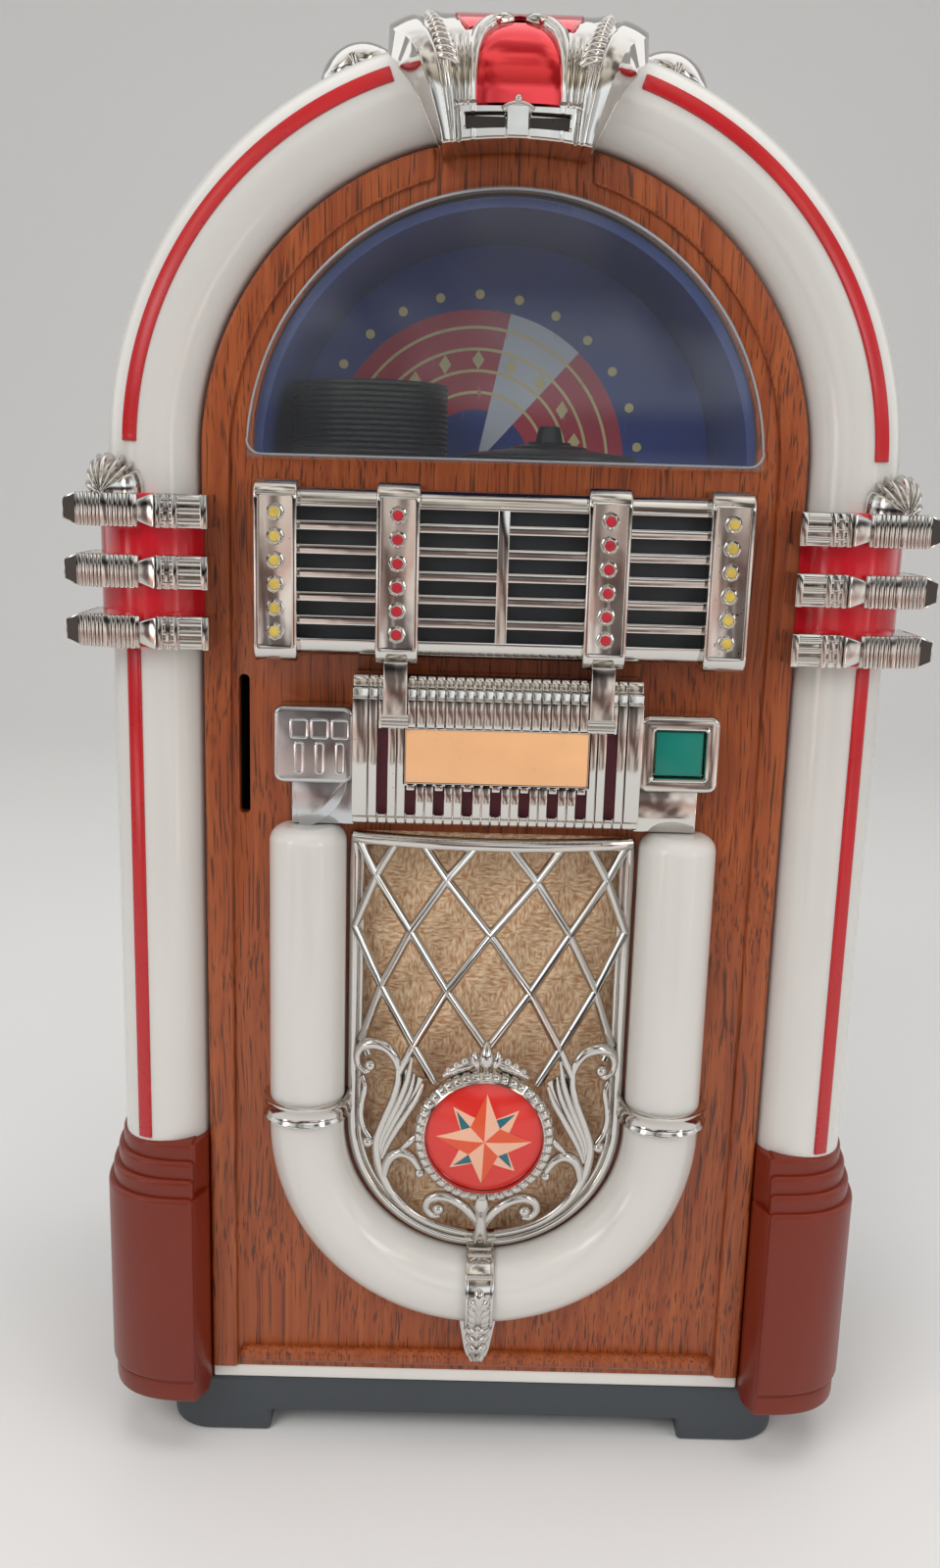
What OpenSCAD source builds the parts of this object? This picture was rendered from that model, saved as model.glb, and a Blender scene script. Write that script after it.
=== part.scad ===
// Mini jukebox: a lit arch round a wooden front with a record window, selector rows and a speaker grille.
// Millimetres. The front faces -Y, up is +Z, and the origin lies on the table under the middle of the body.
// A depth named s runs back from the wooden panel's face, and one named out runs forward.

/* [Cabinet] */
// Depth from the crest's front to the back cover
depth = 120; // [114:1:130]
// Height of the arch centre above the table
arch_z = 233.5; // [230:0.5:240]
// Half width of the wooden front panel
panel_half = 64; // [63:0.5:67]
// Thickness of the front panel
panel_t = 3; // [2.5:0.1:3.5]
// Width of the raised border round the panel
border_w = 6; // [5:0.1:6.5]
// Height of the raised border over the panel
border_t = 1.2; // [0.8:0.1:1.6]
// Half width of the gap in the border under the crest
border_gap = 16; // [15:0.5:18]
// Radius of the roll along the foot of the panel
bead_r = 2.1; // [1.6:0.1:2.4]
// Height of the roll's middle over the panel's lower edge
bead_rise = 3.8; // [3:0.1:5]
// Wall of the cabinet shell
shell_wall = 2.5; // [2:0.1:3]
// Reach of the shell past the middle of the arch tube
shell_over = 6; // [5:0.5:8]
// Inset of the neck from the panel's edge
neck_inset = 1.5; // [1.2:0.1:2]
// Height of the neck's sill over the cabinet floor
neck_sill = 5; // [4:0.5:7]
// Thickness of the back cover
cover_t = 3; // [2.8:0.1:3.6]
// Height of the pale strip under the panel
strip_h = 3.2; // [2.5:0.1:4]

/* [Base] */
// Height of the base
base_h = 15; // [13:0.5:18]
// Half width of the base
base_half = 75; // [72:0.5:78]
// Corner radius of the base
base_corner = 10; // [6:0.5:14]
// Wall of the base
base_wall = 2.5; // [2:0.1:3.5]
// Half width of the gap between the feet
foot_gap_half = 50; // [42:0.5:54]
// Height of the gap between the feet
foot_gap_h = 5.5; // [5:0.1:7]

/* [Back cover] */
// Radius of a screw shank
screw_r = 1.5; // [1.2:0.1:1.8]
// Radius of a screw head
screw_head_r = 2.8; // [2.4:0.1:3]
// Height of a screw head
screw_head_h = 1.6; // [1.2:0.1:1.8]
// Radius of a screw boss
boss_r = 4; // [3.6:0.1:4.5]
// Length of a screw boss
boss_l = 12; // [10:0.5:16]
// How far a screw boss sinks into the shell wall
boss_sink = 0.5; // [0.3:0.1:1]
// Height of the lower side screws
screw_low_z = 32; // [28:1:40]
// Height of the upper side screws
screw_mid_z = 150; // [130:1:170]
// Angle of the top screws from level
screw_top_a = 50; // [45:1:56]
// Width of a vent slot
vent_w = 3; // [2:0.1:3.5]
// Length of a vent slot
vent_l = 34; // [24:1:40]
// Spacing of the vent slots
vent_pitch = 7; // [6:0.5:9]
// Vent slots in each row
vent_count = 8; // [4:1:9]
// Height of the vents' middle over the table
vent_z = 190; // [180:1:200]
// Radius of a door's hinge pin
pin_r = 0.75; // [0.6:0.05:0.9]
// Reach of a hinge pin into the cover at each end
pin_grip = 4; // [3:0.5:5]
// Gap round a door
door_gap = 0.4; // [0.3:0.05:0.6]
// Distance of a door's finger groove from its free edge
grip_inset = 5; // [4:0.5:8]
// Width of a door's finger groove
grip_w = 4; // [3:0.1:5]
// Width of the coin door
coin_door_w = 34; // [30:0.5:35]
// Height of the coin door
coin_door_h = 34; // [28:0.5:36]
// Height of the coin door's lower edge
coin_door_z = 24; // [22:0.5:26]
// Door hinges from the cabinet's side
hinge_inset = 15; // [14:0.5:16]
// Width of the battery door
battery_door_w = 57; // [56:0.5:58.5]
// Height of the battery door
battery_door_h = 64; // [63:0.5:67]
// Height of the battery door's lower edge
battery_door_z = 30; // [26:0.5:32]

/* [Arch tubes] */
// Radius of the arch tube
tube_r = 10; // [9:0.1:10.5]
// Wall of the arch tube
tube_wall = 1.5; // [1.2:0.1:2]
// Depth of the tube's middle behind the panel
tube_s = 4; // [3.8:0.1:5]
// Thickness of a red stripe
stripe_t = 0.5; // [0.3:0.05:0.8]
// Half of the angle that a stripe covers
stripe_half_a = 9.7; // [7:0.1:12]
// Angle of a stripe outward from the front
stripe_a = 22; // [18:0.5:26]
// End of the upper stripes, from upright
stripe_end_a = 18.5; // [18:0.1:24]
// Gap at the ends of a stripe
stripe_gap = 0.6; // [0.4:0.1:1]

/* [Shoes] */
// Height of the shoe's top over the table
shoe_top = 80; // [70:0.5:90]
// Outer radius of the shoe
shoe_r = 15; // [14.5:0.1:16]
// How much each ring at the top steps in
shoe_step = 1.2; // [0.9:0.05:1.3]
// Height of each ring
shoe_ring_h = 4.1; // [3.5:0.1:5]
// Depth of the shoe's cheek behind the panel
shoe_cheek_s = 28; // [20:0.5:40]
// Wall of the hollow shoe
shoe_wall = 2.5; // [2:0.1:3.5]
// Height of the groove over the shoe's foot
shoe_groove_z = 5.5; // [4:0.1:7]
// Size of the groove
shoe_groove = 0.7; // [0.4:0.1:1]
// Radius of a tube lamp
lamp_r = 4; // [3:0.1:5]
// Height of a tube lamp's neck
lamp_h = 9; // [6:0.5:14]

/* [Band clasps] */
// Height of one chrome bar
bar_h = 6.9; // [6:0.1:7.5]
// Spacing of the bars
bar_pitch = 12.5; // [11:0.1:13]
// Bars on each clasp
bar_count = 3; // [2:1:4]
// Drop of the bars' top below the arch centre
bar_drop = 7.8; // [7:0.1:9]
// Thickness of the red sleeve
sleeve_t = 2; // [1.6:0.1:2.4]
// Reach of a bar's inner end over the panel's edge
bar_lap = 3.2; // [2.6:0.1:4]
// Rise of the bars' front over the panel
bar_out = 11.5; // [11:0.1:13]
// Reach of the bar's tip past the middle of the tube
bar_tip = 17.5; // [17:0.1:19]
// Reach of a bar behind the middle of the tube
bar_wrap = 6; // [5:0.1:7]
// Set of the bar's inner end behind its front
bar_in_drop = 3; // [2:0.1:4]
// Reach of the wedge from the tube's middle towards the panel
wedge_in = 3; // [2:0.1:4]
// Set of the wedge's inner edge behind the front
wedge_drop = 1.2; // [0.8:0.1:1.6]
// Inner edge of the fluted block from the tube's middle
block_in = 1; // [0.5:0.1:1.5]
// Outer edge of the fluted block from the tube's middle
block_out = 9.5; // [8.5:0.1:10]
// Set of the block's outer edge behind the front
block_drop = 1.5; // [1:0.1:2]
// Offset of the bar's cheek from the tube's middle
cheek_out = 14; // [13.5:0.1:15]
// Set of the bar's cheek behind the front
cheek_drop = 6.5; // [6:0.1:7.5]
// Set of the bar's tip before the tube's middle
tip_set = 2; // [1:0.1:3]
// Radius of a flute on a bar
flute_r = 1; // [0.7:0.05:1.1]
// Radius of a rib at a bar's inner end
rib_r = 0.9; // [0.6:0.05:1]
// Spacing of the ribs at a bar's inner end
rib_pitch = 2.2; // [2:0.05:2.3]
// Height of the shell ornament
fan_h = 8.4; // [7:0.1:9]
// Half width of the shell ornament
fan_half = 6.5; // [5.5:0.1:7]
// Offset of the shell from the tube's middle
fan_off = 4; // [3:0.1:5]
// Set of the shell's middle behind the bars' front
fan_set = 5.2; // [5:0.1:6]

/* [Crest] */
// Rise of the crest's front over the panel
crest_front = 14; // [13.8:0.1:16]
// Half width of the crest's foot
crest_foot = 14.5; // [13:0.1:15.5]
// Half width of the crest's top
crest_head = 25.7; // [23:0.1:27]
// Height of the crest's foot over the arch centre
crest_rise = 59.5; // [58.5:0.1:62]
// Height of the crest from foot to top
crest_h = 28.5; // [27.5:0.1:30]
// Length of the rounded barrel's radius
crest_round = 19; // [18.5:0.1:20]
// Height of a crest rib
crest_rib = 0.8; // [0.5:0.1:1]
// Width of a crest rib
crest_rib_w = 1.2; // [0.8:0.1:1.5]
// Radius of a bead on the crest
crest_bead_r = 1; // [0.7:0.05:1.2]
// Beads in each row
crest_bead_count = 8; // [5:1:9]
// Height of the red lens over the crest's foot
crest_lens_rise = 7; // [6:0.1:8]
// Height of the red lens
crest_lens_h = 16; // [14:0.1:17]
// Half width of the red lens at its foot
crest_lens_foot = 7.6; // [6.5:0.1:8.2]
// Half width of the red lens at its head
crest_lens_head = 4.6; // [4:0.1:5.5]
// Depth of the red lens in the crest
crest_lens_t = 2.5; // [2:0.1:3]
// Width of a dark slot in the crest's foot
crest_slot_w = 7.6; // [6:0.1:8.5]
// Height of a dark slot in the crest's foot
crest_slot_h = 2.4; // [1.8:0.1:2.8]
// Distance of a dark slot from the middle
crest_slot_x = 6.1; // [5.6:0.1:6.6]
// Height of a dark slot over the crest's foot
crest_slot_rise = 1.4; // [1:0.1:1.8]

/* [Record window] */
// Wood between the lens flange and the panel's side
lens_margin = 9.3; // [8:0.1:11]
// Width of the lens flange
lens_lip = 2; // [1.6:0.1:2.6]
// Thickness of the lens flange
lens_flange_t = 1.2; // [0.8:0.1:1.6]
// How far the lens bulges
lens_bulge = 8; // [6:0.1:10]
// Thickness of the lens
lens_t = 1.4; // [1:0.1:1.8]
// Height of the lens' lower edge over the arch centre
lens_rise = 0.3; // [0:0.1:1]
// Depth of the record bay behind the panel
bay_depth = 46; // [44:0.5:50]
// Wall of the record bay
bay_wall = 2; // [1.6:0.1:2.5]
// Thickness of the card at the back of the bay
card_t = 0.6; // [0.4:0.1:1]
// Radius of the turning record
disc_r = 20; // [18.5:0.1:20.5]
// Thickness of the record's edge
disc_t = 1; // [0.8:0.1:1.4]
// Height of the record's low cone
disc_cone_h = 3; // [2:0.1:4]
// Radius of the label at the top of the cone
disc_hub_r = 5; // [4:0.1:7]
// Gap before and under the turning record
disc_gap = 1.2; // [1:0.1:1.6]
// Gap under the platter
platter_gap = 0.3; // [0.2:0.05:0.5]
// Gap between the turning record and the stack
disc_stack_gap = 3; // [1.8:0.1:3.4]
// Radius of the record stack
stack_r = 17.4; // [16.4:0.1:18]
// Gap between the stack's top and the bay
stack_bay_gap = 1.07; // [0.8:0.01:1.4]
// Thickness of one record in the stack
stack_pitch = 1.2; // [1:0.01:1.4]
// Records in the stack
stack_count = 14; // [8:1:15]
// Depth of the groove between stacked records
stack_groove = 0.5; // [0.3:0.1:0.8]
// Radius of the record spindle
spindle_r = 2.65; // [2.2:0.05:2.9]
// Length of the spindle's tapered tip
spindle_tip = 3.6; // [2:0.1:5]
// Radius of the drive wheel under the bay
wheel_r = 14; // [11:0.1:15]
// Thickness of the drive wheel
wheel_t = 4; // [3:0.1:5]
// Gap between the motor and the drive wheel
wheel_gap = 1.5; // [1:0.1:2.5]
// Radius of the drive roller
roller_r = 4; // [3.5:0.1:5]
// Running gap between the wheel and the roller
roller_gap = 0.3; // [0.2:0.05:0.4]
// Radius of the record motor
motor_r = 10.5; // [9:0.1:11]
// Height of the record motor
motor_h = 15; // [12:0.5:18]
// Radius of the motor shaft
motor_shaft_r = 1; // [0.8:0.05:1.2]

/* [Selector] */
// Half width of the selector
selector_half = 51.4; // [50.5:0.1:53]
// Height of the selector
selector_h = 37.6; // [36.6:0.1:39]
// Drop of the selector's top below the arch centre
selector_drop = 4.2; // [3.6:0.1:5]
// Rise of the selector's straps over the panel
strap_out = 11.5; // [11:0.1:12.4]
// How much the bars lie behind the straps
strap_step = 1.4; // [0.8:0.1:1.8]
// Width of a strap
strap_w = 9; // [8:0.1:9.4]
// Distance of the inner straps from the middle
strap_in_x = 21.7; // [21.4:0.1:22.2]
// Rounding of the selector's front edges
selector_round = 4; // [3:0.1:4.5]
// Thickness of the selector's face
selector_face = 3; // [2.4:0.1:3.6]
// Width of a title slot
slot_w = 15.2; // [14:0.1:15.4]
// Height of a title slot
slot_h = 2.9; // [2.4:0.1:3.4]
// Spacing of the title slots
slot_pitch = 4.86; // [4.6:0.01:4.95]
// Title slots in each column
slot_count = 6; // [4:1:6]
// Width of the rib between the two middle columns
slot_rib = 2.5; // [2:0.1:3]
// Thickness of the trays behind the slots
backing_t = 2; // [1.6:0.1:2.4]
// Radius of a selector pip
pip_r = 1.65; // [1.4:0.05:1.9]
// Height of a selector pip
pip_h = 2; // [1.4:0.1:2.2]

/* [Nameplate] */
// Half width of the nameplate housing
name_half = 30.6; // [30:0.1:31.2]
// Height of the nameplate housing
name_h = 32.1; // [31:0.1:33]
// Rise of the nameplate over the panel
name_out = 12; // [11.4:0.1:12.6]
// Gap between the selector and the nameplate
name_gap = 2.2; // [1.8:0.1:3]
// Rounding of the nameplate's front edges
name_round = 5; // [4:0.1:6]
// Thickness of the nameplate's face
name_face = 2.6; // [2.2:0.1:3.2]
// Half width of the label plate
label_half = 19.4; // [18:0.1:20]
// Height of the label plate
label_h = 11.6; // [10.5:0.1:12]
// Height of the label plate over the nameplate's foot
label_rise = 9.6; // [9:0.1:10.5]
// Thickness of the label plate
label_t = 1; // [0.8:0.1:1.2]
// Width of a nameplate slot
name_slot_w = 2; // [1.6:0.1:2.4]
// Spacing of the lower slots
name_slot_pitch = 6.05; // [5.6:0.05:6.2]
// Lower slots
name_slot_count = 7; // [5:1:7]
// Height of the lower slots
name_slot_h = 6; // [5:0.1:6.4]
// Height of the slots over the nameplate's foot
name_slot_rise = 2; // [1.6:0.1:2.4]
// Distance of the side slots from the middle
name_side_x = 24.3; // [23.4:0.1:25]
// Width of a hanger strap
hanger_w = 5; // [4:0.1:6]
// How far a hanger reaches down the nameplate
hanger_drop = 8.5; // [7:0.1:9]
// Thickness of a hanger strap
hanger_t = 1.2; // [0.8:0.1:1.6]

/* [Coin side] */
// Reach of the coin and button plates from the middle
plate_reach = 47.8; // [47:0.1:49]
// Height of the coin and button plates
plate_h = 16.7; // [16:0.1:17.5]
// Drop of the plates below the nameplate's top
plate_drop = 7.3; // [6.5:0.1:8]
// Rise of the plates over the panel
plate_out = 8; // [7.4:0.1:8.6]
// Corner radius of the plates
plate_round = 3; // [2:0.1:4]
// Reach of a bracket past the nameplate
bracket_w = 13.6; // [12:0.1:15]
// Height of a bracket
bracket_h = 10; // [8:0.1:10.5]
// Rise of a bracket over the panel
bracket_out = 4; // [3:0.1:5]
// Width of an embossed square on the coin plate
emboss_w = 3; // [2.4:0.1:3.2]
// Height of the embossing
emboss_t = 0.6; // [0.4:0.1:0.9]
// Spacing of the embossed marks
emboss_pitch = 4.6; // [4:0.1:5]
// Embossed rows from the plate's middle
emboss_rise = 3.3; // [3:0.1:3.6]
// Width of the select button
button_w = 10.1; // [9:0.1:10.6]
// Height of the select button
button_h = 9.5; // [8.5:0.1:10]
// Recess of the button's face in its plate
button_sink = 0.8; // [0.5:0.1:1.2]
// Travel of the select button
button_travel = 1.5; // [1:0.1:1.8]
// Gap round the select button
button_gap = 0.2; // [0.15:0.05:0.3]
// Radius of the button's stem
stem_r = 2; // [1.6:0.1:2.4]
// Height of the push switch's plunger
plunger_h = 1; // [0.8:0.1:1.4]
// Length of the coin slot
coin_slot_l = 31.1; // [28:0.1:33]
// Width of the coin slot
coin_slot_w = 2.3; // [2:0.1:2.8]
// Distance of the coin slot from the panel's edge
coin_slot_edge = 8.8; // [8.6:0.1:9.4]
// Rise of the coin slot over the nameplate's foot
coin_slot_rise = -0.9; // [-2:0.1:0]
// Wall of the coin chute
chute_wall = 1.2; // [1:0.1:1.4]
// Side play of a coin in the chute
chute_play = 0.6; // [0.4:0.1:0.8]
// Depth of the coin chute
chute_depth = 36; // [34:0.5:38]
// Height of the chute's straight foot
chute_foot = 8; // [6:0.5:12]
// Fall of the chute's slope below the coin slot
chute_fall = 20; // [16:0.5:24]
// Wall of the coin box
coin_box_wall = 2; // [1.6:0.1:2.5]
// Height of the coin box over the cabinet floor
coin_box_h = 45; // [42:0.5:50]
// Width of the coin box
coin_box_w = 40.5; // [39:0.5:42]
// Coin box from the cabinet's side
coin_box_inset = 11.5; // [11:0.1:12.5]

/* [Speaker] */
// Distance of the U tube's legs from the middle
u_x = 40.8; // [40:0.1:42]
// Radius of the U tube
u_r = 8.5; // [8:0.1:9]
// Rise of the U tube's middle over the panel
u_out = 3; // [2.4:0.1:3.4]
// Height of the bend's centre over the table
u_z = 84.5; // [82:0.1:90]
// Round edge of the U tube's tops
u_cap = 3.6; // [2:0.1:4]
// Gap between the U tube's tops and the brackets
u_top_gap = 0.3; // [0.2:0.1:0.6]
// Rise of the joint in the U tube over the bend's centre
u_joint = 5; // [4:0.1:7]
// Height of a collar
collar_h = 5; // [4:0.1:6]
// Thickness of a collar
collar_t = 1.7; // [1.4:0.1:2.2]
// Thickness of a collar's tab
tab_t = 2; // [1.6:0.1:2.4]
// Reach of a collar's tab over the grille's rim
tab_lap = 2.4; // [2:0.1:2.8]
// Rise of a tab's underside over the grille's side
tab_rise = 2.4; // [2.2:0.1:3]
// Gap between the U tube and the grille
grille_gap = 0.5; // [0.4:0.1:1.5]
// Rise of the grille's sides over the panel
grille_edge = 2; // [1.6:0.1:2.6]
// How far the grille bows forward
grille_bow = 5.5; // [4:0.1:6]
// Thickness of the lattice
lattice_t = 1.8; // [1.4:0.1:2.2]
// Set of the lattice behind the rim's front
lattice_set = 0.4; // [0.2:0.1:0.8]
// Width of a lattice bar
lattice_w = 2; // [1.6:0.1:2.4]
// Width of the grille's rim
rim_w = 3; // [2.6:0.1:3.4]
// Height of the grille over the bend's centre
grille_h = 70; // [66:0.1:70.4]
// Radius of the medallion
medal_r = 13.3; // [12.5:0.1:14]
// Width of the medallion's bezel
bezel_w = 2.6; // [2.2:0.1:3]
// Height of the medallion's bezel
bezel_t = 3; // [2.4:0.1:3.4]
// Height of the medallion's dome
medal_dome = 2.6; // [2:0.1:3.2]
// Radius of the volutes
volute_r = 4.4; // [4:0.1:4.8]
// Rise of the upper volutes over the bend's centre
volute_rise = 16.3; // [15:0.1:18]
// Gap between the bezel and the middle of the curls
curl_gap = 1.6; // [1.2:0.1:2.4]
// Gap between the lower volutes and the rim
volute_gap = 0.6; // [0.2:0.1:1]
// Gap between the bezel and the scroll's waist
waist_gap = 3; // [2:0.1:4]
// Rise of the scroll's waist over the bend's centre
waist_rise = 6; // [4:0.1:8]
// Drop of the scroll's foot below the bend's centre
side_drop = 9; // [8:0.1:12]
// Width of the tail clasp's strap
tail_w = 6.5; // [5.5:0.1:7.5]
// Thickness of the tail clasp's strap
tail_t = 1.8; // [1.4:0.1:2.2]
// Width of the tail clasp's foot
tail_foot_w = 8.8; // [8:0.1:10]
// Height of the tail clasp's foot
tail_foot_h = 12; // [9:0.1:12.5]
// Height of the point of the tail clasp's foot
tail_point = 4.8; // [3:0.1:6]
// Thickness of the speaker cloth
cloth_t = 0.8; // [0.6:0.1:1]
// Radius of the speaker cone
cone_r = 24; // [22:0.5:25]
// Depth of the speaker cone
cone_depth = 11; // [9:0.5:13]
// Radius of the cone's throat
cone_throat = 8; // [6:0.5:9]
// Thickness of the cone's paper
cone_t = 0.8; // [0.6:0.1:1]
// Rise of the dust cap over the cone's throat
cone_cap = 4; // [3:0.1:5]
// Width of the cone's outer roll
cone_roll = 3; // [2:0.1:4]
// Thickness of the speaker board
frame_t = 2; // [1.6:0.1:3]
// Reach of the speaker board past the grille
frame_lap = 2; // [1:0.1:2.6]
// Width of the speaker basket's rim
basket_rim = 4; // [3:0.1:5]
// Depth of the basket behind the cone
basket_gap = 5; // [4:0.1:7]
// Wall of the basket round the magnet
basket_wall = 3; // [2:0.1:4]
// Radius of the speaker magnet
magnet_r = 17; // [15:0.5:19]
// Depth of the speaker magnet
magnet_t = 12; // [10:0.5:15]
// Height of the speaker over the bend's centre
speaker_rise = 21; // [19:0.5:23]

/* [Controls] */
// Angle of the knobs from upright
knob_a = 22.5; // [22:0.5:26]
// Depth of the knobs behind the panel
knob_s = 25; // [24:0.5:30]
// Radius of a knob's cap
knob_r = 8.3; // [7.5:0.1:8.8]
// Height of a knob's dome
knob_dome = 4.8; // [4:0.1:5.6]
// Radius of a knob's skirt
knob_skirt_r = 6; // [5.4:0.1:6.6]
// Height of a knob's skirt
knob_skirt_h = 7.4; // [6:0.1:8]
// Height of the rim under a knob's dome
knob_rim = 1.2; // [1:0.1:1.6]
// Gap between a knob and the cabinet
knob_gap = 0.6; // [0.4:0.1:1]
// Radius of a knob's index notch
knob_notch = 1; // [0.7:0.05:1.2]
// Radius of a control shaft
shaft_r = 3; // [2.5:0.1:3.2]
// Radius of a control's body
control_r = 8; // [7.5:0.1:8.2]
// Length of a control's body
control_l = 13; // [11:0.5:14]
// Floor of a control's body
control_floor = 3; // [2:0.1:4]
// Thickness of the circuit board
board_t = 1.6; // [1.2:0.1:2]
// Distance of the circuit board behind the panel
board_off = 9; // [8:0.1:11]
// Gap between the circuit board and the cabinet's wall
board_gap = 3.7; // [3:0.1:5]
// Width of the circuit board
board_w = 33; // [30:0.5:35]
// Reach of the board below the button's middle
board_low = 20; // [18:0.5:22]
// Height of the circuit board
board_h = 36; // [32:0.5:38]
// Radius of a board post
post_r = 2.5; // [2:0.1:3]
// Width of the push switch
switch_w = 6; // [5:0.1:7]
// Height of the push switch's body
switch_h = 3.2; // [2.8:0.1:3.6]
// Radius of a battery cell
cell_r = 7.25; // [7.05:0.05:7.3]
// Length of a battery cell
cell_l = 50.5; // [49.5:0.1:51]
// Length of the nub on a cell
cell_nub = 1.2; // [0.8:0.1:1.6]
// Gap between neighbouring cells
cell_gap = 0.5; // [0.3:0.1:0.8]
// Play of the cells behind the battery door
cell_play = 1; // [0.6:0.1:1.6]
// Cells in the box
cell_count = 4; // [2:1:4]
// Wall of the battery box
battery_wall = 1.6; // [1.2:0.1:1.8]

/* [Fits] */
// Radial clearance of a running fit
run_fit = 0.06; // [0.04:0.01:0.09]
// Clearance of a fixed seat
seat_fit = 0.05; // [0.03:0.01:0.1]
// Gap between neighbouring parts
part_gap = 0.2; // [0.1:0.05:0.3]

/* [Hidden] */
$fn = 72;
chrome = "#d8d9dc";
over = 1;
face_y = crest_front - depth / 2;
body_s = depth - crest_front;
cover_s = body_s - cover_t;
tube_x = panel_half + tube_r;
bulk_s = tube_s + tube_r;
shell_r = tube_x + shell_over;
shell_in = shell_r - shell_wall;
hinge_x = shell_r - hinge_inset;
coin_box_out = shell_r - coin_box_inset;
panel_edge = panel_half - part_gap;
panel_z = base_h + strip_h;
neck_out = panel_half - neck_inset;
neck_in = neck_out - shell_wall;
floor_z = base_h + shell_wall;
shoe_cheek_x = shell_r;
sleeve_r = tube_r + seat_fit + sleeve_t;
bar_top = arch_z - bar_drop;
bar_foot = bar_top - bar_h - (bar_count - 1) * bar_pitch;
bar_back = tube_s + bar_wrap;
fan_x = tube_x + fan_off;
lens_z = arch_z + lens_rise;
lens_r = panel_half - lens_margin;
cap_r = lens_r - lens_lip;
cap_sphere = (cap_r * cap_r + lens_bulge * lens_bulge) / (2 * lens_bulge);
bay_r = cap_r - lens_t;
bay_back = panel_t + bay_depth + bay_wall;
disc_s = panel_t + disc_gap + disc_r;
stack_h = stack_count * stack_pitch;
stack_x = stack_r + stack_bay_gap - sqrt(bay_r * bay_r - stack_h * stack_h);
disc_x = stack_x + stack_r + disc_stack_gap + disc_r;
platter_z = lens_z + disc_gap;
disc_z = platter_z + disc_t;
bay_under = lens_z - bay_wall;
motor_z = bay_under - motor_h;
wheel_z = motor_z - wheel_t - wheel_gap;
motor_x = disc_x + wheel_r + roller_gap + roller_r;
selector_z1 = arch_z - selector_drop;
selector_z0 = selector_z1 - selector_h;
selector_mid = (selector_z0 + selector_z1) / 2;
bar_out_s = strap_out - strap_step;
strap_out_x = selector_half - strap_w / 2;
slot_x = [-(strap_in_x + strap_out_x) / 2, -(strap_in_x - strap_w / 2 + slot_rib / 2) / 2,
    (strap_in_x - strap_w / 2 + slot_rib / 2) / 2, (strap_in_x + strap_out_x) / 2];
slot_z = [for (i = [0 : slot_count - 1]) selector_mid + (i - (slot_count - 1) / 2) * slot_pitch];
name_z1 = selector_z0 - name_gap;
name_z0 = name_z1 - name_h;
plate_z1 = name_z1 - plate_drop;
plate_z0 = plate_z1 - plate_h;
plate_in = name_half + part_gap;
plate_x = (plate_in + plate_reach) / 2;
plate_z = (plate_z0 + plate_z1) / 2;
bracket_z = plate_z0 - bracket_h;
coin_x = coin_slot_edge - panel_half;
coin_z = name_z0 + coin_slot_rise;
chute_in = coin_slot_w + chute_play;
u_top = bracket_z - u_top_gap;
u_joint_z = u_z + u_joint;
grille_half = u_x - u_r - grille_gap;
grille_top = u_z + grille_h;
grille_front = grille_edge + grille_bow;
grille_round = (grille_half * grille_half + grille_bow * grille_bow) / (2 * grille_bow);
lattice_round = grille_round - lattice_set;
bezel_r = medal_r + bezel_w;
speaker_z = u_z + speaker_rise;
cone_face = panel_t + part_gap;
knob_seat = shell_r + knob_gap;
knob_under = knob_seat + knob_skirt_h;
knob_top = knob_under + knob_rim + knob_dome;
dome_sphere = (knob_r * knob_r + knob_dome * knob_dome) / (2 * knob_dome);
control_top = sqrt(shell_in * shell_in - control_r * control_r) - seat_fit;
control_foot = control_top - control_l;
board_s = panel_t + board_off;
board_x1 = neck_in - board_gap;
board_x0 = board_x1 - board_w;
board_z0 = plate_z - board_low;
board_z1 = board_z0 + board_h;
cell_pitch = 2 * cell_r + cell_gap;
battery_x0 = hinge_x - battery_door_w - 2 * battery_wall;
battery_x1 = hinge_x + 2 * battery_wall;
battery_z0 = battery_door_z - 2 * battery_wall;
battery_z1 = battery_door_z + battery_door_h + 2 * battery_wall;
battery_depth = 2 * cell_r + battery_wall + cell_play;
medal_s = -grille_front;
// Lattice crossings from the middle and from the bend's centre
lattice_cols = [0, 9.4, 17.4, 24.6, 31];
lattice_rows = [70, 60, 47.5, 34.3, 21];
// Slopes of the crest's ribs and bead rows, as shares of its side slope
crest_rays = [0.68, 0.98];
crest_bead_ray = 0.83;
// The two arch tubes stop just short of each other at the top
tube_end_a = 89.9;
crest_z = arch_z + crest_rise;
crest_slope = (crest_head - crest_foot) / crest_h;
crest_root = crest_z - crest_foot / crest_slope;
crest_mid_s = crest_round - crest_front;
crest_mid_z = crest_z + crest_h - crest_round;
boss_x = shell_in - boss_r + boss_sink;
screw_places = concat(
    [for (x = [-boss_x, boss_x], z = [screw_low_z, screw_mid_z]) [x, z]],
    [for (q = [-1, 1]) [q * boss_x * cos(screw_top_a), arch_z + boss_x * sin(screw_top_a)]]);
pin_s = cover_s + cover_t / 2;
pip_s = -strap_out;

// Placing helpers

// Extrudes an outline in X and Z from depth s0 to depth s1
module slab(s0, s1) {
    translate([0, face_y + s1, 0]) rotate([90, 0, 0]) linear_extrude(s1 - s0) children();
}

// Extrudes a plan in X and s from height z0 to height z1
module tower(z0, z1) {
    translate([0, face_y, z0]) linear_extrude(z1 - z0) children();
}

// Extrudes a profile in s and Z from x0 to x1
module beam(x0, x1) {
    translate([x0, face_y, 0]) rotate([90, 0, 90]) linear_extrude(x1 - x0) children();
}

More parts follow.
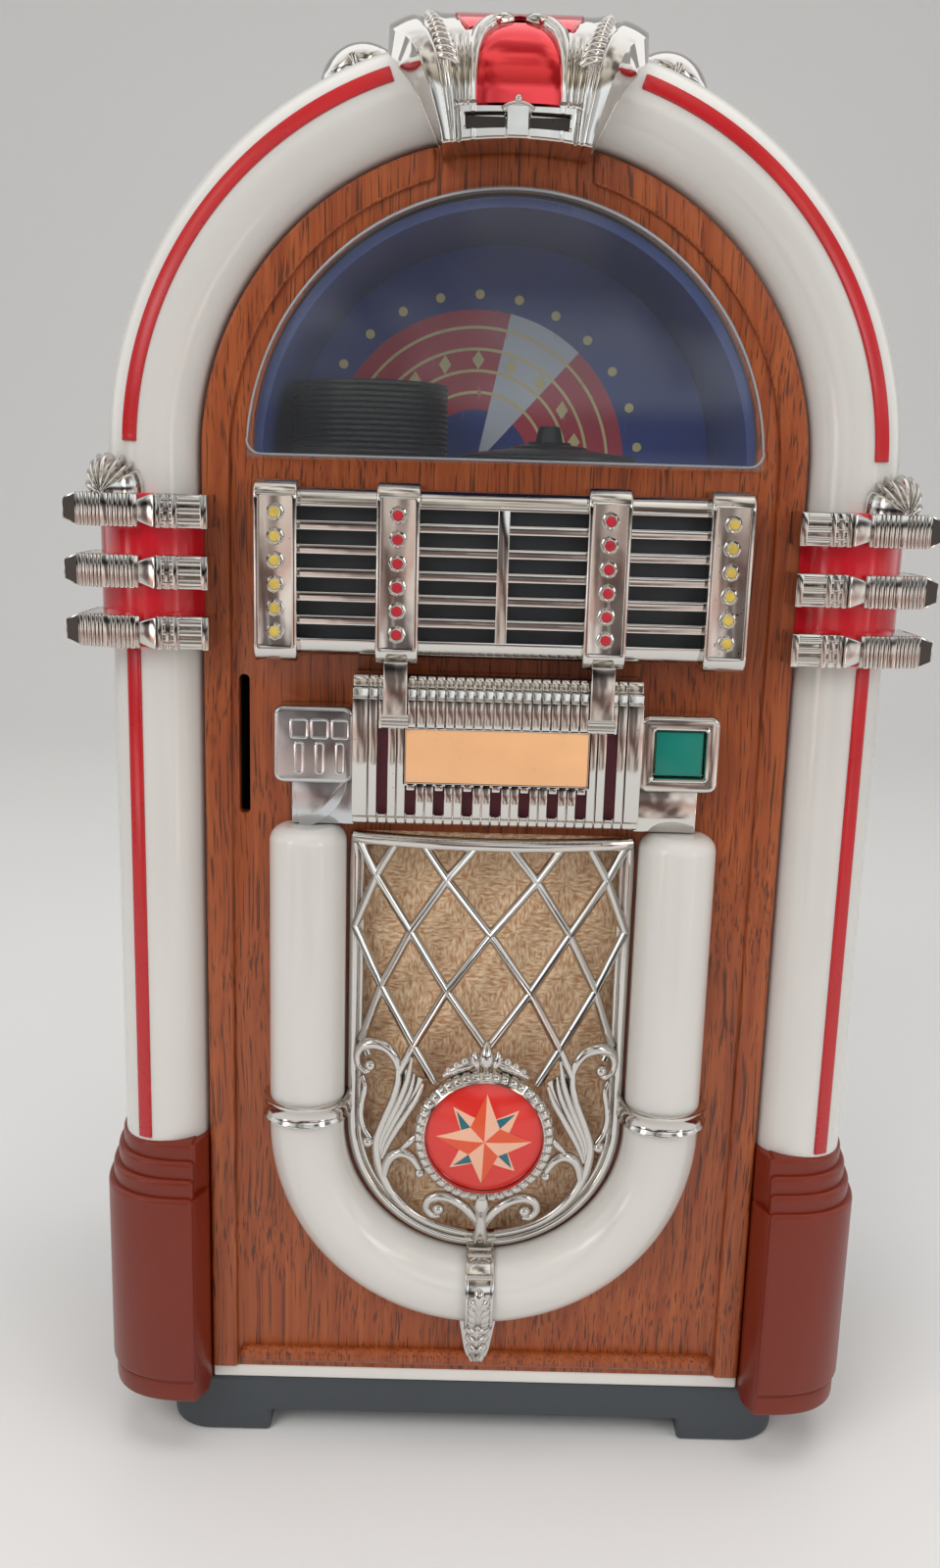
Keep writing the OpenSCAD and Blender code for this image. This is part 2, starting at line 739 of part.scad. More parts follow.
// Turns a profile in radius and out about the arch centre, from angle a0 to a1
module sweep_arch(z, a0, a1) {
    translate([0, face_y, z]) rotate([90, 0, 0]) rotate([0, 0, a0])
        rotate_extrude(angle = a1 - a0) children();
}

// Points the Z axis away from the arch centre, leaning by angle a
module radial(a) {
    translate([0, face_y + knob_s, arch_z]) rotate([0, a, 0]) children();
}

// Draws a shape on both sides of the middle plane
module both_sides() {
    children();
    mirror([1, 0, 0]) children();
}

// Outline of an arch with its foot at z0
module arch2d(r, z0) {
    translate([0, arch_z]) circle(r);
    translate([-r, z0]) square([2 * r, arch_z - z0]);
}

// Half disc about the arch centre above z0
module half2d(r, z0) {
    intersection() {
        translate([0, arch_z]) circle(r);
        translate([-r, z0]) square([2 * r, 2 * r]);
    }
}

// Rectangle with round corners
module round_rect(x0, y0, x1, y1, r) {
    translate([x0 + r, y0]) square([x1 - x0 - 2 * r, y1 - y0]);
    translate([x0, y0 + r]) square([x1 - x0, y1 - y0 - 2 * r]);
    for (x = [x0 + r, x1 - r], y = [y0 + r, y1 - r]) translate([x, y]) circle(r);
}

// Profile in s and Z of a cover with round front edges
module cover_profile(out, z0, z1, r) {
    translate([-out + r, z0]) square([out - r, z1 - z0]);
    translate([-out, z0 + r]) square([r, z1 - z0 - 2 * r]);
    for (z = [z0 + r, z1 - r]) translate([-out + r, z]) circle(r);
}

// Flat bar between two points of an outline
module link2d(a, b, w) {
    d = b - a;
    translate(a) rotate(atan2(d[1], d[0])) translate([0, -w / 2]) square([norm(d), w]);
}

// Base and cabinet

module base_plinth() {
    color("#45474a") difference() {
        tower(0, base_h) round_rect(-base_half, 0, base_half, body_s, base_corner);
        tower(foot_gap_h + base_wall, base_h + over)
            round_rect(-base_half + base_wall, base_wall, base_half - base_wall, body_s - base_wall,
                base_corner - base_wall);
        slab(-over, body_s + over)
            translate([-foot_gap_half, -over]) square([2 * foot_gap_half, foot_gap_h + over]);
    }
}

module cabinet_shell() {
    color("#3a221a") difference() {
        union() {
            slab(bulk_s, cover_s) difference() {
                arch2d(shell_r, base_h);
                arch2d(shell_in, floor_z);
            }
            slab(bulk_s, bulk_s + shell_wall) difference() {
                arch2d(shell_r, base_h);
                arch2d(neck_in, floor_z + neck_sill - shell_wall);
            }
            slab(panel_t, bulk_s) difference() {
                arch2d(neck_out, base_h);
                arch2d(neck_in, floor_z + neck_sill - shell_wall);
            }
            intersection() {
                slab(cover_s - boss_l, cover_s) for (p = screw_places) translate(p) circle(boss_r);
                slab(0, cover_s) arch2d(shell_r - shell_wall / 2, base_h);
            }
        }
        slab(cover_s - boss_l + shell_wall, cover_s + over)
            for (p = screw_places) translate(p) circle(screw_r);
        for (q = [-1, 1]) radial(q * knob_a)
            translate([0, 0, neck_out]) cylinder(r = shaft_r + run_fit, h = shell_r - neck_out + over);
    }
}

// Outline of a door with its hinge at x
module door2d(x, w, z, h, gap) {
    side = sign(x);
    x0 = x + side * (cover_t / 2 + gap);
    x1 = x - side * (w + gap);
    translate([min(x0, x1), z - gap]) square([abs(x1 - x0), h + 2 * gap]);
}

module back_cover() {
    color("#33201a") difference() {
        slab(cover_s, body_s) arch2d(shell_r, base_h);
        slab(cover_s - over, body_s + over) {
            for (p = screw_places) translate(p) circle(screw_r + part_gap);
            door2d(-hinge_x, coin_door_w, coin_door_z, coin_door_h, door_gap);
            door2d(hinge_x, battery_door_w, battery_door_z, battery_door_h, door_gap);
            for (i = [0 : vent_count - 1], q = [-1, 1])
                translate([q * (vent_l / 2 + vent_pitch), vent_z + (i - (vent_count - 1) / 2) * vent_pitch])
                    round_rect(-vent_l / 2, -vent_w / 2, vent_l / 2, vent_w / 2, vent_w / 2 - over / 100);
        }
        slab(body_s - screw_head_h - part_gap, body_s + over)
            for (p = screw_places) translate(p) circle(screw_head_r + part_gap);
        hinge_pin(-hinge_x, coin_door_z, coin_door_h);
        hinge_pin(hinge_x, battery_door_z, battery_door_h);
    }
}

module cover_screws() {
    color("silver") for (p = screw_places) difference() {
        union() {
            slab(cover_s - boss_l + shell_wall + over, body_s - part_gap)
                translate(p) circle(screw_r - seat_fit);
            slab(body_s - part_gap - screw_head_h, body_s - part_gap) translate(p) circle(screw_head_r);
        }
        slab(body_s - part_gap - screw_head_h / 2, body_s + over) translate(p) {
            square([2 * screw_r, screw_r / 2], center = true);
            square([screw_r / 2, 2 * screw_r], center = true);
        }
    }
}

module hinge_pin(x, z, h) {
    translate([x, face_y + pin_s, z - pin_grip]) cylinder(r = pin_r, h = h + 2 * pin_grip);
}

module door_pins() {
    color("silver") {
        hinge_pin(-hinge_x, coin_door_z, coin_door_h);
        hinge_pin(hinge_x, battery_door_z, battery_door_h);
    }
}

// Door with a rounded hinge edge, a bore for its pin and a finger groove
module hinged_door(x, w, z, h) {
    side = sign(x);
    x1 = x - side * w;
    grip_x = x1 + side * grip_inset;
    difference() {
        union() {
            slab(cover_s, body_s) translate([min(x, x1), z]) square([w, h]);
            translate([x, face_y + pin_s, z]) cylinder(r = cover_t / 2, h = h);
        }
        translate([x, face_y + pin_s, z - over]) cylinder(r = pin_r + run_fit, h = h + 2 * over);
        slab(body_s - cover_t / 3, body_s + over)
            translate([grip_x, z + h / 2])
                round_rect(-grip_w / 2, -h / 6, grip_w / 2, h / 6, grip_w / 2 - over / 100);
    }
}

module coin_door() {
    color("#33201a") hinged_door(-hinge_x, coin_door_w, coin_door_z, coin_door_h);
}

module battery_door() {
    color("#33201a") hinged_door(hinge_x, battery_door_w, battery_door_z, battery_door_h);
}

// Front panel

module grille_outline(inset) {
    translate([0, u_z]) circle(grille_half - inset);
    translate([inset - grille_half, u_z]) square([2 * (grille_half - inset), grille_h - inset]);
}

module board_posts(r, s0, s1) {
    slab(s0, s1) for (x = [board_x0 + 2 * post_r, board_x1 - 2 * post_r])
        for (z = [board_z0 + 2 * post_r, board_z1 - 2 * post_r]) translate([x, z]) circle(r);
}

// Roll along the foot of the panel
module foot_roll(r) {
    translate([border_w - panel_edge, face_y, panel_z + bead_rise])
        rotate([0, 90, 0]) cylinder(r = r, h = 2 * (panel_edge - border_w));
}

module front_panel() {
    color("#8a4a2c") difference() {
        union() {
            slab(0, panel_t) arch2d(panel_edge, panel_z);
            slab(-border_t, panel_t / 2) difference() {
                arch2d(panel_edge, panel_z);
                arch2d(panel_edge - border_w, panel_z - over);
                translate([-border_gap, arch_z]) square([2 * border_gap, 2 * panel_half]);
            }
            intersection() {
                foot_roll(bead_r);
                slab(-panel_t, panel_t) arch2d(panel_edge, panel_z);
            }
            board_posts(post_r, panel_t / 2, board_s);
        }
        slab(-panel_t, panel_t + over) {
            half2d(bay_r - part_gap, lens_z + lens_lip);
            grille_outline(rim_w);
            translate([coin_x - coin_slot_w / 2, coin_z]) square([coin_slot_w, coin_slot_l]);
            translate([plate_x, plate_z]) circle(stem_r + run_fit);
        }
    }
}

module panel_strip() {
    color("#ece8e0") slab(0, panel_t) translate([-panel_edge, base_h]) square([2 * panel_edge, strip_h]);
}

// Record window

module window_lens() {
    color("#dfe8ee", 0.35) difference() {
        union() {
            intersection() {
                translate([0, face_y + cap_sphere - lens_bulge, arch_z]) sphere(cap_sphere, $fn = 200);
                slab(-lens_bulge - over, 0) half2d(cap_r, lens_z);
            }
            slab(-lens_flange_t, 0) half2d(lens_r, lens_z);
        }
        intersection() {
            translate([0, face_y + cap_sphere - lens_bulge, arch_z]) sphere(cap_sphere - lens_t, $fn = 200);
            slab(-lens_bulge - over, over) half2d(bay_r, lens_z + lens_lip);
        }
    }
}

module record_bay() {
    color("#d8d2c6") difference() {
        union() {
            slab(panel_t, bay_back) half2d(bay_r + bay_wall, bay_under);
            translate([disc_x, face_y + disc_s, bay_under - 2 * bay_wall])
                cylinder(r = 2 * spindle_r, h = 2 * bay_wall + over);
        }
        slab(panel_t - over, bay_back - bay_wall) half2d(bay_r, lens_z);
        translate([disc_x, face_y + disc_s, bay_under - 3 * bay_wall])
            cylinder(r = spindle_r + run_fit, h = 5 * bay_wall);
    }
}

module window_card() {
    rear = bay_back - bay_wall;
    color("#7a2a34") slab(rear - card_t, rear) half2d(bay_r - part_gap, lens_z);
}

module record_stack() {
    color("#1b1b1d") translate([stack_x, face_y + disc_s, lens_z]) rotate_extrude() {
        square([stack_r - stack_groove, stack_h]);
        for (i = [0 : stack_count - 1])
            translate([0, i * stack_pitch]) square([stack_r, 0.7 * stack_pitch]);
    }
}

module record_disc() {
    color("#1b1b1d") translate([disc_x, face_y + disc_s, platter_z]) difference() {
        union() {
            cylinder(r = disc_r, h = disc_t);
            translate([0, 0, disc_t]) cylinder(r1 = disc_r - over, r2 = disc_hub_r, h = disc_cone_h);
        }
        translate([0, 0, -over]) cylinder(r = spindle_r + seat_fit, h = disc_t + disc_cone_h + 2 * over);
    }
}

module turntable_shaft() {
    spindle_z = disc_z + disc_cone_h;
    color("#26262a") translate([disc_x, face_y + disc_s, 0]) {
        translate([0, 0, wheel_z]) cylinder(r = spindle_r, h = spindle_z - wheel_z);
        translate([0, 0, wheel_z]) cylinder(r = wheel_r, h = wheel_t);
        translate([0, 0, lens_z + platter_gap]) cylinder(r = disc_r / 2, h = disc_gap - platter_gap);
        translate([0, 0, spindle_z]) cylinder(r1 = spindle_r, r2 = 0.75 * spindle_r, h = spindle_tip);
    }
}

module record_motor() {
    color("#9a9ca0") translate([motor_x, face_y + disc_s, motor_z]) difference() {
        cylinder(r = motor_r, h = motor_h);
        translate([0, 0, -over]) cylinder(r = motor_shaft_r + run_fit, h = motor_h / 2 + over);
    }
}

module drive_roller() {
    color("#2a2a2c") translate([motor_x, face_y + disc_s, wheel_z]) {
        cylinder(r = roller_r, h = wheel_t);
        cylinder(r = motor_shaft_r, h = motor_z - wheel_z + motor_h / 3);
    }
}

// Arch tubes, stripes, shoes and clasps

module arch_tube() {
    difference() {
        union() {
            translate([tube_x, face_y + tube_s, shoe_top]) cylinder(r = tube_r, h = arch_z - shoe_top);
            sweep_arch(arch_z, 0, tube_end_a) translate([tube_x, -tube_s]) circle(tube_r);
        }
        translate([tube_x, face_y + tube_s, shoe_top - over])
            cylinder(r = tube_r - tube_wall, h = arch_z - shoe_top + over);
        sweep_arch(arch_z, 0, 90) translate([tube_x, -tube_s]) circle(tube_r - tube_wall);
    }
}

module right_arch_tube() { color("#ece8e0") arch_tube(); }

module left_arch_tube() { color("#ece8e0") mirror([1, 0, 0]) arch_tube(); }

// Section of a stripe on the tube, with out upward
module stripe2d() {
    reach = 2 * tube_r;
    spread = reach * tan(stripe_half_a);
    rotate(-stripe_a) intersection() {
        difference() {
            circle(tube_r + stripe_t);
            circle(tube_r + seat_fit / 2);
        }
        polygon([[0, 0], [spread, reach], [-spread, reach]]);
    }
}

module red_stripes() {
    start_a = asin((bar_top + fan_h + 3 * stripe_gap - arch_z) / tube_x);
    color("#c41e24") both_sides() {
        sweep_arch(arch_z, start_a, 90 - stripe_end_a) translate([tube_x, -tube_s]) stripe2d();
        tower(shoe_top + stripe_gap, bar_foot - stripe_gap)
            translate([tube_x, tube_s]) mirror([0, 1]) stripe2d();
    }
}

module tube_lamps() {
    color("#fff2d0") both_sides() translate([tube_x, face_y + tube_s, shoe_top]) {
        cylinder(r = 0.8 * lamp_r, h = lamp_h);
        translate([0, 0, lamp_h]) sphere(lamp_r);
    }
}

// Plan of one ring of a shoe
module shoe2d(r) {
    cheek_r = tube_x + r - shoe_cheek_x;
    difference() {
        union() {
            translate([tube_x, tube_s]) circle(r);
            translate([tube_x, tube_s]) square([r, shoe_cheek_s - tube_s]);
            translate([shoe_cheek_x, shoe_cheek_s]) circle(cheek_r);
        }
        translate([0, bulk_s]) square([shoe_cheek_x, body_s]);
        translate([0, -body_s]) square([panel_half, 2 * body_s]);
    }
}

module shoe() {
    ring_foot = shoe_top - 3 * shoe_ring_h;
    difference() {
        union() {
            tower(base_h, base_h + shoe_groove_z) shoe2d(shoe_r);
            tower(base_h, ring_foot) shoe2d(shoe_r - shoe_groove);
            tower(base_h + shoe_groove_z + shoe_groove, ring_foot) shoe2d(shoe_r);
            for (i = [1 : 3]) tower(ring_foot - over, ring_foot + i * shoe_ring_h)
                shoe2d(shoe_r - i * shoe_step);
        }
        translate([tube_x, face_y + tube_s, base_h - over])
            cylinder(r = tube_r - shoe_wall, h = ring_foot - base_h);
    }
}

module right_shoe() { color("#8a3a22") shoe(); }

module left_shoe() { color("#8a3a22") mirror([1, 0, 0]) shoe(); }

// Plan of a clasp bar round the sleeve, with flutes on its outer front
module bar2d() {
    x0 = panel_half - bar_lap;
    shoulder = [tube_x + block_in, -bar_out];
    corner = [tube_x + block_out, block_drop - bar_out];
    cheek = [tube_x + cheek_out, cheek_drop - bar_out];
    tip = [tube_x + bar_tip, tube_s - tip_set];
    inner = [tube_x - wedge_in, wedge_drop - bar_out];
    difference() {
        union() {
            polygon([[x0, -border_t], [x0, bar_in_drop - bar_out], inner, shoulder, corner, cheek, tip,
                [tube_x + cheek_out, bar_back], [tube_x, bar_back], [tube_x, -border_t]]);
            for (t = [0.15 : 0.28 : 1]) translate(shoulder + t * (corner - shoulder)) circle(flute_r);
            for (t = [0.15 : 0.35 : 1]) translate(corner + t * (cheek - corner)) circle(flute_r);
        }
        translate([tube_x, tube_s]) circle(sleeve_r + seat_fit);
    }
}

// Dome of the shell ornament, hollowed where it lies on the tube
module shell_fan() {
    side_h = fan_h - fan_half;
    difference() {
        translate([fan_x, face_y - bar_out + fan_set, bar_top]) rotate_extrude() intersection() {
            union() {
                translate([0, side_h]) circle(fan_half);
                square([fan_half, side_h]);
            }
            square([fan_half, fan_h]);
        }
        translate([tube_x, face_y + tube_s, bar_top - over])
            cylinder(r = tube_r + seat_fit, h = fan_h + 2 * over);
    }
}

module band_clasp() {
    rib_l = bar_lap + tube_r - wedge_in;
    for (i = [0 : bar_count - 1]) {
        z = bar_top - bar_h - i * bar_pitch;
        tower(z, z + bar_h) bar2d();
        for (k = [-1 : 1])
            translate([panel_half - bar_lap, face_y + bar_in_drop - bar_out, z + bar_h / 2 + rib_pitch * k])
                rotate([0, 90, -atan2(bar_in_drop - wedge_drop, rib_l)]) cylinder(r = rib_r, h = rib_l);
    }
    shell_fan();
}

module right_band_clasp() { color(chrome) band_clasp(); }

module left_band_clasp() { color(chrome) mirror([1, 0, 0]) band_clasp(); }

module band_sleeves() {
    color("#c41e24") both_sides() tower(bar_foot, bar_top) difference() {
        translate([tube_x, tube_s]) circle(sleeve_r);
        translate([tube_x, tube_s]) circle(tube_r + seat_fit);
        translate([0, -border_t]) square([tube_x, body_s]);
        translate([tube_x, bar_back]) square([tube_x, body_s]);
    }
}

// Crest

// Outline of the crest, or of a ray from its root when two slopes are given
module crest2d(k0, k1) {
    h0 = crest_z - crest_root;
    h1 = crest_z + crest_h + over - crest_root;
    top = crest_root + h1;
    polygon([[k0 * h0, crest_z], [k1 * h0, crest_z], [k1 * h1, top], [k0 * h1, top]]);
}

// Rounded barrel that the crest is cut from
module crest_barrel(r) {
    translate([-crest_head - over, face_y + crest_mid_s, crest_mid_z])
        rotate([0, 90, 0]) cylinder(r = r, h = 2 * (crest_head + over));
}

module crest_lens2d(gap) {
    polygon([[-crest_lens_foot - gap, crest_z + crest_lens_rise - gap],
        [crest_lens_foot + gap, crest_z + crest_lens_rise - gap],
        [crest_lens_head + gap, crest_z + crest_lens_rise + crest_lens_h + gap],
        [-crest_lens_head - gap, crest_z + crest_lens_rise + crest_lens_h + gap]]);
}

module top_crest() {
    ray = crest_slope;
    half_rib = crest_rib_w / 2 / (crest_z + crest_h - crest_root);
    color(chrome) difference() {
        union() {
            intersection() {
                crest_barrel(crest_round - crest_rib);
                slab(-crest_front - over, bulk_s) crest2d(-ray, ray);
            }
            intersection() {
                crest_barrel(crest_round);
                slab(-crest_front - over, bulk_s) for (q = [-1, 1]) {
                    for (t = crest_rays) crest2d(q * ray * t - half_rib, q * ray * t + half_rib);
                    crest2d(q * ray - 2 * half_rib, q * ray + 2 * half_rib);
                }
            }
            for (q = [-1, 1], i = [0 : crest_bead_count - 1]) {
                a = 90 * i / crest_bead_count;
                z = crest_mid_z + (crest_round - crest_bead_r) * sin(a);
                x = q * crest_bead_ray * ray * (z - crest_root);
                translate([x, face_y + crest_mid_s - (crest_round - crest_bead_r) * cos(a), z])
                    sphere(crest_bead_r, $fn = 24);
            }
        }
        sweep_arch(arch_z, 0, 180) translate([tube_x, -tube_s]) circle(tube_r + seat_fit);
        slab(0, bulk_s + over) arch2d(panel_half, 0);
        slab(tube_s, bulk_s + over) arch2d(tube_x, 0);
        slab(-border_t, over / 100) difference() {
            arch2d(panel_half, 0);
            translate([-border_gap, 0]) square([2 * border_gap, 2 * arch_z]);
        }
        intersection() {
            difference() {
                crest_barrel(crest_round + over);
                crest_barrel(crest_round - crest_rib - crest_lens_t);
            }
            slab(-crest_front - over, 0) crest_lens2d(seat_fit);
        }
        slab(-crest_front - over, -crest_front + crest_lens_t + over)
            for (q = [-1, 1]) translate([q * crest_slot_x, crest_z + crest_slot_rise + crest_slot_h / 2])
                square([crest_slot_w, crest_slot_h], center = true);
    }
}

module crest_lens() {
    color("#c41e24") intersection() {
        difference() {
            crest_barrel(crest_round);
            crest_barrel(crest_round - crest_rib - crest_lens_t + seat_fit);
        }
        slab(-crest_front - over, 0) crest_lens2d(0);
    }
}

// Selector

module selector_frame() {
    color(chrome) difference() {
        union() {
            beam(-selector_half, selector_half) cover_profile(bar_out_s, selector_z0 + strap_step,
                selector_z1 - strap_step, selector_round);
            for (x = [strap_in_x, strap_out_x]) both_sides() beam(x - strap_w / 2, x + strap_w / 2)
                cover_profile(strap_out, selector_z0, selector_z1, selector_round);
        }
        slab(selector_face - bar_out_s, over)
            translate([-strap_out_x, selector_z0 + 2 * strap_step])
                square([2 * strap_out_x, selector_h - 4 * strap_step]);
        slab(-strap_out - over, 0) for (x = slot_x, z = slot_z) translate([x, z])
            square([slot_w, slot_h], center = true);
    }
}

// Tray behind a slotted face, standing on the panel
module backing(half, z0, z1, out, t) {
    slab(-out, t - out) translate([-half, z0]) square([2 * half, z1 - z0]);
    slab(-out, 0) for (x = [-half, half - t]) translate([x, z0]) square([t, z1 - z0]);
}

module selector_backing() {
    color("#2c2d30") backing(strap_out_x - part_gap, selector_z0 + 2 * strap_step + part_gap,
        selector_z1 - 2 * strap_step - part_gap, bar_out_s - selector_face - part_gap, backing_t);
}

module pips(x) {
    both_sides() for (z = slot_z) translate([x, face_y + pip_s, z]) rotate([90, 0, 0])
        cylinder(r1 = pip_r, r2 = 0.8 * pip_r, h = pip_h);
}

module yellow_pips() { color("#e8c020") pips(strap_out_x); }

module red_pips() { color("#c41e24") pips(strap_in_x); }

// Nameplate

module nameplate_housing() {
    color(chrome) difference() {
        union() {
            beam(-name_half, name_half) cover_profile(name_out, name_z0, name_z1, name_round);
            both_sides() beam(strap_in_x - hanger_w / 2, strap_in_x + hanger_w / 2) {
                translate([-name_out - hanger_t, name_z1 - hanger_drop])
                    square([hanger_t + name_round, hanger_drop + name_gap - part_gap]);
                translate([-name_out, name_z1 - hanger_drop]) circle(1.5 * hanger_t);
            }
        }
        slab(name_face - name_out, over) translate([-name_half + name_face, name_z0 + name_slot_rise])
            square([2 * (name_half - name_face), name_h - 2 * name_slot_rise]);
        slab(-name_out - over, label_t - name_out) translate([-label_half, name_z0 + label_rise])
            square([2 * label_half, label_h]);
        slab(-name_out - over, 0) {
            for (i = [0 : name_slot_count - 1])
                translate([(i - (name_slot_count - 1) / 2) * name_slot_pitch - name_slot_w / 2,
                    name_z0 + name_slot_rise]) square([name_slot_w, name_slot_h]);
            for (q = [-1, 1])
                translate([q * name_side_x - name_slot_w / 2, name_z0 + name_slot_rise])
                    square([name_slot_w, label_rise + label_h - name_slot_rise]);
        }
    }
}

module nameplate_backing() {
    color("#5e2a33") backing(name_half - name_face - part_gap, name_z0 + name_slot_rise + part_gap,
        name_z1 - name_slot_rise - part_gap, name_out - name_face - part_gap, backing_t);
}

module label_plate() {
    color("#f5be85") slab(-name_out, label_t - name_out)
        translate([seat_fit - label_half, name_z0 + label_rise + seat_fit])
            square([2 * (label_half - seat_fit), label_h - 2 * seat_fit]);
}

// Coin and button side

module side_plate() {
    slab(-plate_out, 0) round_rect(plate_in, plate_z0, plate_reach, plate_z1, plate_round);
    slab(-bracket_out, 0) translate([plate_in, bracket_z]) square([bracket_w, bracket_h + plate_round]);
}

module coin_panel() {
    color(chrome) mirror([1, 0, 0]) {
        side_plate();
        slab(-plate_out - emboss_t, -plate_out) for (i = [-1 : 1]) {
            translate([plate_x + i * emboss_pitch, plate_z + emboss_rise]) square(emboss_w, center = true);
            translate([plate_x + i * emboss_pitch, plate_z - emboss_rise])
                square([emboss_w / 2, 2 * emboss_w], center = true);
        }
    }
}

module button_bezel() {
    color(chrome) difference() {
        side_plate();
        slab(-plate_out - over, over) translate([plate_x, plate_z])
            square([button_w + 2 * button_gap, button_h + 2 * button_gap], center = true);
    }
}

module select_button() {
    cap_back = button_travel + part_gap;
    stem_end = board_s - switch_h - plunger_h - button_travel - part_gap;
    color("#0e8a6a") {
        slab(button_sink - plate_out, -cap_back) translate([plate_x, plate_z])
            square([button_w, button_h], center = true);
        slab(-cap_back - over, stem_end) translate([plate_x, plate_z]) circle(stem_r);
    }
}

module button_switch() {
    color("#26262a") {
        slab(board_s - switch_h, board_s) translate([plate_x, plate_z]) square(switch_w, center = true);
        slab(board_s - switch_h - plunger_h, board_s - switch_h / 2)
            translate([plate_x, plate_z]) circle(stem_r);
    }
}

module circuit_board() {
    color("#1f6b3a") slab(board_s, board_s + board_t)
        translate([board_x0, board_z0]) square([board_x1 - board_x0, board_z1 - board_z0]);
}

// Profile in s and Z of the coin chute, drawn in by a wall
module chute2d(inset) {
    top = coin_z + coin_slot_l + chute_wall - inset;
    foot = floor_z + coin_box_h;
    low = foot - (inset > 0 ? over : 0);
    lip_s = bulk_s + shell_wall + coin_box_wall + inset;
    back_s = panel_t + chute_depth - inset;
    polygon([[panel_t + inset, top], [back_s, top], [back_s, low], [lip_s, low], [lip_s, foot + chute_foot],
        [panel_t + inset, coin_z - chute_fall]]);
}

module coin_chute() {
    half = chute_in / 2;
    color("#c8c2b4") difference() {
        beam(coin_x - half - chute_wall, coin_x + half + chute_wall) chute2d(0);
        beam(coin_x - half, coin_x + half) chute2d(chute_wall);
        slab(panel_t - over, panel_t + 2 * chute_wall)
            translate([coin_x - half, coin_z]) square([chute_in, coin_slot_l]);
    }
}

module coin_box() {
    s0 = bulk_s + shell_wall;
    color("#c8c2b4") difference() {
        tower(floor_z, floor_z + coin_box_h)
            translate([-coin_box_out, s0]) square([coin_box_w, cover_s - s0]);
        tower(floor_z + coin_box_wall, floor_z + coin_box_h + over)
            translate([coin_box_wall - coin_box_out, s0 + coin_box_wall])
                square([coin_box_w - 2 * coin_box_wall, cover_s]);
    }
}

// Batteries

module battery_box() {
    color("#26262a") difference() {
        slab(cover_s - battery_depth, cover_s)
            translate([battery_x0, battery_z0]) square([battery_x1 - battery_x0, battery_z1 - battery_z0]);
        slab(cover_s - battery_depth + battery_wall, cover_s + over)
            translate([battery_x0 + battery_wall, battery_z0 + battery_wall])
                square([battery_x1 - battery_x0 - 2 * battery_wall,
                    battery_z1 - battery_z0 - 2 * battery_wall]);
    }
}

module battery_cells() {
    mid_x = (battery_x0 + battery_x1) / 2;
    color("#b08d3a") for (i = [0 : cell_count - 1])
        translate([mid_x - cell_l / 2, face_y + cover_s - battery_depth + battery_wall + cell_r + part_gap,
            battery_z0 + battery_wall + part_gap + cell_r + i * cell_pitch]) rotate([0, 90, 0]) {
            cylinder(r = cell_r, h = cell_l - cell_nub);
            cylinder(r = cell_r / 3, h = cell_l);
        }
}

// Speaker, grille and U tube

// Section of the U tube in radius and out, cut flat at the panel face
module u2d(r) {
    intersection() {
        translate([0, u_out]) circle(r);
        translate([-r, 0]) square([2 * r, 2 * r + u_out]);
    }
}

module upper_tubes() {
    h = u_top - u_joint_z;
    color("#ece8e0") both_sides() intersection() {
        translate([u_x, face_y - u_out, u_joint_z]) rotate_extrude() {
            square([u_r, h - u_cap]);
            square([u_r - u_cap, h]);
            translate([u_r - u_cap, h - u_cap]) circle(u_cap);
        }
        slab(-u_out - u_r - over, 0) translate([u_x - u_r, u_joint_z]) square([2 * u_r, h]);
    }
}

module u_bend() {
    color("#ece8e0") {
        sweep_arch(u_z, 180, 360) translate([u_x, 0]) u2d(u_r);
        both_sides() tower(u_z, u_joint_z) translate([u_x, 0]) mirror([0, 1]) u2d(u_r);
    }
}

module tube_collars() {
    z0 = u_joint_z - collar_h / 2;
    tab_out = grille_edge + tab_rise;
    color(chrome) both_sides() tower(z0, z0 + collar_h) difference() {
        union() {
            translate([u_x, 0]) mirror([0, 1]) u2d(u_r + collar_t);
            translate([grille_half - tab_lap, -tab_out - tab_t]) square([u_x - grille_half, tab_t]);
        }
        translate([u_x, 0]) mirror([0, 1]) u2d(u_r + seat_fit);
        translate([u_x - u_r, -u_out]) square([2 * u_r, 2 * u_r]);
        translate([0, -grille_edge - over]) square([grille_half + part_gap, grille_edge + 2 * over]);
    }
}

module lattice2d() {
    last = len(lattice_cols) - 1;
    foot = len(lattice_rows) - 1;
    for (r = [0 : foot - 1], c = [0 : last], step = [-1, 1])
        if ((r + c) % 2 == 0 && c + step >= 0 && c + step <= last)
            link2d([lattice_cols[c], u_z + lattice_rows[r]],
                [lattice_cols[c + step], u_z + lattice_rows[r + 1]], lattice_w);
    link2d([0, u_z + lattice_rows[foot]], [0, u_z], lattice_w);
    link2d([lattice_cols[2], u_z + lattice_rows[foot]], [0.8 * medal_r, u_z + 0.6 * medal_r], lattice_w);
}

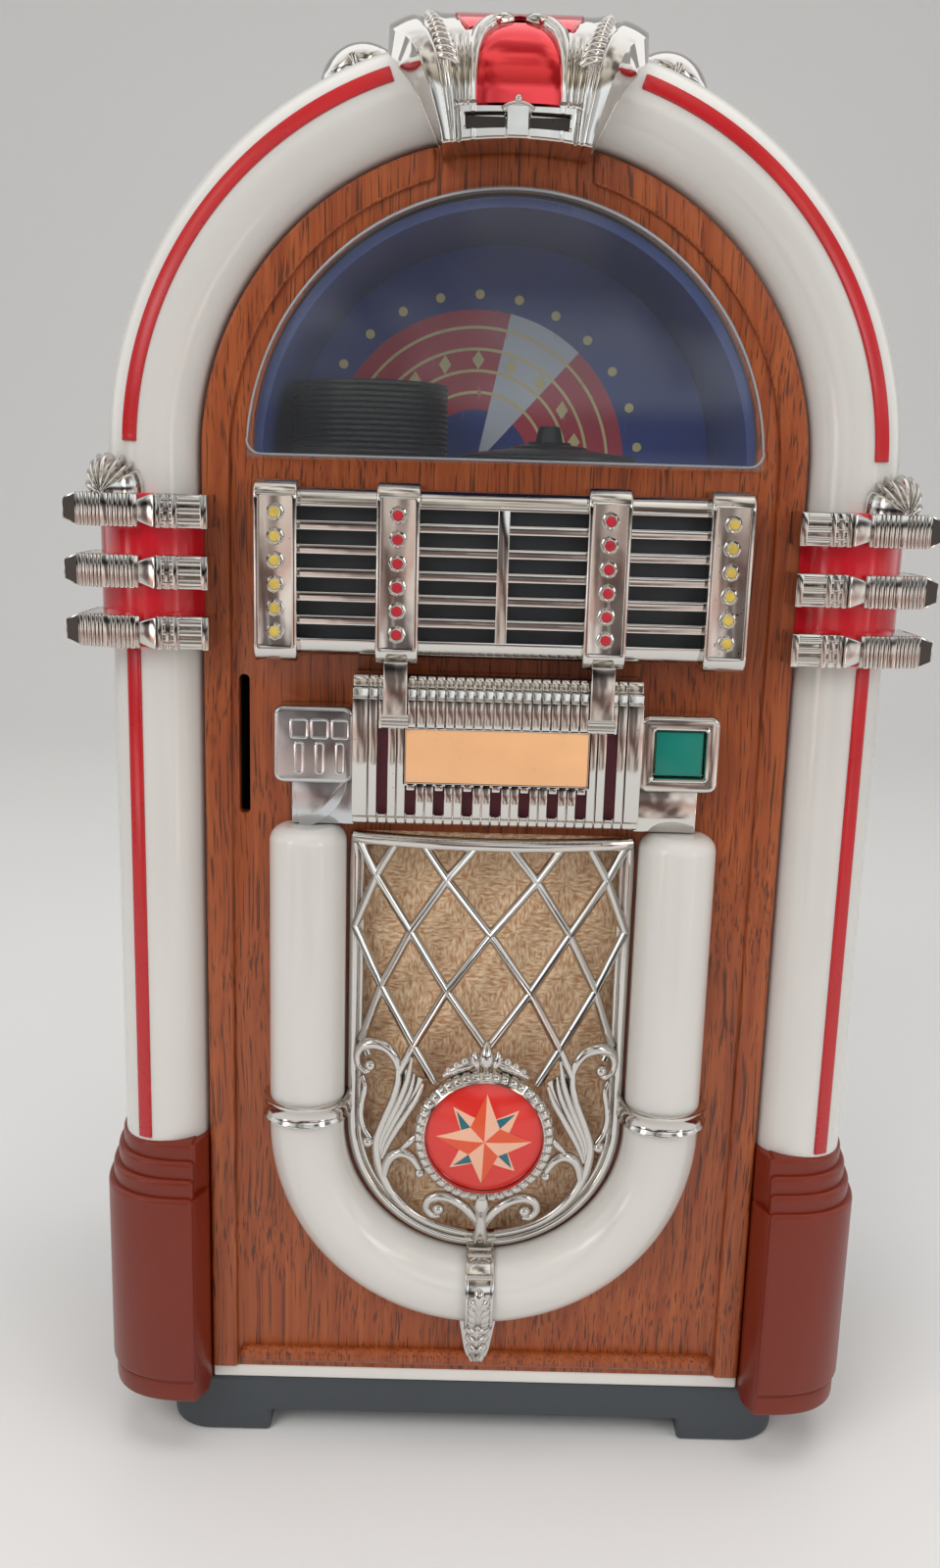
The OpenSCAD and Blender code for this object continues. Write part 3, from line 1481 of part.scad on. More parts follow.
// Scrolls beside and under the medallion, on the right hand side
module scroll2d() {
    upper = [grille_half - rim_w - 0.5 * volute_r, u_z + volute_rise];
    curl = [bezel_r + curl_gap, u_z - 0.7 * bezel_r];
    lower = [2 * volute_r, u_z + rim_w + volute_r - grille_half + volute_gap];
    waist = [bezel_r + waist_gap, u_z + waist_rise];
    side = [grille_half - rim_w, u_z - side_drop];
    stem = [0, u_z + rim_w - grille_half];
    for (p = [upper, curl, lower]) translate(p) difference() {
        circle(volute_r);
        circle(volute_r - lattice_w);
    }
    link2d(upper - [0.8 * volute_r, 0], waist, lattice_w);
    link2d(waist, side, lattice_w);
    link2d(curl + [0.7 * volute_r, 0], side, lattice_w);
    link2d(lower - [0.7 * volute_r, 0], stem, lattice_w);
}

module grille2d() {
    intersection() {
        grille_outline(rim_w / 2);
        union() {
            both_sides2d() {
                lattice2d();
                scroll2d();
            }
            translate([0, u_z]) circle(bezel_r - bezel_w / 2);
            link2d([0, u_z], [0, u_z - grille_half], lattice_w);
        }
    }
}

module both_sides2d() {
    children();
    mirror([1, 0]) children();
}

// Bowed solid whose front the grille follows
module grille_bow_solid(r) {
    translate([0, face_y - grille_front + grille_round, u_z - grille_half - over])
        cylinder(r = r, h = grille_h + grille_half + 2 * over, $fn = 120);
}

module speaker_grille() {
    color(chrome) {
        intersection() {
            grille_bow_solid(grille_round);
            slab(-grille_front - over, 0) difference() {
                grille_outline(0);
                grille_outline(rim_w);
            }
        }
        intersection() {
            difference() {
                grille_bow_solid(lattice_round);
                grille_bow_solid(lattice_round - lattice_t);
            }
            slab(-grille_front - over, 0) grille2d();
        }
    }
}

module medallion_bezel() {
    color(chrome) difference() {
        slab(medal_s - bezel_t, medal_s + 2 * lattice_t) translate([0, u_z]) circle(bezel_r);
        slab(medal_s - bezel_t - over, medal_s + 3 * lattice_t)
            translate([0, u_z]) circle(medal_r + seat_fit);
        grille_bow_solid(lattice_round + seat_fit);
    }
}

module medallion() {
    sphere_r = (medal_r * medal_r + medal_dome * medal_dome) / (2 * medal_dome);
    front = bezel_t / 2 + medal_dome;
    color("#dc3a34") difference() {
        translate([0, face_y + medal_s, u_z]) rotate([90, 0, 0]) rotate_extrude() intersection() {
            translate([0, front - sphere_r]) circle(sphere_r, $fn = 120);
            translate([0, -lattice_t]) square([medal_r, front + lattice_t]);
        }
        grille_bow_solid(lattice_round + seat_fit);
    }
}

module tail_clasp() {
    mid_z = u_z - u_x;
    foot_z = mid_z - u_r - tail_t;
    half = tail_foot_w / 2;
    point_z = foot_z - tail_foot_h + tail_point;
    color(chrome) {
        difference() {
            beam(-tail_w / 2, tail_w / 2) difference() {
                translate([-u_out, mid_z]) circle(u_r + tail_t);
                translate([-u_out, mid_z]) circle(u_r + part_gap);
                translate([-u_out, mid_z - u_r]) square([2 * u_r, 4 * u_r]);
                translate([0, mid_z - 2 * u_r]) square([2 * u_r, 4 * u_r]);
            }
            slab(-grille_front - over, over) grille_outline(-part_gap);
        }
        difference() {
            slab(-2 * tail_t, 0) {
                translate([-tail_w / 2, foot_z]) square([tail_w, tail_t]);
                polygon([[-half, foot_z], [half, foot_z], [half, point_z], [0, foot_z - tail_foot_h],
                    [-half, point_z]]);
            }
            foot_roll(bead_r + part_gap);
        }
    }
}

module speaker_cloth() {
    color("#b08d62") slab(panel_t - cloth_t, panel_t) grille_outline(rim_w + part_gap);
}

module speaker_frame() {
    board_half = grille_half + frame_lap;
    rear = panel_t + frame_t + cone_depth + basket_gap;
    color("#55575a") difference() {
        union() {
            slab(panel_t, panel_t + frame_t) translate([-board_half, u_z - board_half])
                square([2 * board_half, board_half + grille_h + frame_lap / 2]);
            translate([0, face_y + panel_t, speaker_z]) rotate([-90, 0, 0])
                cylinder(r1 = cone_r + basket_rim, r2 = magnet_r, h = rear - panel_t);
            slab(rear - over, rear + magnet_t) translate([0, speaker_z]) circle(magnet_r);
        }
        translate([0, face_y + panel_t - over, speaker_z]) rotate([-90, 0, 0])
            cylinder(r = cone_r + part_gap, h = frame_t + over);
        translate([0, face_y + panel_t + frame_t - over / 100, speaker_z]) rotate([-90, 0, 0])
            cylinder(r1 = cone_r + part_gap, r2 = magnet_r - basket_wall, h = cone_depth + frame_t);
    }
}

module speaker_cone() {
    cap = cone_depth - cone_cap;
    edge = cone_r - cone_roll;
    color("#2a2622") translate([0, face_y + cone_face, speaker_z]) rotate([-90, 0, 0]) rotate_extrude()
        polygon([[0, cap], [0, cap - cone_t], [cone_throat - cone_t, cone_depth - cone_cap / 2],
            [edge, 0], [cone_r, 0], [cone_r, cone_t], [edge + cone_t / 2, cone_t],
            [cone_throat, cone_depth], [cone_throat - cone_t, cone_depth]]);
}

// Knobs and controls

module knob() {
    difference() {
        union() {
            translate([0, 0, knob_seat]) cylinder(r = knob_skirt_r, h = knob_skirt_h + knob_rim / 2);
            translate([0, 0, knob_under]) cylinder(r = knob_r, h = knob_rim);
            intersection() {
                translate([0, 0, knob_top - dome_sphere]) sphere(dome_sphere);
                translate([0, 0, knob_under + knob_rim / 2]) cylinder(r = knob_r, h = 2 * knob_dome);
            }
        }
        translate([0, 0, knob_seat - over]) cylinder(r = shaft_r + seat_fit, h = knob_skirt_h + over);
        translate([0, -knob_r, knob_under - over]) cylinder(r = knob_notch, h = knob_rim + knob_dome);
    }
}

module control_shaft() {
    translate([0, 0, control_foot + control_floor])
        cylinder(r = shaft_r, h = knob_under - control_foot - control_floor - part_gap);
}

module control_body() {
    difference() {
        translate([0, 0, control_foot]) cylinder(r = control_r, h = control_l);
        translate([0, 0, control_foot + control_floor - part_gap])
            cylinder(r = shaft_r + run_fit, h = control_l);
    }
}

module volume_knob() { color(chrome) radial(-knob_a) knob(); }

module volume_shaft() { color("silver") radial(-knob_a) control_shaft(); }

module volume_control() { color("#55575a") radial(-knob_a) control_body(); }

module tuning_knob() { color(chrome) radial(knob_a) knob(); }

module tuning_shaft() { color("silver") radial(knob_a) control_shaft(); }

module tuning_capacitor() { color("#55575a") radial(knob_a) control_body(); }

base_plinth();
cabinet_shell();
back_cover();
cover_screws();
front_panel();
panel_strip();
window_lens();
record_bay();
window_card();
record_stack();
record_disc();
turntable_shaft();
record_motor();
drive_roller();
left_arch_tube();
right_arch_tube();
red_stripes();
tube_lamps();
left_band_clasp();
right_band_clasp();
band_sleeves();
left_shoe();
right_shoe();
top_crest();
crest_lens();
selector_frame();
selector_backing();
yellow_pips();
red_pips();
nameplate_housing();
nameplate_backing();
label_plate();
coin_panel();
button_bezel();
select_button();
button_switch();
speaker_grille();
medallion_bezel();
medallion();
speaker_cloth();
speaker_frame();
speaker_cone();
upper_tubes();
u_bend();
tube_collars();
tail_clasp();
volume_knob();
volume_shaft();
volume_control();
tuning_knob();
tuning_shaft();
tuning_capacitor();
circuit_board();
coin_chute();
coin_box();
coin_door();
battery_box();
battery_cells();
battery_door();
door_pins();
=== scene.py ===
"""Looks of the mini jukebox, modelled round its packed construction.

Lengths in the classes are millimetres. On the front, x runs to the right, out runs forward from the
face of the wooden panel, and z runs up from the table. Blender's own units are metres.
"""
import logging
from dataclasses import dataclass
from enum import Enum
from math import acos, copysign, cos, degrees, hypot, pi, radians, sin, sqrt, tau
from typing import Callable, Sequence

import bpy
from mathutils import Matrix, Vector


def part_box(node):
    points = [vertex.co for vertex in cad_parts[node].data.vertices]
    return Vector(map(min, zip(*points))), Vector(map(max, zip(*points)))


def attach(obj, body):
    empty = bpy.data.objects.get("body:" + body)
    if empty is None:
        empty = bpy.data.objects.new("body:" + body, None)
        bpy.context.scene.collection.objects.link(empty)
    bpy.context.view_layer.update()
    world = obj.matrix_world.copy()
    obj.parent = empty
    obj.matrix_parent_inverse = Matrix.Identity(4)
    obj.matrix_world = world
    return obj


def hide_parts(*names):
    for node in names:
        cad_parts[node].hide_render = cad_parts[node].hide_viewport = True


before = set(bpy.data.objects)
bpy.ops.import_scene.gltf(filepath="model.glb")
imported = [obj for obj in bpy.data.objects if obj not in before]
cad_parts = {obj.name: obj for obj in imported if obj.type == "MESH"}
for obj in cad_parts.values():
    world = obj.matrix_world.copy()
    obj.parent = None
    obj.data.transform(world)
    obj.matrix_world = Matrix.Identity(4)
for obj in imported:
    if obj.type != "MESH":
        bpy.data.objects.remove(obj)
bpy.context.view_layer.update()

LOG = logging.getLogger("jukebox")
MM = 0.001
WELD = 1e-6
FACE_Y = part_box("u_bend")[1].y / MM
RECORD_X = 10.399
RECORD_OUT = -24.2
Piece = bpy.types.Object
Tree = bpy.types.NodeTree
Node = bpy.types.Node
Socket = bpy.types.NodeSocket
Links = dict[str | int, object]
Point2 = tuple[float, float]
Point3 = tuple[float, float, float]
Line = list[tuple[Vector, float]]


def spot(x: float, out: float, z: float) -> Vector:
    """Turns a place on the front, in millimetres, into a point of the frame in metres."""
    return Vector((x, FACE_Y - out, z)) * MM


class Plane(Enum):
    """Plane that an outline is drawn in; it is extruded along the third direction."""

    FRONT = "x and z, extruded along out"
    PLAN = "x and out, extruded along z"
    SIDE = "out and z, extruded along x"

    def place(self, a: float, b: float, depth: float) -> Vector:
        """Finds the point at an outline's place and a depth.

        Args:
            a: First value of the outline's place.
            b: Second value of it.
            depth: Distance along the third direction.

        Returns:
            The point in the frame, in metres.
        """
        if self is Plane.FRONT:
            return spot(a, depth, b)
        if self is Plane.PLAN:
            return spot(a, b, depth)
        return spot(depth, a, b)


def arc(centre: Point2, radius: float, start: float, end: float, steps: int) -> list[Point2]:
    """Lists points along an arc between two angles in degrees, both ends among them."""
    angles = [radians(start + (end - start) * i / steps) for i in range(steps + 1)]
    return [(centre[0] + radius * cos(a), centre[1] + radius * sin(a)) for a in angles]


def round_rect(x0: float, y0: float, x1: float, y1: float, r: float, steps: int = 5) -> list[Point2]:
    """Outline of a rectangle with corners of radius r, each drawn in a number of spans."""
    return (arc((x0 + r, y0 + r), r, 180, 270, steps) + arc((x1 - r, y0 + r), r, 270, 360, steps)
        + arc((x1 - r, y1 - r), r, 0, 90, steps) + arc((x0 + r, y1 - r), r, 90, 180, steps))


def rect(x0: float, y0: float, x1: float, y1: float) -> list[Point2]:
    """Outline of a rectangle with sharp corners."""
    return [(x0, y0), (x1, y0), (x1, y1), (x0, y1)]


def level(points: Sequence[Point2], out: float) -> Line:
    """Lays the line of a rod of full radius at one distance before the panel."""
    return [(spot(a, out, b), 1.0) for a, b in points]


def clear() -> None:
    """Leaves edit mode and deselects everything."""
    if bpy.context.object and bpy.context.object.mode != "OBJECT":
        bpy.ops.object.mode_set(mode="OBJECT")
    bpy.ops.object.select_all(action="DESELECT")


def pick(*pieces: Piece) -> None:
    """Selects these pieces alone, the first one active.

    Args:
        *pieces: Pieces to select.
    """
    clear()
    for piece in pieces:
        piece.select_set(True)
    bpy.context.view_layer.objects.active = pieces[0]


def named(name: str) -> Piece:
    """Names the active object and its data.

    Args:
        name: The name.

    Returns:
        The active object.
    """
    piece = bpy.context.object
    piece.name = name
    piece.data.name = name
    return piece


def edit(piece: Piece) -> None:
    """Opens a piece in edit mode with everything selected.

    Args:
        piece: Piece to open.
    """
    pick(piece)
    bpy.ops.object.mode_set(mode="EDIT")
    bpy.ops.mesh.select_mode(type="VERT")
    bpy.ops.mesh.select_all(action="SELECT")


def close(piece: Piece, weld: float = WELD, fill: bool = True) -> Piece:
    """Welds a piece's doubles, fills its open ends unless it is a sheet, and points its faces outwards.

    Args:
        piece: Piece to close.
        weld: Distance within which points become one, in metres.
        fill: Whether open ends are filled.

    Returns:
        The same piece.
    """
    edit(piece)
    bpy.ops.mesh.remove_doubles(threshold=weld)
    if fill:
        bpy.ops.mesh.fill_holes(sides=0)
    bpy.ops.mesh.normals_make_consistent(inside=False)
    bpy.ops.object.mode_set(mode="OBJECT")
    return piece


def ring(name: str, count: int, fill: str) -> Piece:
    """Adds a circle primitive whose points are then moved to an outline.

    Args:
        name: Name of the piece.
        count: Number of points.
        fill: How the circle is filled.

    Returns:
        The circle.
    """
    clear()
    bpy.ops.mesh.primitive_circle_add(vertices=count, radius=MM, fill_type=fill)
    return named(name)


def prism(name: str, outline: Sequence[Point2], start: float, end: float,
        plane: Plane = Plane.FRONT) -> Piece:
    """Extrudes a closed outline.

    Args:
        name: Name of the piece.
        outline: Points of the outline, in millimetres.
        start: Depth of the first face.
        end: Depth of the second face.
        plane: Plane of the outline.

    Returns:
        A closed solid.
    """
    piece = ring(name, len(outline), "NGON")
    for vertex, (a, b) in zip(piece.data.vertices, outline):
        vertex.co = plane.place(a, b, start)
    travel = plane.place(0, 0, end) - plane.place(0, 0, start)
    edit(piece)
    bpy.ops.mesh.extrude_region_move(TRANSFORM_OT_translate={"value": travel})
    bpy.ops.object.mode_set(mode="OBJECT")
    return close(piece)


def spun(name: str, profile: Sequence[Vector], centre: Vector, axis: Vector, angle: float = 360.0,
        steps: int = 64, closed: bool = False) -> Piece:
    """Turns a profile about an axis.

    Args:
        name: Name of the piece.
        profile: Points of the profile, in metres.
        centre: A point of the axis.
        axis: Direction of the axis.
        angle: Angle to turn through, in degrees.
        steps: Number of spans round the turn.
        closed: Whether the profile's last point joins its first.

    Returns:
        A closed solid.
    """
    piece = ring(name, len(profile), "NOTHING")
    for vertex, point in zip(piece.data.vertices, profile):
        vertex.co = point
    edit(piece)
    if not closed:
        bpy.ops.mesh.select_all(action="DESELECT")
        bpy.ops.object.mode_set(mode="OBJECT")
        last = len(profile) - 1
        for edge in piece.data.edges:
            edge.select = set(edge.vertices) == {0, last}
        bpy.ops.object.mode_set(mode="EDIT")
        bpy.ops.mesh.select_mode(type="EDGE")
        bpy.ops.mesh.delete(type="EDGE")
        bpy.ops.mesh.select_mode(type="VERT")
        bpy.ops.mesh.select_all(action="SELECT")
    bpy.ops.mesh.spin(steps=steps, angle=radians(angle), center=centre, axis=axis)
    bpy.ops.object.mode_set(mode="OBJECT")
    return close(piece)


def turned(name: str, profile: Sequence[Point2], x: float, out: float, steps: int,
        closed: bool = False) -> Piece:
    """Turns a profile of reach and height about an upright axis at x and out."""
    points = [spot(x + a, out, b) for a, b in profile]
    return spun(name, points, spot(x, out, 0), Vector((0, 0, 1)), 360, steps, closed)


def faced(name: str, profile: Sequence[Point2], x: float, z: float, steps: int,
        closed: bool = False) -> Piece:
    """Turns a profile of reach and out about an axis that points forwards at x and z."""
    points = [spot(x + a, b, z) for a, b in profile]
    return spun(name, points, spot(x, 0, z), Vector((0, 1, 0)), 360, steps, closed)


def ball(name: str, centre: Vector, radius: float, steps: int) -> Piece:
    """Turns a ball of a radius in millimetres about a point."""
    profile = [centre + Vector((a, 0, b)) * MM for a, b in arc((0, 0), radius, -90, 90, steps)]
    return spun(name, profile, centre, Vector((0, 0, 1)), 360, 20)


def surface(name: str, columns: int, rows: int, place: Callable[[float, float], Vector]) -> Piece:
    """Shapes a grid primitive into a surface.

    Args:
        name: Name of the piece.
        columns: Spans along the first direction.
        rows: Spans along the second direction.
        place: Gives the point at shares (u, v), each from 0 to 1.

    Returns:
        The open surface.
    """
    clear()
    bpy.ops.mesh.primitive_grid_add(x_subdivisions=columns, y_subdivisions=rows, size=2.0)
    piece = named(name)
    for vertex in piece.data.vertices:
        vertex.co = place((vertex.co.x + 1) / 2, (vertex.co.y + 1) / 2)
    return piece


def rods(name: str, lines: Sequence[Line], radius: float, sides: int = 3, cyclic: bool = False) -> Piece:
    """Sweeps round rods along lines of points.

    Args:
        name: Name of the piece.
        lines: For each rod its points, in metres, each with a share of the radius.
        radius: Full radius in millimetres.
        sides: Bevel resolution of the rods.
        cyclic: Whether each line closes on itself.

    Returns:
        The rods as one mesh.
    """
    clear()
    bpy.ops.curve.primitive_nurbs_path_add()
    piece = named(name)
    curve = piece.data
    curve.splines.clear()
    curve.dimensions = "3D"
    curve.bevel_depth = radius * MM
    curve.bevel_resolution = sides
    curve.use_fill_caps = True
    for line in lines:
        spline = curve.splines.new("POLY")
        spline.points.add(len(line) - 1)
        spline.use_cyclic_u = cyclic
        for knot, (point, share) in zip(spline.points, line):
            knot.co = (*point, 1.0)
            knot.radius = share
    pick(piece)
    bpy.ops.object.convert(target="MESH")
    return bpy.context.object


def modify(piece: Piece, kind: str, **settings: object) -> Piece:
    """Adds a modifier to a piece and applies it.

    Args:
        piece: The piece to change.
        kind: Type of the modifier.
        **settings: Values of its properties.

    Returns:
        The same piece.
    """
    pick(piece)
    modifier = piece.modifiers.new(kind.title(), kind)
    for key, value in settings.items():
        setattr(modifier, key, value)
    bpy.ops.object.modifier_apply(modifier=modifier.name)
    return piece


def thick(piece: Piece, wall: float, offset: float = 0.0, weld: float = WELD) -> Piece:
    """Gives a sheet a wall in millimetres, which grows inwards at an offset of -1, and closes it."""
    return close(modify(piece, "SOLIDIFY", thickness=wall * MM, offset=offset), weld)


def bevel(piece: Piece, width: float, segments: int = 3, angle: float = 35.0) -> Piece:
    """Rounds the sharp edges of a piece by a width in millimetres."""
    return modify(piece, "BEVEL", width=width * MM, segments=segments, limit_method="ANGLE",
        angle_limit=radians(angle), harden_normals=False)


def cut(piece: Piece, *cutters: Piece) -> Piece:
    """Cuts solids out of a piece and deletes them.

    Args:
        piece: Piece to cut.
        *cutters: Solids to take away.

    Returns:
        The same piece.
    """
    for cutter in cutters:
        modify(piece, "BOOLEAN", operation="DIFFERENCE", solver="EXACT", object=cutter)
        bpy.data.objects.remove(cutter)
    return piece


def join(name: str, pieces: Sequence[Piece]) -> Piece:
    """Joins pieces into one mesh.

    Args:
        name: Name of the joined piece.
        pieces: Pieces to join.

    Returns:
        The joined piece.
    """
    pick(*pieces)
    if len(pieces) > 1:
        bpy.ops.object.join()
    return named(name)


def copy(piece: Piece, name: str) -> Piece:
    """Copies a piece with its own mesh.

    Args:
        piece: Piece to copy.
        name: Name of the copy.

    Returns:
        The copy.
    """
    pick(piece)
    bpy.ops.object.duplicate(linked=False)
    return named(name)


def mirrored(piece: Piece, name: str) -> Piece:
    """Copies a piece to the other side of the middle plane.

    Args:
        piece: Piece of one side.
        name: Name of the copy.

    Returns:
        The mirror image.
    """
    twin = copy(piece, name)
    for vertex in twin.data.vertices:
        vertex.co.x = -vertex.co.x
    edit(twin)
    bpy.ops.mesh.flip_normals()
    bpy.ops.object.mode_set(mode="OBJECT")
    return twin


def smooth(piece: Piece, angle: float = 35.0) -> Piece:
    """Shades a piece smooth, with edges sharper than the angle kept.

    Args:
        piece: Piece to shade.
        angle: Angle in degrees.

    Returns:
        The same piece.
    """
    pick(piece)
    bpy.ops.object.shade_smooth_by_angle(angle=radians(angle))
    return piece


def linear(colour: str) -> tuple[float, float, float, float]:
    """Turns an sRGB colour into a linear one.

    Args:
        colour: Colour in hex digits after a hash.

    Returns:
        Linear red, green, blue and full alpha.
    """
    parts = [int(colour[i:i + 2], 16) / 255 for i in (1, 3, 5)]
    low, slope, offset, power = 0.04045, 12.92, 0.055, 2.4
    red, green, blue = (p / slope if p <= low else ((p + offset) / (1 + offset)) ** power for p in parts)
    return red, green, blue, 1.0


def per_mm(size: float) -> float:
    """Texture scale at which one feature of a pattern measures this many millimetres."""
    return 1 / (size * MM)


def wire(tree: Tree, node: Node, links: Links) -> None:
    """Sets inputs of a node, each to a value, a socket or the first output that another node offers.

    Args:
        tree: Node tree of the node.
        node: Node to set.
        links: What its inputs take, by name or number.
    """
    for socket, value in links.items():
        if isinstance(value, Node):
            value = next(output for output in value.outputs if output.enabled)
        if isinstance(value, Socket):
            tree.links.new(value, node.inputs[socket])
        else:
            node.inputs[socket].default_value = value


def add(tree: Tree, kind: str, links: Links | None = None, **settings: object) -> Node:
    """Adds a shader node with its settings, values and links.

    Args:
        tree: Node tree to add to.
        kind: Type of the node, without the words that all shader nodes begin with.
        links: What its inputs take.
        **settings: Properties of the node.

    Returns:
        The new node.
    """
    node = tree.nodes.new("ShaderNode" + kind)
    for key, value in settings.items():
        setattr(node, key, value)
    wire(tree, node, links or {})
    return node


@dataclass(frozen=True)
class Finish:
    """One real material: a name, a colour and the typical values of its surface."""

    title: str
    colour: str
    roughness: float = 0.4
    metallic: float = 0.0
    coat: float = 0.0

    def material(self) -> bpy.types.Material:
        """Finds the material, which is made on its first use.

        Returns:
            The material.
        """
        made = bpy.data.materials.get(self.title)
        if made is None:
            made = bpy.data.materials.new(self.title)
            made.use_nodes = True
            tree = made.node_tree
            shader = tree.nodes["Principled BSDF"]
            wire(tree, shader, {"Base Color": linear(self.colour), "Metallic": self.metallic,
                "Roughness": self.roughness, "Coat Weight": self.coat})
            wire(tree, shader, self.detail(tree, add(tree, "TexCoord").outputs["Object"]))
        return made

    def detail(self, tree: Tree, place: Socket) -> Links:
        """Adds the patterns of the surface.

        Args:
            tree: Node tree of the material.
            place: Object coordinates, in metres.

        Returns:
            What the shader's inputs take.
        """
        return {}


@dataclass(frozen=True)
class Moulded(Finish):
    """Injection-moulded plastic: faint clouding in the colour, uneven gloss and a fine skin."""

    cloud: float = 0.05
    cloud_mm: float = 22.0
    grain_mm: float = 0.9
    grain: float = 0.03
    gloss_spread: float = 0.08
    subsurface: float = 0.0

    def detail(self, tree: Tree, place: Socket) -> Links:
        """Adds clouding, gloss variation and the moulded skin.

        Args:
            tree: Node tree of the material.
            place: Object coordinates, in metres.

        Returns:
            What the shader's inputs take.
        """
        cloud = add(tree, "TexNoise", {"Vector": place, "Scale": per_mm(self.cloud_mm), "Detail": 3.0})
        skin = add(tree, "TexNoise", {"Vector": place, "Scale": per_mm(self.grain_mm), "Detail": 2.0})
        spread = self.gloss_spread / 2
        spans = ((1 - self.cloud, 1 + self.cloud), (max(0.02, self.roughness - spread),
            self.roughness + spread))
        shade, gloss = [add(tree, "MapRange", {"Value": cloud, "From Min": 0.3, "From Max": 0.7,
            "To Min": low, "To Max": high}) for low, high in spans]
        return {"Base Color": add(tree, "HueSaturation", {"Value": shade, "Color": linear(self.colour)}),
            "Roughness": gloss, "Normal": add(tree, "Bump",
            {"Height": skin, "Strength": self.grain, "Distance": 0.2 * MM}),
            "Subsurface Weight": self.subsurface, "Subsurface Scale": 1.0,
            "Subsurface Radius": (4 * MM, 3.6 * MM, 3 * MM)}


@dataclass(frozen=True)
class Plated(Finish):
    """Vacuum-plated plastic: a bright mirror with handling haze, slight sink ripples and pitted wear."""

    haze_mm: float = 9.0
    haze: float = 0.1
    ripple_mm: float = 5.0
    pit_mm: float = 0.9
    pits: float = 0.0
    pit_colour: str = "#4a3a2a"

    def detail(self, tree: Tree, place: Socket) -> Links:
        """Adds haze, ripples and pits.

        Args:
            tree: Node tree of the material.
            place: Object coordinates, in metres.

        Returns:
            What the shader's inputs take.
        """
        sizes = ((self.haze_mm, 5.0), (self.pit_mm, 4.0), (self.ripple_mm, 1.0))
        haze, pit, ripple = [add(tree, "TexNoise", {"Vector": place, "Scale": per_mm(size),
            "Detail": detail}) for size, detail in sizes]
        gloss = add(tree, "MapRange", {"Value": haze, "From Min": 0.35, "From Max": 0.75,
            "To Min": self.roughness, "To Max": self.roughness + self.haze})
        worn = add(tree, "MapRange", {"Value": pit, "From Min": 0.74 - 0.1 * self.pits,
            "From Max": 0.76 - 0.1 * self.pits})
        return {"Base Color": add(tree, "Mix", {0: worn, 6: linear(self.colour),
            7: linear(self.pit_colour)}, data_type="RGBA"),
            "Roughness": add(tree, "Math", {0: gloss, 1: worn}, operation="MAXIMUM"),
            "Normal": add(tree, "Bump", {"Height": ripple, "Strength": 0.12, "Distance": 0.4 * MM})}


@dataclass(frozen=True)
class WoodLaminate(Finish):
    """Printed teak laminate: upright streaks, short dark pores and a satin seal coat."""

    dark: str = "#45200d"
    light: str = "#ab5829"
    streak_mm: float = 1.9
    pore_mm: float = 0.42
    pore_length: float = 20.0
    sway_mm: float = 60.0

    def detail(self, tree: Tree, place: Socket) -> Links:
        """Adds streaks, pores and the sealed surface.

        Args:
            tree: Node tree of the material.
            place: Object coordinates, in metres.

        Returns:
            What the shader's inputs take.
        """
        drawn = add(tree, "Mapping", {"Vector": place, "Scale": (1.0, 1.0, 1 / self.pore_length)})
        sway = add(tree, "TexNoise", {"Vector": place, "Scale": per_mm(self.sway_mm), "Detail": 2.0})
        bent = add(tree, "VectorMath", {0: sway.outputs["Color"], "Scale": 5 * MM}, operation="SCALE")
        grain = add(tree, "VectorMath", {0: drawn, 1: bent})
        streak, pore = [add(tree, "TexNoise", {"Vector": grain, "Scale": per_mm(size), "Detail": detail,
            "Roughness": rough}) for size, detail, rough in ((self.streak_mm, 4.0, 0.6),
            (self.pore_mm, 2.0, 0.5))]
        tone = add(tree, "MapRange", {"Value": streak, "From Min": 0.32, "From Max": 0.68})
        wood = add(tree, "Mix", {0: tone, 6: linear(self.colour), 7: linear(self.light)}, data_type="RGBA")
        deep = add(tree, "MapRange", {"Value": pore, "From Min": 0.54, "From Max": 0.65, "To Max": 0.85})
        return {"Base Color": add(tree, "Mix", {0: deep, 6: wood, 7: linear(self.dark)}, data_type="RGBA"),
            "Normal": add(tree, "Bump", {"Height": deep, "Strength": 0.12, "Distance": -0.1 * MM}),
            "Coat Roughness": 0.25}


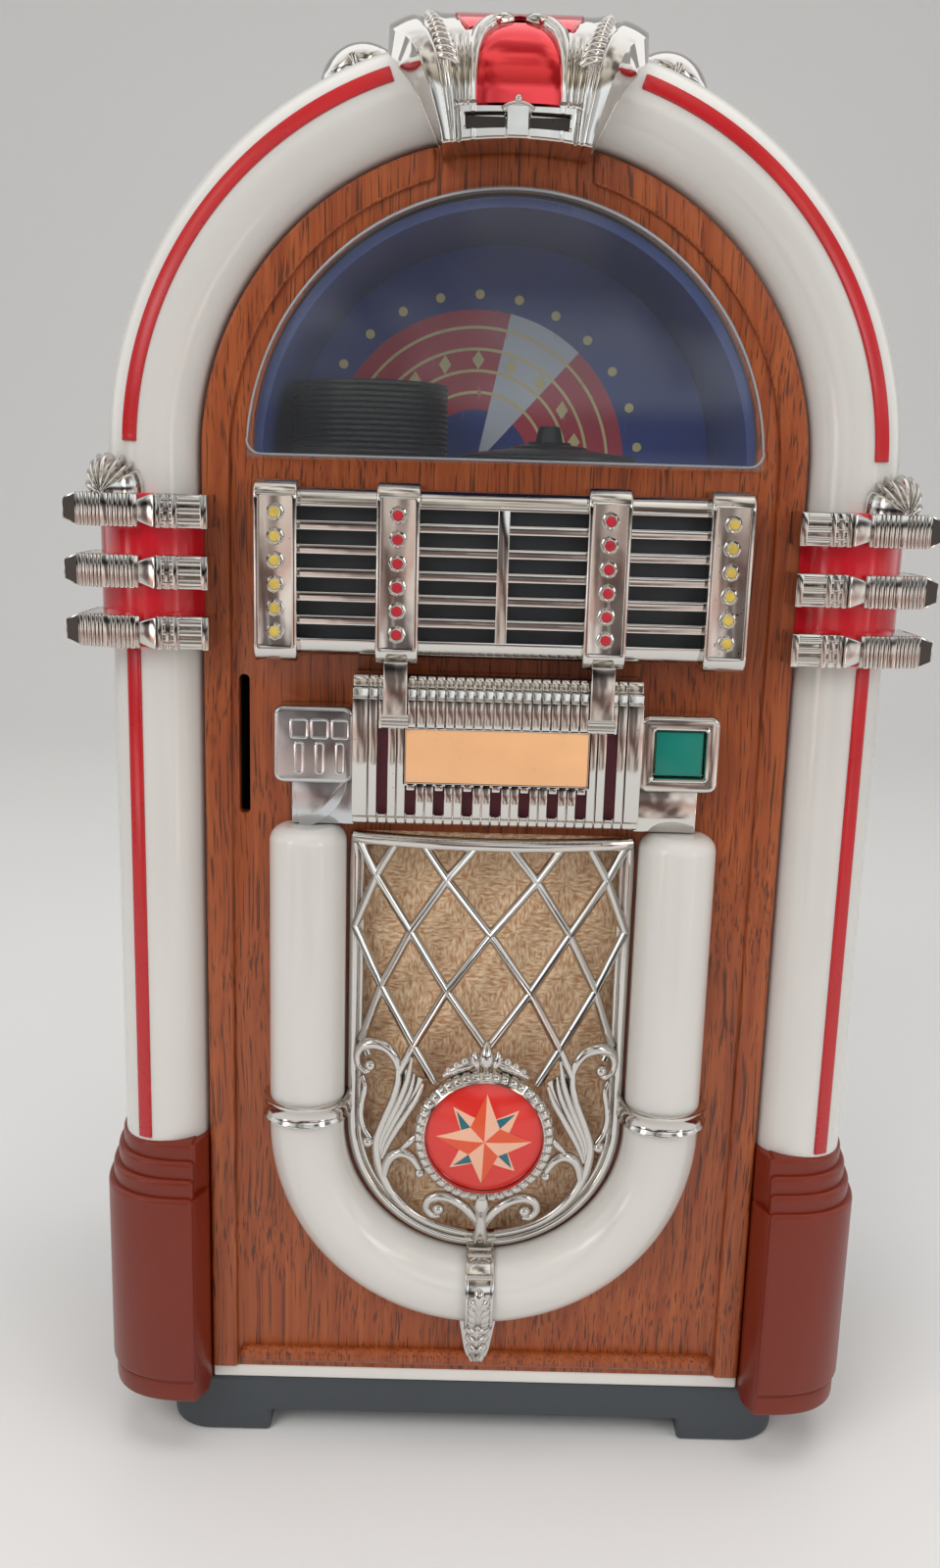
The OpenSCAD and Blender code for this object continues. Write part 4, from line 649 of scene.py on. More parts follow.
@dataclass(frozen=True)
class Brocade(Finish):
    """Woven satin brocade: diamonds whose threads lie across or along the cloth."""

    light: str = "#ffe6c2"
    dark: str = "#c68f63"
    thread_mm: float = 0.6
    wobble_mm: float = 1.6
    diamond_mm: float = 8.0

    def detail(self, tree: Tree, place: Socket) -> Links:
        """Adds diamonds, a silk sheen and threads, which are drawn a little coarse so that they show.

        Args:
            tree: Node tree of the material.
            place: Object coordinates, in metres.

        Returns:
            What the shader's inputs take.
        """
        wobble = add(tree, "TexNoise", {"Vector": place, "Scale": per_mm(self.wobble_mm), "Detail": 2.0})
        drift = add(tree, "VectorMath", {0: wobble.outputs["Color"], "Scale": 0.8 * MM}, operation="SCALE")
        cloth = add(tree, "VectorMath", {0: place, 1: drift})
        weft, warp = [add(tree, "TexNoise", {"Vector": add(tree, "Mapping",
            {"Vector": cloth, "Scale": scale}), "Scale": per_mm(self.thread_mm), "Detail": 1.0})
            for scale in ((0.3, 1.0, 1.0), (1.0, 1.0, 0.3))]
        slanted = add(tree, "Mapping", {"Vector": place, "Rotation": (0.0, radians(45), 0.0)})
        blocks = add(tree, "TexChecker", {"Vector": slanted, "Scale": per_mm(self.diamond_mm)})
        thread = add(tree, "Mix", {0: blocks.outputs["Fac"], 2: weft, 3: warp}, data_type="FLOAT")
        tone = add(tree, "MapRange", {"Value": thread, "From Min": 0.3, "From Max": 0.7})
        return {"Base Color": add(tree, "Mix", {0: tone, 6: linear(self.dark), 7: linear(self.light)},
            data_type="RGBA"), "Normal": add(tree, "Bump", {"Height": tone, "Strength": 0.7,
            "Distance": 0.25 * MM}), "Sheen Weight": 0.25, "Sheen Roughness": 0.4}


@dataclass(frozen=True)
class ClearAcrylic(Finish):
    """Clear moulded acrylic: a thin window with a faint veil and a few hairline scuffs."""

    clarity: float = 1.0
    scuff_mm: float = 0.7
    scuff: float = 0.16

    def detail(self, tree: Tree, place: Socket) -> Links:
        """Makes the shader see-through and adds scuffs.

        Args:
            tree: Node tree of the material.
            place: Object coordinates, in metres.

        Returns:
            What the shader's inputs take.
        """
        drawn = add(tree, "Mapping", {"Vector": place, "Scale": (1.0, 1.0, 0.12),
            "Rotation": (0.0, radians(38), 0.0)})
        scuff = add(tree, "TexNoise", {"Vector": drawn, "Scale": per_mm(self.scuff_mm), "Detail": 2.0})
        rough = add(tree, "MapRange", {"Value": scuff, "From Min": 0.66, "From Max": 0.74,
            "To Min": self.roughness, "To Max": self.roughness + self.scuff})
        return {"Roughness": rough, "Transmission Weight": self.clarity, "IOR": 1.49}


@dataclass(frozen=True)
class Vinyl(Finish):
    """Black record plastic: fine grooves turned about an upright axis."""

    axis_x: float = 0.0
    axis_y: float = 0.0
    groove_mm: float = 0.5
    dust_mm: float = 1.2
    dust: str = "#6a6862"

    def detail(self, tree: Tree, place: Socket) -> Links:
        """Adds the grooves, drawn coarse enough to show, and dust.

        Args:
            tree: Node tree of the material.
            place: Object coordinates, in metres.

        Returns:
            What the shader's inputs take.
        """
        centred = add(tree, "Mapping", {"Vector": place, "Location": (-self.axis_x, -self.axis_y, 0.0)})
        flat = add(tree, "VectorMath", {0: centred, 1: (1.0, 1.0, 0.0)}, operation="MULTIPLY")
        groove = add(tree, "TexWave", {"Vector": flat, "Scale": per_mm(self.groove_mm) / 20},
            wave_type="RINGS", rings_direction="SPHERICAL")
        dust = add(tree, "TexNoise", {"Vector": place, "Scale": per_mm(self.dust_mm), "Detail": 4.0})
        tone = add(tree, "MapRange", {"Value": dust, "From Min": 0.6, "From Max": 0.8, "To Max": 0.25})
        return {"Base Color": add(tree, "Mix", {0: tone, 6: linear(self.colour), 7: linear(self.dust)},
            data_type="RGBA"), "Normal": add(tree, "Bump", {"Height": groove.outputs["Fac"],
            "Strength": 0.2, "Distance": 0.1 * MM})}


class Stock:
    """Finishes of the jukebox, each named for its real material."""

    # Warm brown with upright streaks and short dark pores under a thin satin film.
    WOOD = WoodLaminate("teak_laminate", "#8c3d17", roughness=0.42, coat=0.2)
    # Mirror of plating over plastic, with the faint waves and haze of handling.
    CHROME = Plated("chrome_plated_abs", "#d6d3cf", roughness=0.05, metallic=1.0)
    # The same mirror with the small dark pits that age has left on it.
    WORN_CHROME = Plated("worn_chrome_plated_abs", "#d4d1cd", roughness=0.07, metallic=1.0, pits=0.6)
    # A softer, bluish mirror, as on the flat side plates.
    DIM_CHROME = Plated("dulled_chrome_plated_abs", "#c9cccf", roughness=0.12, metallic=1.0, haze_mm=4.0)
    # Milky white that light enters a little way, with a glossy skin.
    OPAL = Moulded("opal_acrylic", "#dcd8d2", roughness=0.2, coat=0.4, cloud=0.02, cloud_mm=45,
        subsurface=0.25)
    # Clean red line, less glossy than the tube under it.
    STRIPE = Moulded("red_enamel", "#bb0f1a", roughness=0.28, coat=0.2, cloud=0.05, cloud_mm=14)
    # Red with a metal glow below a clear skin.
    CANDY = Moulded("candy_red_foil", "#ea2431", roughness=0.13, metallic=0.7, coat=1.0, cloud=0.05)
    # Bright red plastic with long soft highlights.
    SLEEVE = Moulded("crimson_abs", "#d81a2a", roughness=0.2, coat=0.5, cloud=0.04, cloud_mm=18)
    # Red-brown plastic with a dull shine.
    SHOE = Moulded("chestnut_abs", "#74220b", roughness=0.36, cloud=0.05, cloud_mm=30, grain_mm=1.4)
    # Dull grey-blue plastic with a fine moulded grain.
    BASE = Moulded("slate_grey_abs", "#41464b", roughness=0.5, cloud=0.06, grain_mm=0.8, grain=0.12)
    # Dark brown plastic with a fine moulded grain.
    CABINET = Moulded("dark_brown_abs", "#402419", roughness=0.48, cloud=0.08, grain_mm=0.7, grain=0.16)
    # White plastic line between the panel and the base.
    STRIP = Moulded("white_abs", "#e6e3dc", roughness=0.35, cloud=0.03)
    # Dark wine card that shows between the combs.
    MAROON = Moulded("maroon_card", "#5e2430", roughness=0.6, cloud=0.08, grain=0.08)
    # Peach plate with a soft lacquer shine.
    LABEL = Moulded("cream_lacquer_plate", "#f9bd88", roughness=0.3, coat=0.3, cloud=0.05, cloud_mm=12)
    # Blue-green plastic of the button.
    GREEN = Moulded("emerald_abs", "#017f70", roughness=0.28, coat=0.15, cloud=0.05)
    # Mustard drops of paint, uneven from one to the next.
    YELLOW = Moulded("yellow_enamel", "#cfb255", roughness=0.35, cloud=0.18, cloud_mm=2.5)
    # Red drops of paint, uneven from one to the next.
    RED_PIP = Moulded("red_pip_enamel", "#bd2a36", roughness=0.3, cloud=0.12, cloud_mm=2.5)
    # Orange-red field under a clear dome.
    MEDAL = Moulded("red_lacquer", "#dd3028", roughness=0.14, coat=0.4, cloud=0.03)
    # Pale peach facets with a glassy skin.
    CREAM = Moulded("cream_enamel", "#f0b79a", roughness=0.25, coat=0.2, cloud=0.03)
    # Orange facets beside the pale ones.
    CORAL = Moulded("coral_enamel", "#e2542f", roughness=0.25, coat=0.2, cloud=0.03)
    # Dark blue-green slivers in the short points.
    TEAL = Moulded("teal_enamel", "#1f6672", roughness=0.25, coat=0.2, cloud=0.03)
    # Woven diamonds that turn light and dark with the lie of their threads.
    CLOTH = Brocade("tan_brocade", "#b9926c", roughness=0.65)
    # Clear sheet with faint scuffs that catch the light.
    CLEAR = ClearAcrylic("clear_acrylic", "#f6fafc", roughness=0.02)
    # Opaque light grey on the rounded lip of the sheet: a painted highlight for the light that its clear
    # cut edge gathers.
    EDGE = Moulded("acrylic_lip_painted_highlight", "#b4b8bc", roughness=0.12, coat=0.8, cloud=0.02)
    # Black discs whose grooves draw a fan of light.
    VINYL = Vinyl("pressed_vinyl", "#17181a", roughness=0.3, axis_x=RECORD_X * MM,
        axis_y=(FACE_Y - RECORD_OUT) * MM)
    # Black plastic with worn, greyer places.
    BLACK = Moulded("black_abs", "#17181b", roughness=0.35, cloud=0.15)
    # Dark card behind the slats.
    SLOT_BACK = Moulded("charcoal_card", "#303438", roughness=0.55, cloud=0.2, cloud_mm=10, grain=0.1)
    # Smoky brown paint on the ends of the bars.
    TIP = Moulded("smoked_lacquer", "#2e2723", roughness=0.3, cloud=0.2, cloud_mm=3)
    # Dull dark blue card with a faint mottle.
    NAVY = Moulded("navy_card", "#2b4494", roughness=0.6, cloud=0.12, cloud_mm=16)
    # Dull red print on the card.
    BURGUNDY = Moulded("burgundy_ink", "#cc3a50", roughness=0.6, cloud=0.1, cloud_mm=12)
    # Dull pale print on the card.
    PALE_INK = Moulded("pale_grey_ink", "#e3e6ee", roughness=0.6, cloud=0.05)
    # Thin straw-coloured print on the card.
    GOLD_INK = Moulded("straw_ink", "#f2dfa0", roughness=0.6, cloud=0.05)
    # Blue-grey walls of the bay, so that the card seems to go on.
    BAY = Moulded("slate_abs", "#46568f", roughness=0.6, cloud=0.05)
    # Grey metal with a broken shine.
    STEEL = Plated("zinc_plated_steel", "#a9abae", roughness=0.28, metallic=1.0)
    # Dull black.
    RUBBER = Moulded("black_rubber", "#232323", roughness=0.8, cloud=0.1, grain=0.2)
    # Green board of the circuit.
    BOARD = Moulded("green_fibreboard", "#1f6b3a", roughness=0.5, cloud=0.1)
    # Clear warm glass.
    LAMP = ClearAcrylic("lamp_glass", "#fff4dc", roughness=0.05)
    # Ochre printed sleeve of the cells.
    CELL = Moulded("printed_cell_sleeve", "#a9822c", roughness=0.4, cloud=0.1)
    # Dull dark paper of the cone.
    PAPER = Moulded("pulp_paper", "#2b2622", roughness=0.9, cloud=0.2, grain=0.3)


def taken(node: str, name: str) -> Piece:
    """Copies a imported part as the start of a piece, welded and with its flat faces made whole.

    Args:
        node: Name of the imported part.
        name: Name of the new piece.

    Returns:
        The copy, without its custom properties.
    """
    pick(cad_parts[node])
    bpy.ops.object.duplicate(linked=False)
    piece = named(name)
    piece.parent = None
    for key in list(piece.keys()):
        del piece[key]
    edit(piece)
    bpy.ops.mesh.customdata_custom_splitnormals_clear()
    bpy.ops.mesh.remove_doubles(threshold=10 * WELD)
    bpy.ops.mesh.dissolve_limited(angle_limit=radians(0.5))
    bpy.ops.object.mode_set(mode="OBJECT")
    return piece


def softened(node: str, name: str, width: float) -> Piece:
    """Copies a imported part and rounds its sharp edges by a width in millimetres."""
    return bevel(taken(node, name), width)


def dress(piece: Piece, finish: Finish, slot: str, *nodes: str, body: str = "cabinet",
        angle: float = 35.0) -> Piece:
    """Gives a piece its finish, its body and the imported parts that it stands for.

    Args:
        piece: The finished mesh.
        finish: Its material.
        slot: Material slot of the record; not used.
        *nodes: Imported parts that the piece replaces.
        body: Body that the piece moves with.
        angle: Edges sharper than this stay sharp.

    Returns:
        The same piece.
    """
    smooth(piece, angle)
    piece.data.materials.clear()
    piece.data.materials.append(finish.material())
    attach(piece, body)
    if nodes:
        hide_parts(*nodes)
    LOG.info("%s rides on %s in %s", piece.name, body, finish.title)
    return piece


@dataclass
class Works:
    """Inner works and plain fittings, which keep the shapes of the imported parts."""

    kept: tuple[tuple[str, Finish], ...] = (("record_motor", Stock.STEEL), ("drive_roller", Stock.RUBBER),
        ("tube_lamps", Stock.LAMP), ("button_switch", Stock.BLACK), ("speaker_frame", Stock.STEEL),
        ("speaker_cone", Stock.PAPER), ("volume_shaft", Stock.STEEL), ("volume_control", Stock.STEEL),
        ("tuning_shaft", Stock.STEEL), ("tuning_capacitor", Stock.STRIP), ("circuit_board", Stock.BOARD),
        ("coin_chute", Stock.BASE), ("coin_box", Stock.BASE), ("battery_box", Stock.BLACK),
        ("battery_cells", Stock.CELL), ("door_pins", Stock.STEEL))

    def build(self) -> None:
        """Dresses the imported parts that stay."""
        for node, finish in self.kept:
            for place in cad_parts[node].material_slots:
                place.material = finish.material()
            LOG.info("%s keeps its packed shape in %s", node, finish.title)


def repeat(piece: Piece, name: str, moves: Sequence[Matrix]) -> Piece:
    """Copies a piece to each place and joins the copies.

    Args:
        piece: The piece that repeats; it is used up.
        name: Name of the joined piece.
        moves: Where each copy goes.

    Returns:
        The joined copies.
    """
    twins = []
    for move in moves:
        twin = copy(piece, name)
        twin.data.transform(move)
        twins.append(twin)
    bpy.data.objects.remove(piece)
    return join(name, twins)


def slide(x: float = 0.0, z: float = 0.0) -> Matrix:
    """Returns a move across and up by distances in millimetres."""
    return Matrix.Translation(Vector((x, 0, z)) * MM)


def flow(knots: Sequence[tuple[float, ...]], steps: int) -> list[tuple[float, ...]]:
    """Draws a smooth cubic line through knots.

    Args:
        knots: Points of any number of values.
        steps: Spans between two knots.

    Returns:
        The line's points, both ends among them.
    """
    ends = [knots[0], *knots, knots[-1]]
    line = []
    for a, b, c, d in zip(ends, ends[1:], ends[2:], ends[3:]):
        for i in range(steps):
            t = i / steps
            line.append(tuple(0.5 * (2 * q + (r - p) * t + (2 * p - 5 * q + 4 * r - s) * t * t
                + (3 * q - p - 3 * r + s) * t ** 3) for p, q, r, s in zip(a, b, c, d)))
    return line + [tuple(knots[-1])]


@dataclass
class WoodFront:
    """Wooden panel with its edge moulding, foot roll, openings and the pale strip under it."""

    half: float = 63.8
    foot: float = 18.2
    arch: float = 233.5
    thick: float = 3.0
    border: float = 6.0
    rise: float = 1.2
    gap_half: float = 16.0
    roll_r: float = 2.1
    roll_z: float = 22.0
    roll_half: float = 57.4
    window_r: float = 53.0
    window_z: float = 234.5
    grille_r: float = 30.0
    grille_z: float = 84.5
    grille_top: float = 153.4
    slot_x: float = -55.2
    slot_half: float = 1.15
    slot_z: float = 156.5
    slot_l: float = 31.1

    def arched(self, radius: float) -> list[Point2]:
        """Outline of the panel, drawn in to a radius."""
        return [(-radius, self.foot), (radius, self.foot)] + arc((0, self.arch), radius, 0, 180, 72)

    def build(self) -> None:
        """Builds the panel, its mouldings and the strip."""
        board = prism("wood_board", self.arched(self.half), -self.thick, 0)
        window = prism("window_cut", arc((0, self.window_z), self.window_r, 0, 180, 64), -9, 9)
        speaker = prism("speaker_cut", [(self.grille_r, self.grille_top), (-self.grille_r, self.grille_top)]
            + arc((0, self.grille_z), self.grille_r, 180, 360, 48), -9, 9)
        slot = prism("slot_cut", round_rect(self.slot_x - self.slot_half, self.slot_z,
            self.slot_x + self.slot_half, self.slot_z + self.slot_l, 0.98 * self.slot_half, 6), -9, 9)
        bevel(cut(board, window, speaker, slot), 0.25, 2)
        inner = self.half - self.border
        lean_out = degrees(acos(self.gap_half / self.half))
        lean_in = degrees(acos(self.gap_half / inner))
        outline = ([(self.half, self.foot)] + arc((0, self.arch), self.half, 0, lean_out, 48)
            + arc((0, self.arch), inner, lean_in, 0, 48) + [(inner, self.foot)])
        right = bevel(prism("wood_edge", outline, -0.5, self.rise), 1.15, 6)
        left = mirrored(right, "wood_edge_left")
        ends = ((0.0, 0.2), (0.4, 0.62), (1.2, 0.88), (2.4, 1.0))
        line = [(spot(-self.roll_half + d, 0, self.roll_z), s) for d, s in ends]
        line += [(spot(self.roll_half - d, 0, self.roll_z), s) for d, s in reversed(ends)]
        roll = rods("wood_roll", [line], self.roll_r, 6)
        dress(join("wood_front", [board, right, left, roll]), Stock.WOOD, "wood", "front_panel", angle=40)
        strip = bevel(taken("panel_strip", "foot_strip"), 0.5, 3)
        dress(strip, Stock.STRIP, "white_plastic", "panel_strip")


@dataclass
class ArchTubes:
    """Two opal tubes that arch over the front, each with an upper and a lower red stripe."""

    x: float = 74.0
    out: float = -4.0
    radius: float = 10.0
    arch: float = 233.5
    foot: float = 66.0
    top_a: float = 89.9
    stripe_a: float = 22.0
    stripe_half: float = 9.7
    stripe_rise: float = 0.5
    upper_start: float = 1.9
    upper_end: float = 71.5
    lower_foot: float = 80.6
    lower_top: float = 193.2

    def build(self) -> None:
        """Builds the tubes and their stripes."""
        curve = [(self.x, self.foot), (self.x, 150.0)] + arc((0, self.arch), self.x, 0, self.top_a, 60)
        right = rods("right_tube", [level(curve, self.out)], self.radius, 16)
        left = mirrored(right, "left_tube")
        dress(left, Stock.OPAL, "white_plastic", "left_arch_tube")
        dress(right, Stock.OPAL, "white_plastic", "right_arch_tube")
        dress(self.stripes(), Stock.STRIPE, "red_plastic", "red_stripes")

    def stripes(self) -> Piece:
        """Builds the four stripes, each with a rounded back and eased edges.

        Returns:
            The joined stripes.
        """
        low, high = self.stripe_a - self.stripe_half, self.stripe_a + self.stripe_half
        edge = 1.6
        section = [(self.radius - 0.2, low), (self.radius + 0.6 * self.stripe_rise, low)]
        section += [(self.radius + self.stripe_rise, low + edge + (high - low - 2 * edge) * i / 6)
            for i in range(7)]
        section += [(self.radius + 0.6 * self.stripe_rise, high), (self.radius - 0.2, high)]
        plan = [(self.x + r * sin(radians(a)), self.out + r * cos(radians(a))) for r, a in section]
        lower = bevel(prism("stripe_low", plan, self.lower_foot, self.lower_top, Plane.PLAN), 0.25, 2, 50)
        turn = Matrix.Rotation(radians(-self.upper_start), 4, "Y")
        hub = spot(0, 0, self.arch)
        profile = [hub + turn @ (spot(a, b, self.arch) - hub) for a, b in plan]
        upper = spun("stripe_high", profile, hub, Vector((0, 1, 0)), self.upper_end - self.upper_start, 60,
            True)
        bevel(upper, 0.25, 2, 50)
        right = join("stripe_right", [lower, upper])
        return join("tube_stripes", [right, mirrored(right, "stripe_left")])


@dataclass
class Selector:
    """Chrome selector: rails and slats between four straps, over a charcoal tray, with rows of pips."""

    half: float = 51.4
    foot: float = 191.7
    top: float = 229.3
    step: float = 1.4
    strap_out: float = 11.5
    strap_w: float = 9.0
    strap_xs: tuple[float, float] = (21.7, 46.9)
    round_r: float = 4.0
    mid: float = 210.5
    pitch: float = 4.86
    slot_h: float = 2.75
    slots: int = 6
    rib_w: float = 2.5
    sunk: float = 0.28
    strap_rim: float = 0.95
    collar_r: float = 1.9
    collar_h: float = 1.3
    pip_r: float = 1.15

    def build(self) -> None:
        """Builds the frame, the tray and the pips."""
        bar_out = self.strap_out - self.step
        low, high = self.foot + self.step, self.top - self.step
        reach = (self.slots - 1) / 2 * self.pitch + self.slot_h / 2
        r = self.round_r
        rail = [(0.2, high)] + list(reversed(arc((bar_out - r, high - r), r, 0, 90, 8)))
        rail += [(bar_out - 0.6, self.mid + reach), (5.0, self.mid + reach), (0.2, high - 2.4)]
        top_rail = bevel(prism("rail_top", rail, -self.half + 1, self.half - 1, Plane.SIDE), 0.45, 2)
        foot_rail = copy(top_rail, "rail_foot")
        for vertex in foot_rail.data.vertices:
            vertex.co.z = 2 * self.mid * MM - vertex.co.z
        close(foot_rail)
        slat_h = self.pitch - self.slot_h
        face = rect(6.2, self.mid - slat_h / 2, bar_out - 0.2, self.mid + slat_h / 2)
        slat = bevel(prism("slat", face, -self.half + 2, self.half - 2, Plane.SIDE), 0.42, 3)
        slats = repeat(slat, "slats", [slide(z=(i - (self.slots - 2) / 2) * self.pitch)
            for i in range(self.slots - 1)])
        rib = bevel(prism("rib", round_rect(-self.rib_w / 2, self.mid - reach - 1, self.rib_w / 2,
            self.mid + reach + 1, 0.3, 2), 6.0, bar_out - 0.1), 0.4, 3)
        ends = [bevel(prism("end", rect(q * (self.half - 0.1), low, q * (self.half - 1.4), high), 0.2, 7.0),
            0.3, 2) for q in (-1, 1)]
        near, far = self.strap_xs
        straps = [self.strap(x) for x in (-far, -near, near, far)]
        body = join("selector_body", [top_rail, foot_rail, slats, rib, *ends, *straps[:3]])
        dress(body, Stock.CHROME, "chrome", "selector_frame", angle=40)
        dress(straps[3], Stock.WORN_CHROME, "chrome", angle=40)
        straps[3].name = "selector_worn_strap"
        tray = bevel(taken("selector_backing", "selector_tray"), 0.2, 2)
        dress(tray, Stock.SLOT_BACK, "black_plastic", "selector_backing")
        self.pips()

    def strap(self, x: float) -> Piece:
        """Builds one strap with a shallow sunk face between two rims.

        Args:
            x: Middle of the strap.

        Returns:
            The strap.
        """
        low, high = x - self.strap_w / 2, x + self.strap_w / 2
        r, out = self.round_r, self.strap_out
        side = [(0.2, self.foot)] + arc((out - r, self.foot + r), r, -90, 0, 8)
        side += arc((out - r, self.top - r), r, 0, 90, 8) + [(0.2, self.top)]
        piece = bevel(prism("strap", side, low, high, Plane.SIDE), 0.5, 3, 50)
        outline = round_rect(low + self.strap_rim, self.foot + 3.2, high - self.strap_rim, self.top - 3.2,
            0.8, 4)
        return bevel(cut(piece, prism("sunk", outline, out - self.sunk, out + 2)), 0.12, 2, 50)

    def pips(self) -> None:
        """Builds the chrome collars and the coloured tops in them."""
        places = [self.mid + (i - (self.slots - 1) / 2) * self.pitch for i in range(self.slots)]
        floor = self.strap_out - self.sunk
        ringed = ((self.collar_r, -0.2), (self.collar_r, 0.35), (self.pip_r + 0.2, self.collar_h),
            (self.pip_r, self.collar_h), (self.pip_r, self.collar_h - 0.4))
        dome = ((self.pip_r - 0.02, -0.4), (self.pip_r - 0.02, 0.0), (0.8 * self.pip_r, 0.22), (0.0, 0.32))
        collars = []
        for x, tone, finish in ((self.strap_xs[1], "yellow", Stock.YELLOW),
                (self.strap_xs[0], "red", Stock.RED_PIP)):
            collar = bevel(faced("collar", [(a, floor + b) for a, b in ringed], x, self.mid, 8), 0.14, 2,
                30)
            cap = faced("cap", [(a, floor + self.collar_h - 0.15 + b) for a, b in dome], x, self.mid, 16)
            moves = [slide(x=s, z=z - self.mid) for s in (0, -2 * x) for z in places]
            collars.append(repeat(collar, "pip_collars", moves))
            dress(repeat(cap, tone + "_pip_caps", moves), finish, tone + "_plastic", tone + "_pips")
        dress(join("pip_collars", collars), Stock.CHROME, "chrome", angle=25)


@dataclass
class Nameplate:
    """Ribbed chrome housing with stepped ends, a bare cream label, maroon slots and two hangers."""

    half: float = 30.6
    foot: float = 157.4
    top: float = 189.5
    out: float = 12.0
    ribs: int = 29
    pitch: float = 2.02
    rib_share: float = 0.84
    core_out: float = 9.3
    label_half: float = 19.4
    label_foot: float = 167.0
    label_top: float = 178.6
    label_out: float = 12.2
    label_ranks: int = 9
    side_rank: int = 12
    slot_every: int = 3
    slot_foot: float = 160.0
    slot_top: float = 165.4
    side_top: float = 178.6
    hanger_x: float = 21.7
    hanger_w: float = 5.0
    hanger_foot: float = 181.0
    hanger_out: float = 13.1

    def rib_outline(self, low: float, high: float) -> list[Point2]:
        """Side profile of a rib between two heights, stepped where it meets the ends of the housing.

        Args:
            low: Height of its foot.
            high: Height of its top.

        Returns:
            The outline, in out and z.
        """
        back = self.core_out - 0.6
        line: list[Point2] = [(back, low)]
        if low <= self.foot:
            line += [(9.4, low), (10.4, low + 0.5), (10.6, low + 1.6), (11.6, low + 2.0)]
        line += [(self.out, low + (2.6 if low <= self.foot else 0.0))]
        if high >= self.top:
            line += [(self.out, high - 4.6), (11.3, high - 4.2), (11.2, high - 2.6), (10.1, high - 2.2),
                (9.9, high - 0.9), (9.0, high)]
        else:
            line += [(self.out, high)]
        return line + [(back, high)]

    def build(self) -> None:
        """Builds the housing, the slots, the label and the hangers."""
        r = 4.4
        side = [(0.2, self.foot)] + arc((self.core_out - 2, self.foot + 2), 2, -90, 0, 5)
        side += arc((self.core_out - r, self.top - r), r, 0, 90, 8) + [(0.2, self.top)]
        core = prism("name_core", side, -self.half, self.half, Plane.SIDE)
        width = self.rib_share * self.pitch
        bars = [core]
        slots = []
        for i in range(self.ribs):
            rank = i - self.ribs // 2
            x = rank * self.pitch
            low_x, high_x = x - width / 2, x + width / 2
            if abs(rank) == self.ribs // 2:
                low_x, high_x = (-self.half, high_x) if rank < 0 else (low_x, self.half)
            for low, high in self.spans(rank):
                bars.append(prism("name_rib", self.rib_outline(low, high), low_x, high_x, Plane.SIDE))
            if self.slot_end(rank):
                half = 0.62 * self.pitch
                slots.append(prism("name_slot", round_rect(x - half, self.slot_foot - 0.3, x + half,
                    self.slot_end(rank) + 0.3, 0.2, 2), self.core_out - 0.6, self.core_out + 0.3))
        housing = bevel(join("name_housing", bars), 0.28, 2, 40)
        hangers = [self.hanger(-self.hanger_x), self.hanger(self.hanger_x)]
        bar = prism("label_frame", self.around_label(0.55, 0.5), self.core_out, self.label_out - 0.2)
        well = prism("label_well", self.around_label(-0.05, 0.3), self.label_out - 0.7, self.label_out + 2)
        bevel(cut(bar, well), 0.15, 2)
        dress(join("name_housing", [housing, bar, *hangers]), Stock.CHROME, "chrome", "nameplate_housing",
            angle=40)
        dress(join("name_slots", slots), Stock.MAROON, "maroon_plastic", "nameplate_backing")
        label = prism("cream_label", self.around_label(-0.1, 0.3), self.label_out - 0.8,
            self.label_out - 0.35)
        dress(bevel(label, 0.12, 2), Stock.LABEL, "cream_plastic", "label_plate")

    def around_label(self, margin: float, r: float) -> list[Point2]:
        """Outline round the label with a margin and corners of radius r."""
        half = self.label_half + margin
        return round_rect(-half, self.label_foot - margin, half, self.label_top + margin, r, 3)

    def slot_end(self, rank: int) -> float:
        """Finds the top of the slot in a rib's place.

        Args:
            rank: Number of the rib, counted from the middle one.

        Returns:
            The height, or 0 where the rib has no slot.
        """
        if abs(rank) <= self.label_ranks:
            return 0.0 if rank % self.slot_every else self.slot_top
        return self.side_top if abs(rank) == self.side_rank else 0.0

    def spans(self, rank: int) -> list[Point2]:
        """Lists the heights between which a rib is whole.

        Args:
            rank: Number of the rib, counted from the middle one.

        Returns:
            Foot and top of each whole stretch.
        """
        slot = self.slot_end(rank)
        marks = [self.foot, self.slot_foot, slot] if slot else [self.foot]
        if abs(rank) <= self.label_ranks:
            marks += [self.label_foot, self.label_top]
        marks.append(self.top)
        return list(zip(marks[::2], marks[1::2]))

    def hanger(self, x: float) -> Piece:
        """Builds one hanger strip with its end roll.

        Args:
            x: Middle of the strip.

        Returns:
            The hanger.
        """
        half = self.hanger_w / 2
        outline = rect(x - half, self.hanger_foot, x + half, self.top + 3.2)
        strip = bevel(prism("hanger", outline, self.out - 2.4, self.hanger_out - 0.4), 0.3, 3)
        lines = [level([(x - half - 0.3, z), (x + half + 0.3, z)], self.hanger_out - 0.9)
            for z in (self.hanger_foot, self.hanger_foot - 1.5)]
        return join("hanger", [strip, rods("hanger_roll", lines, 0.85, 4)])


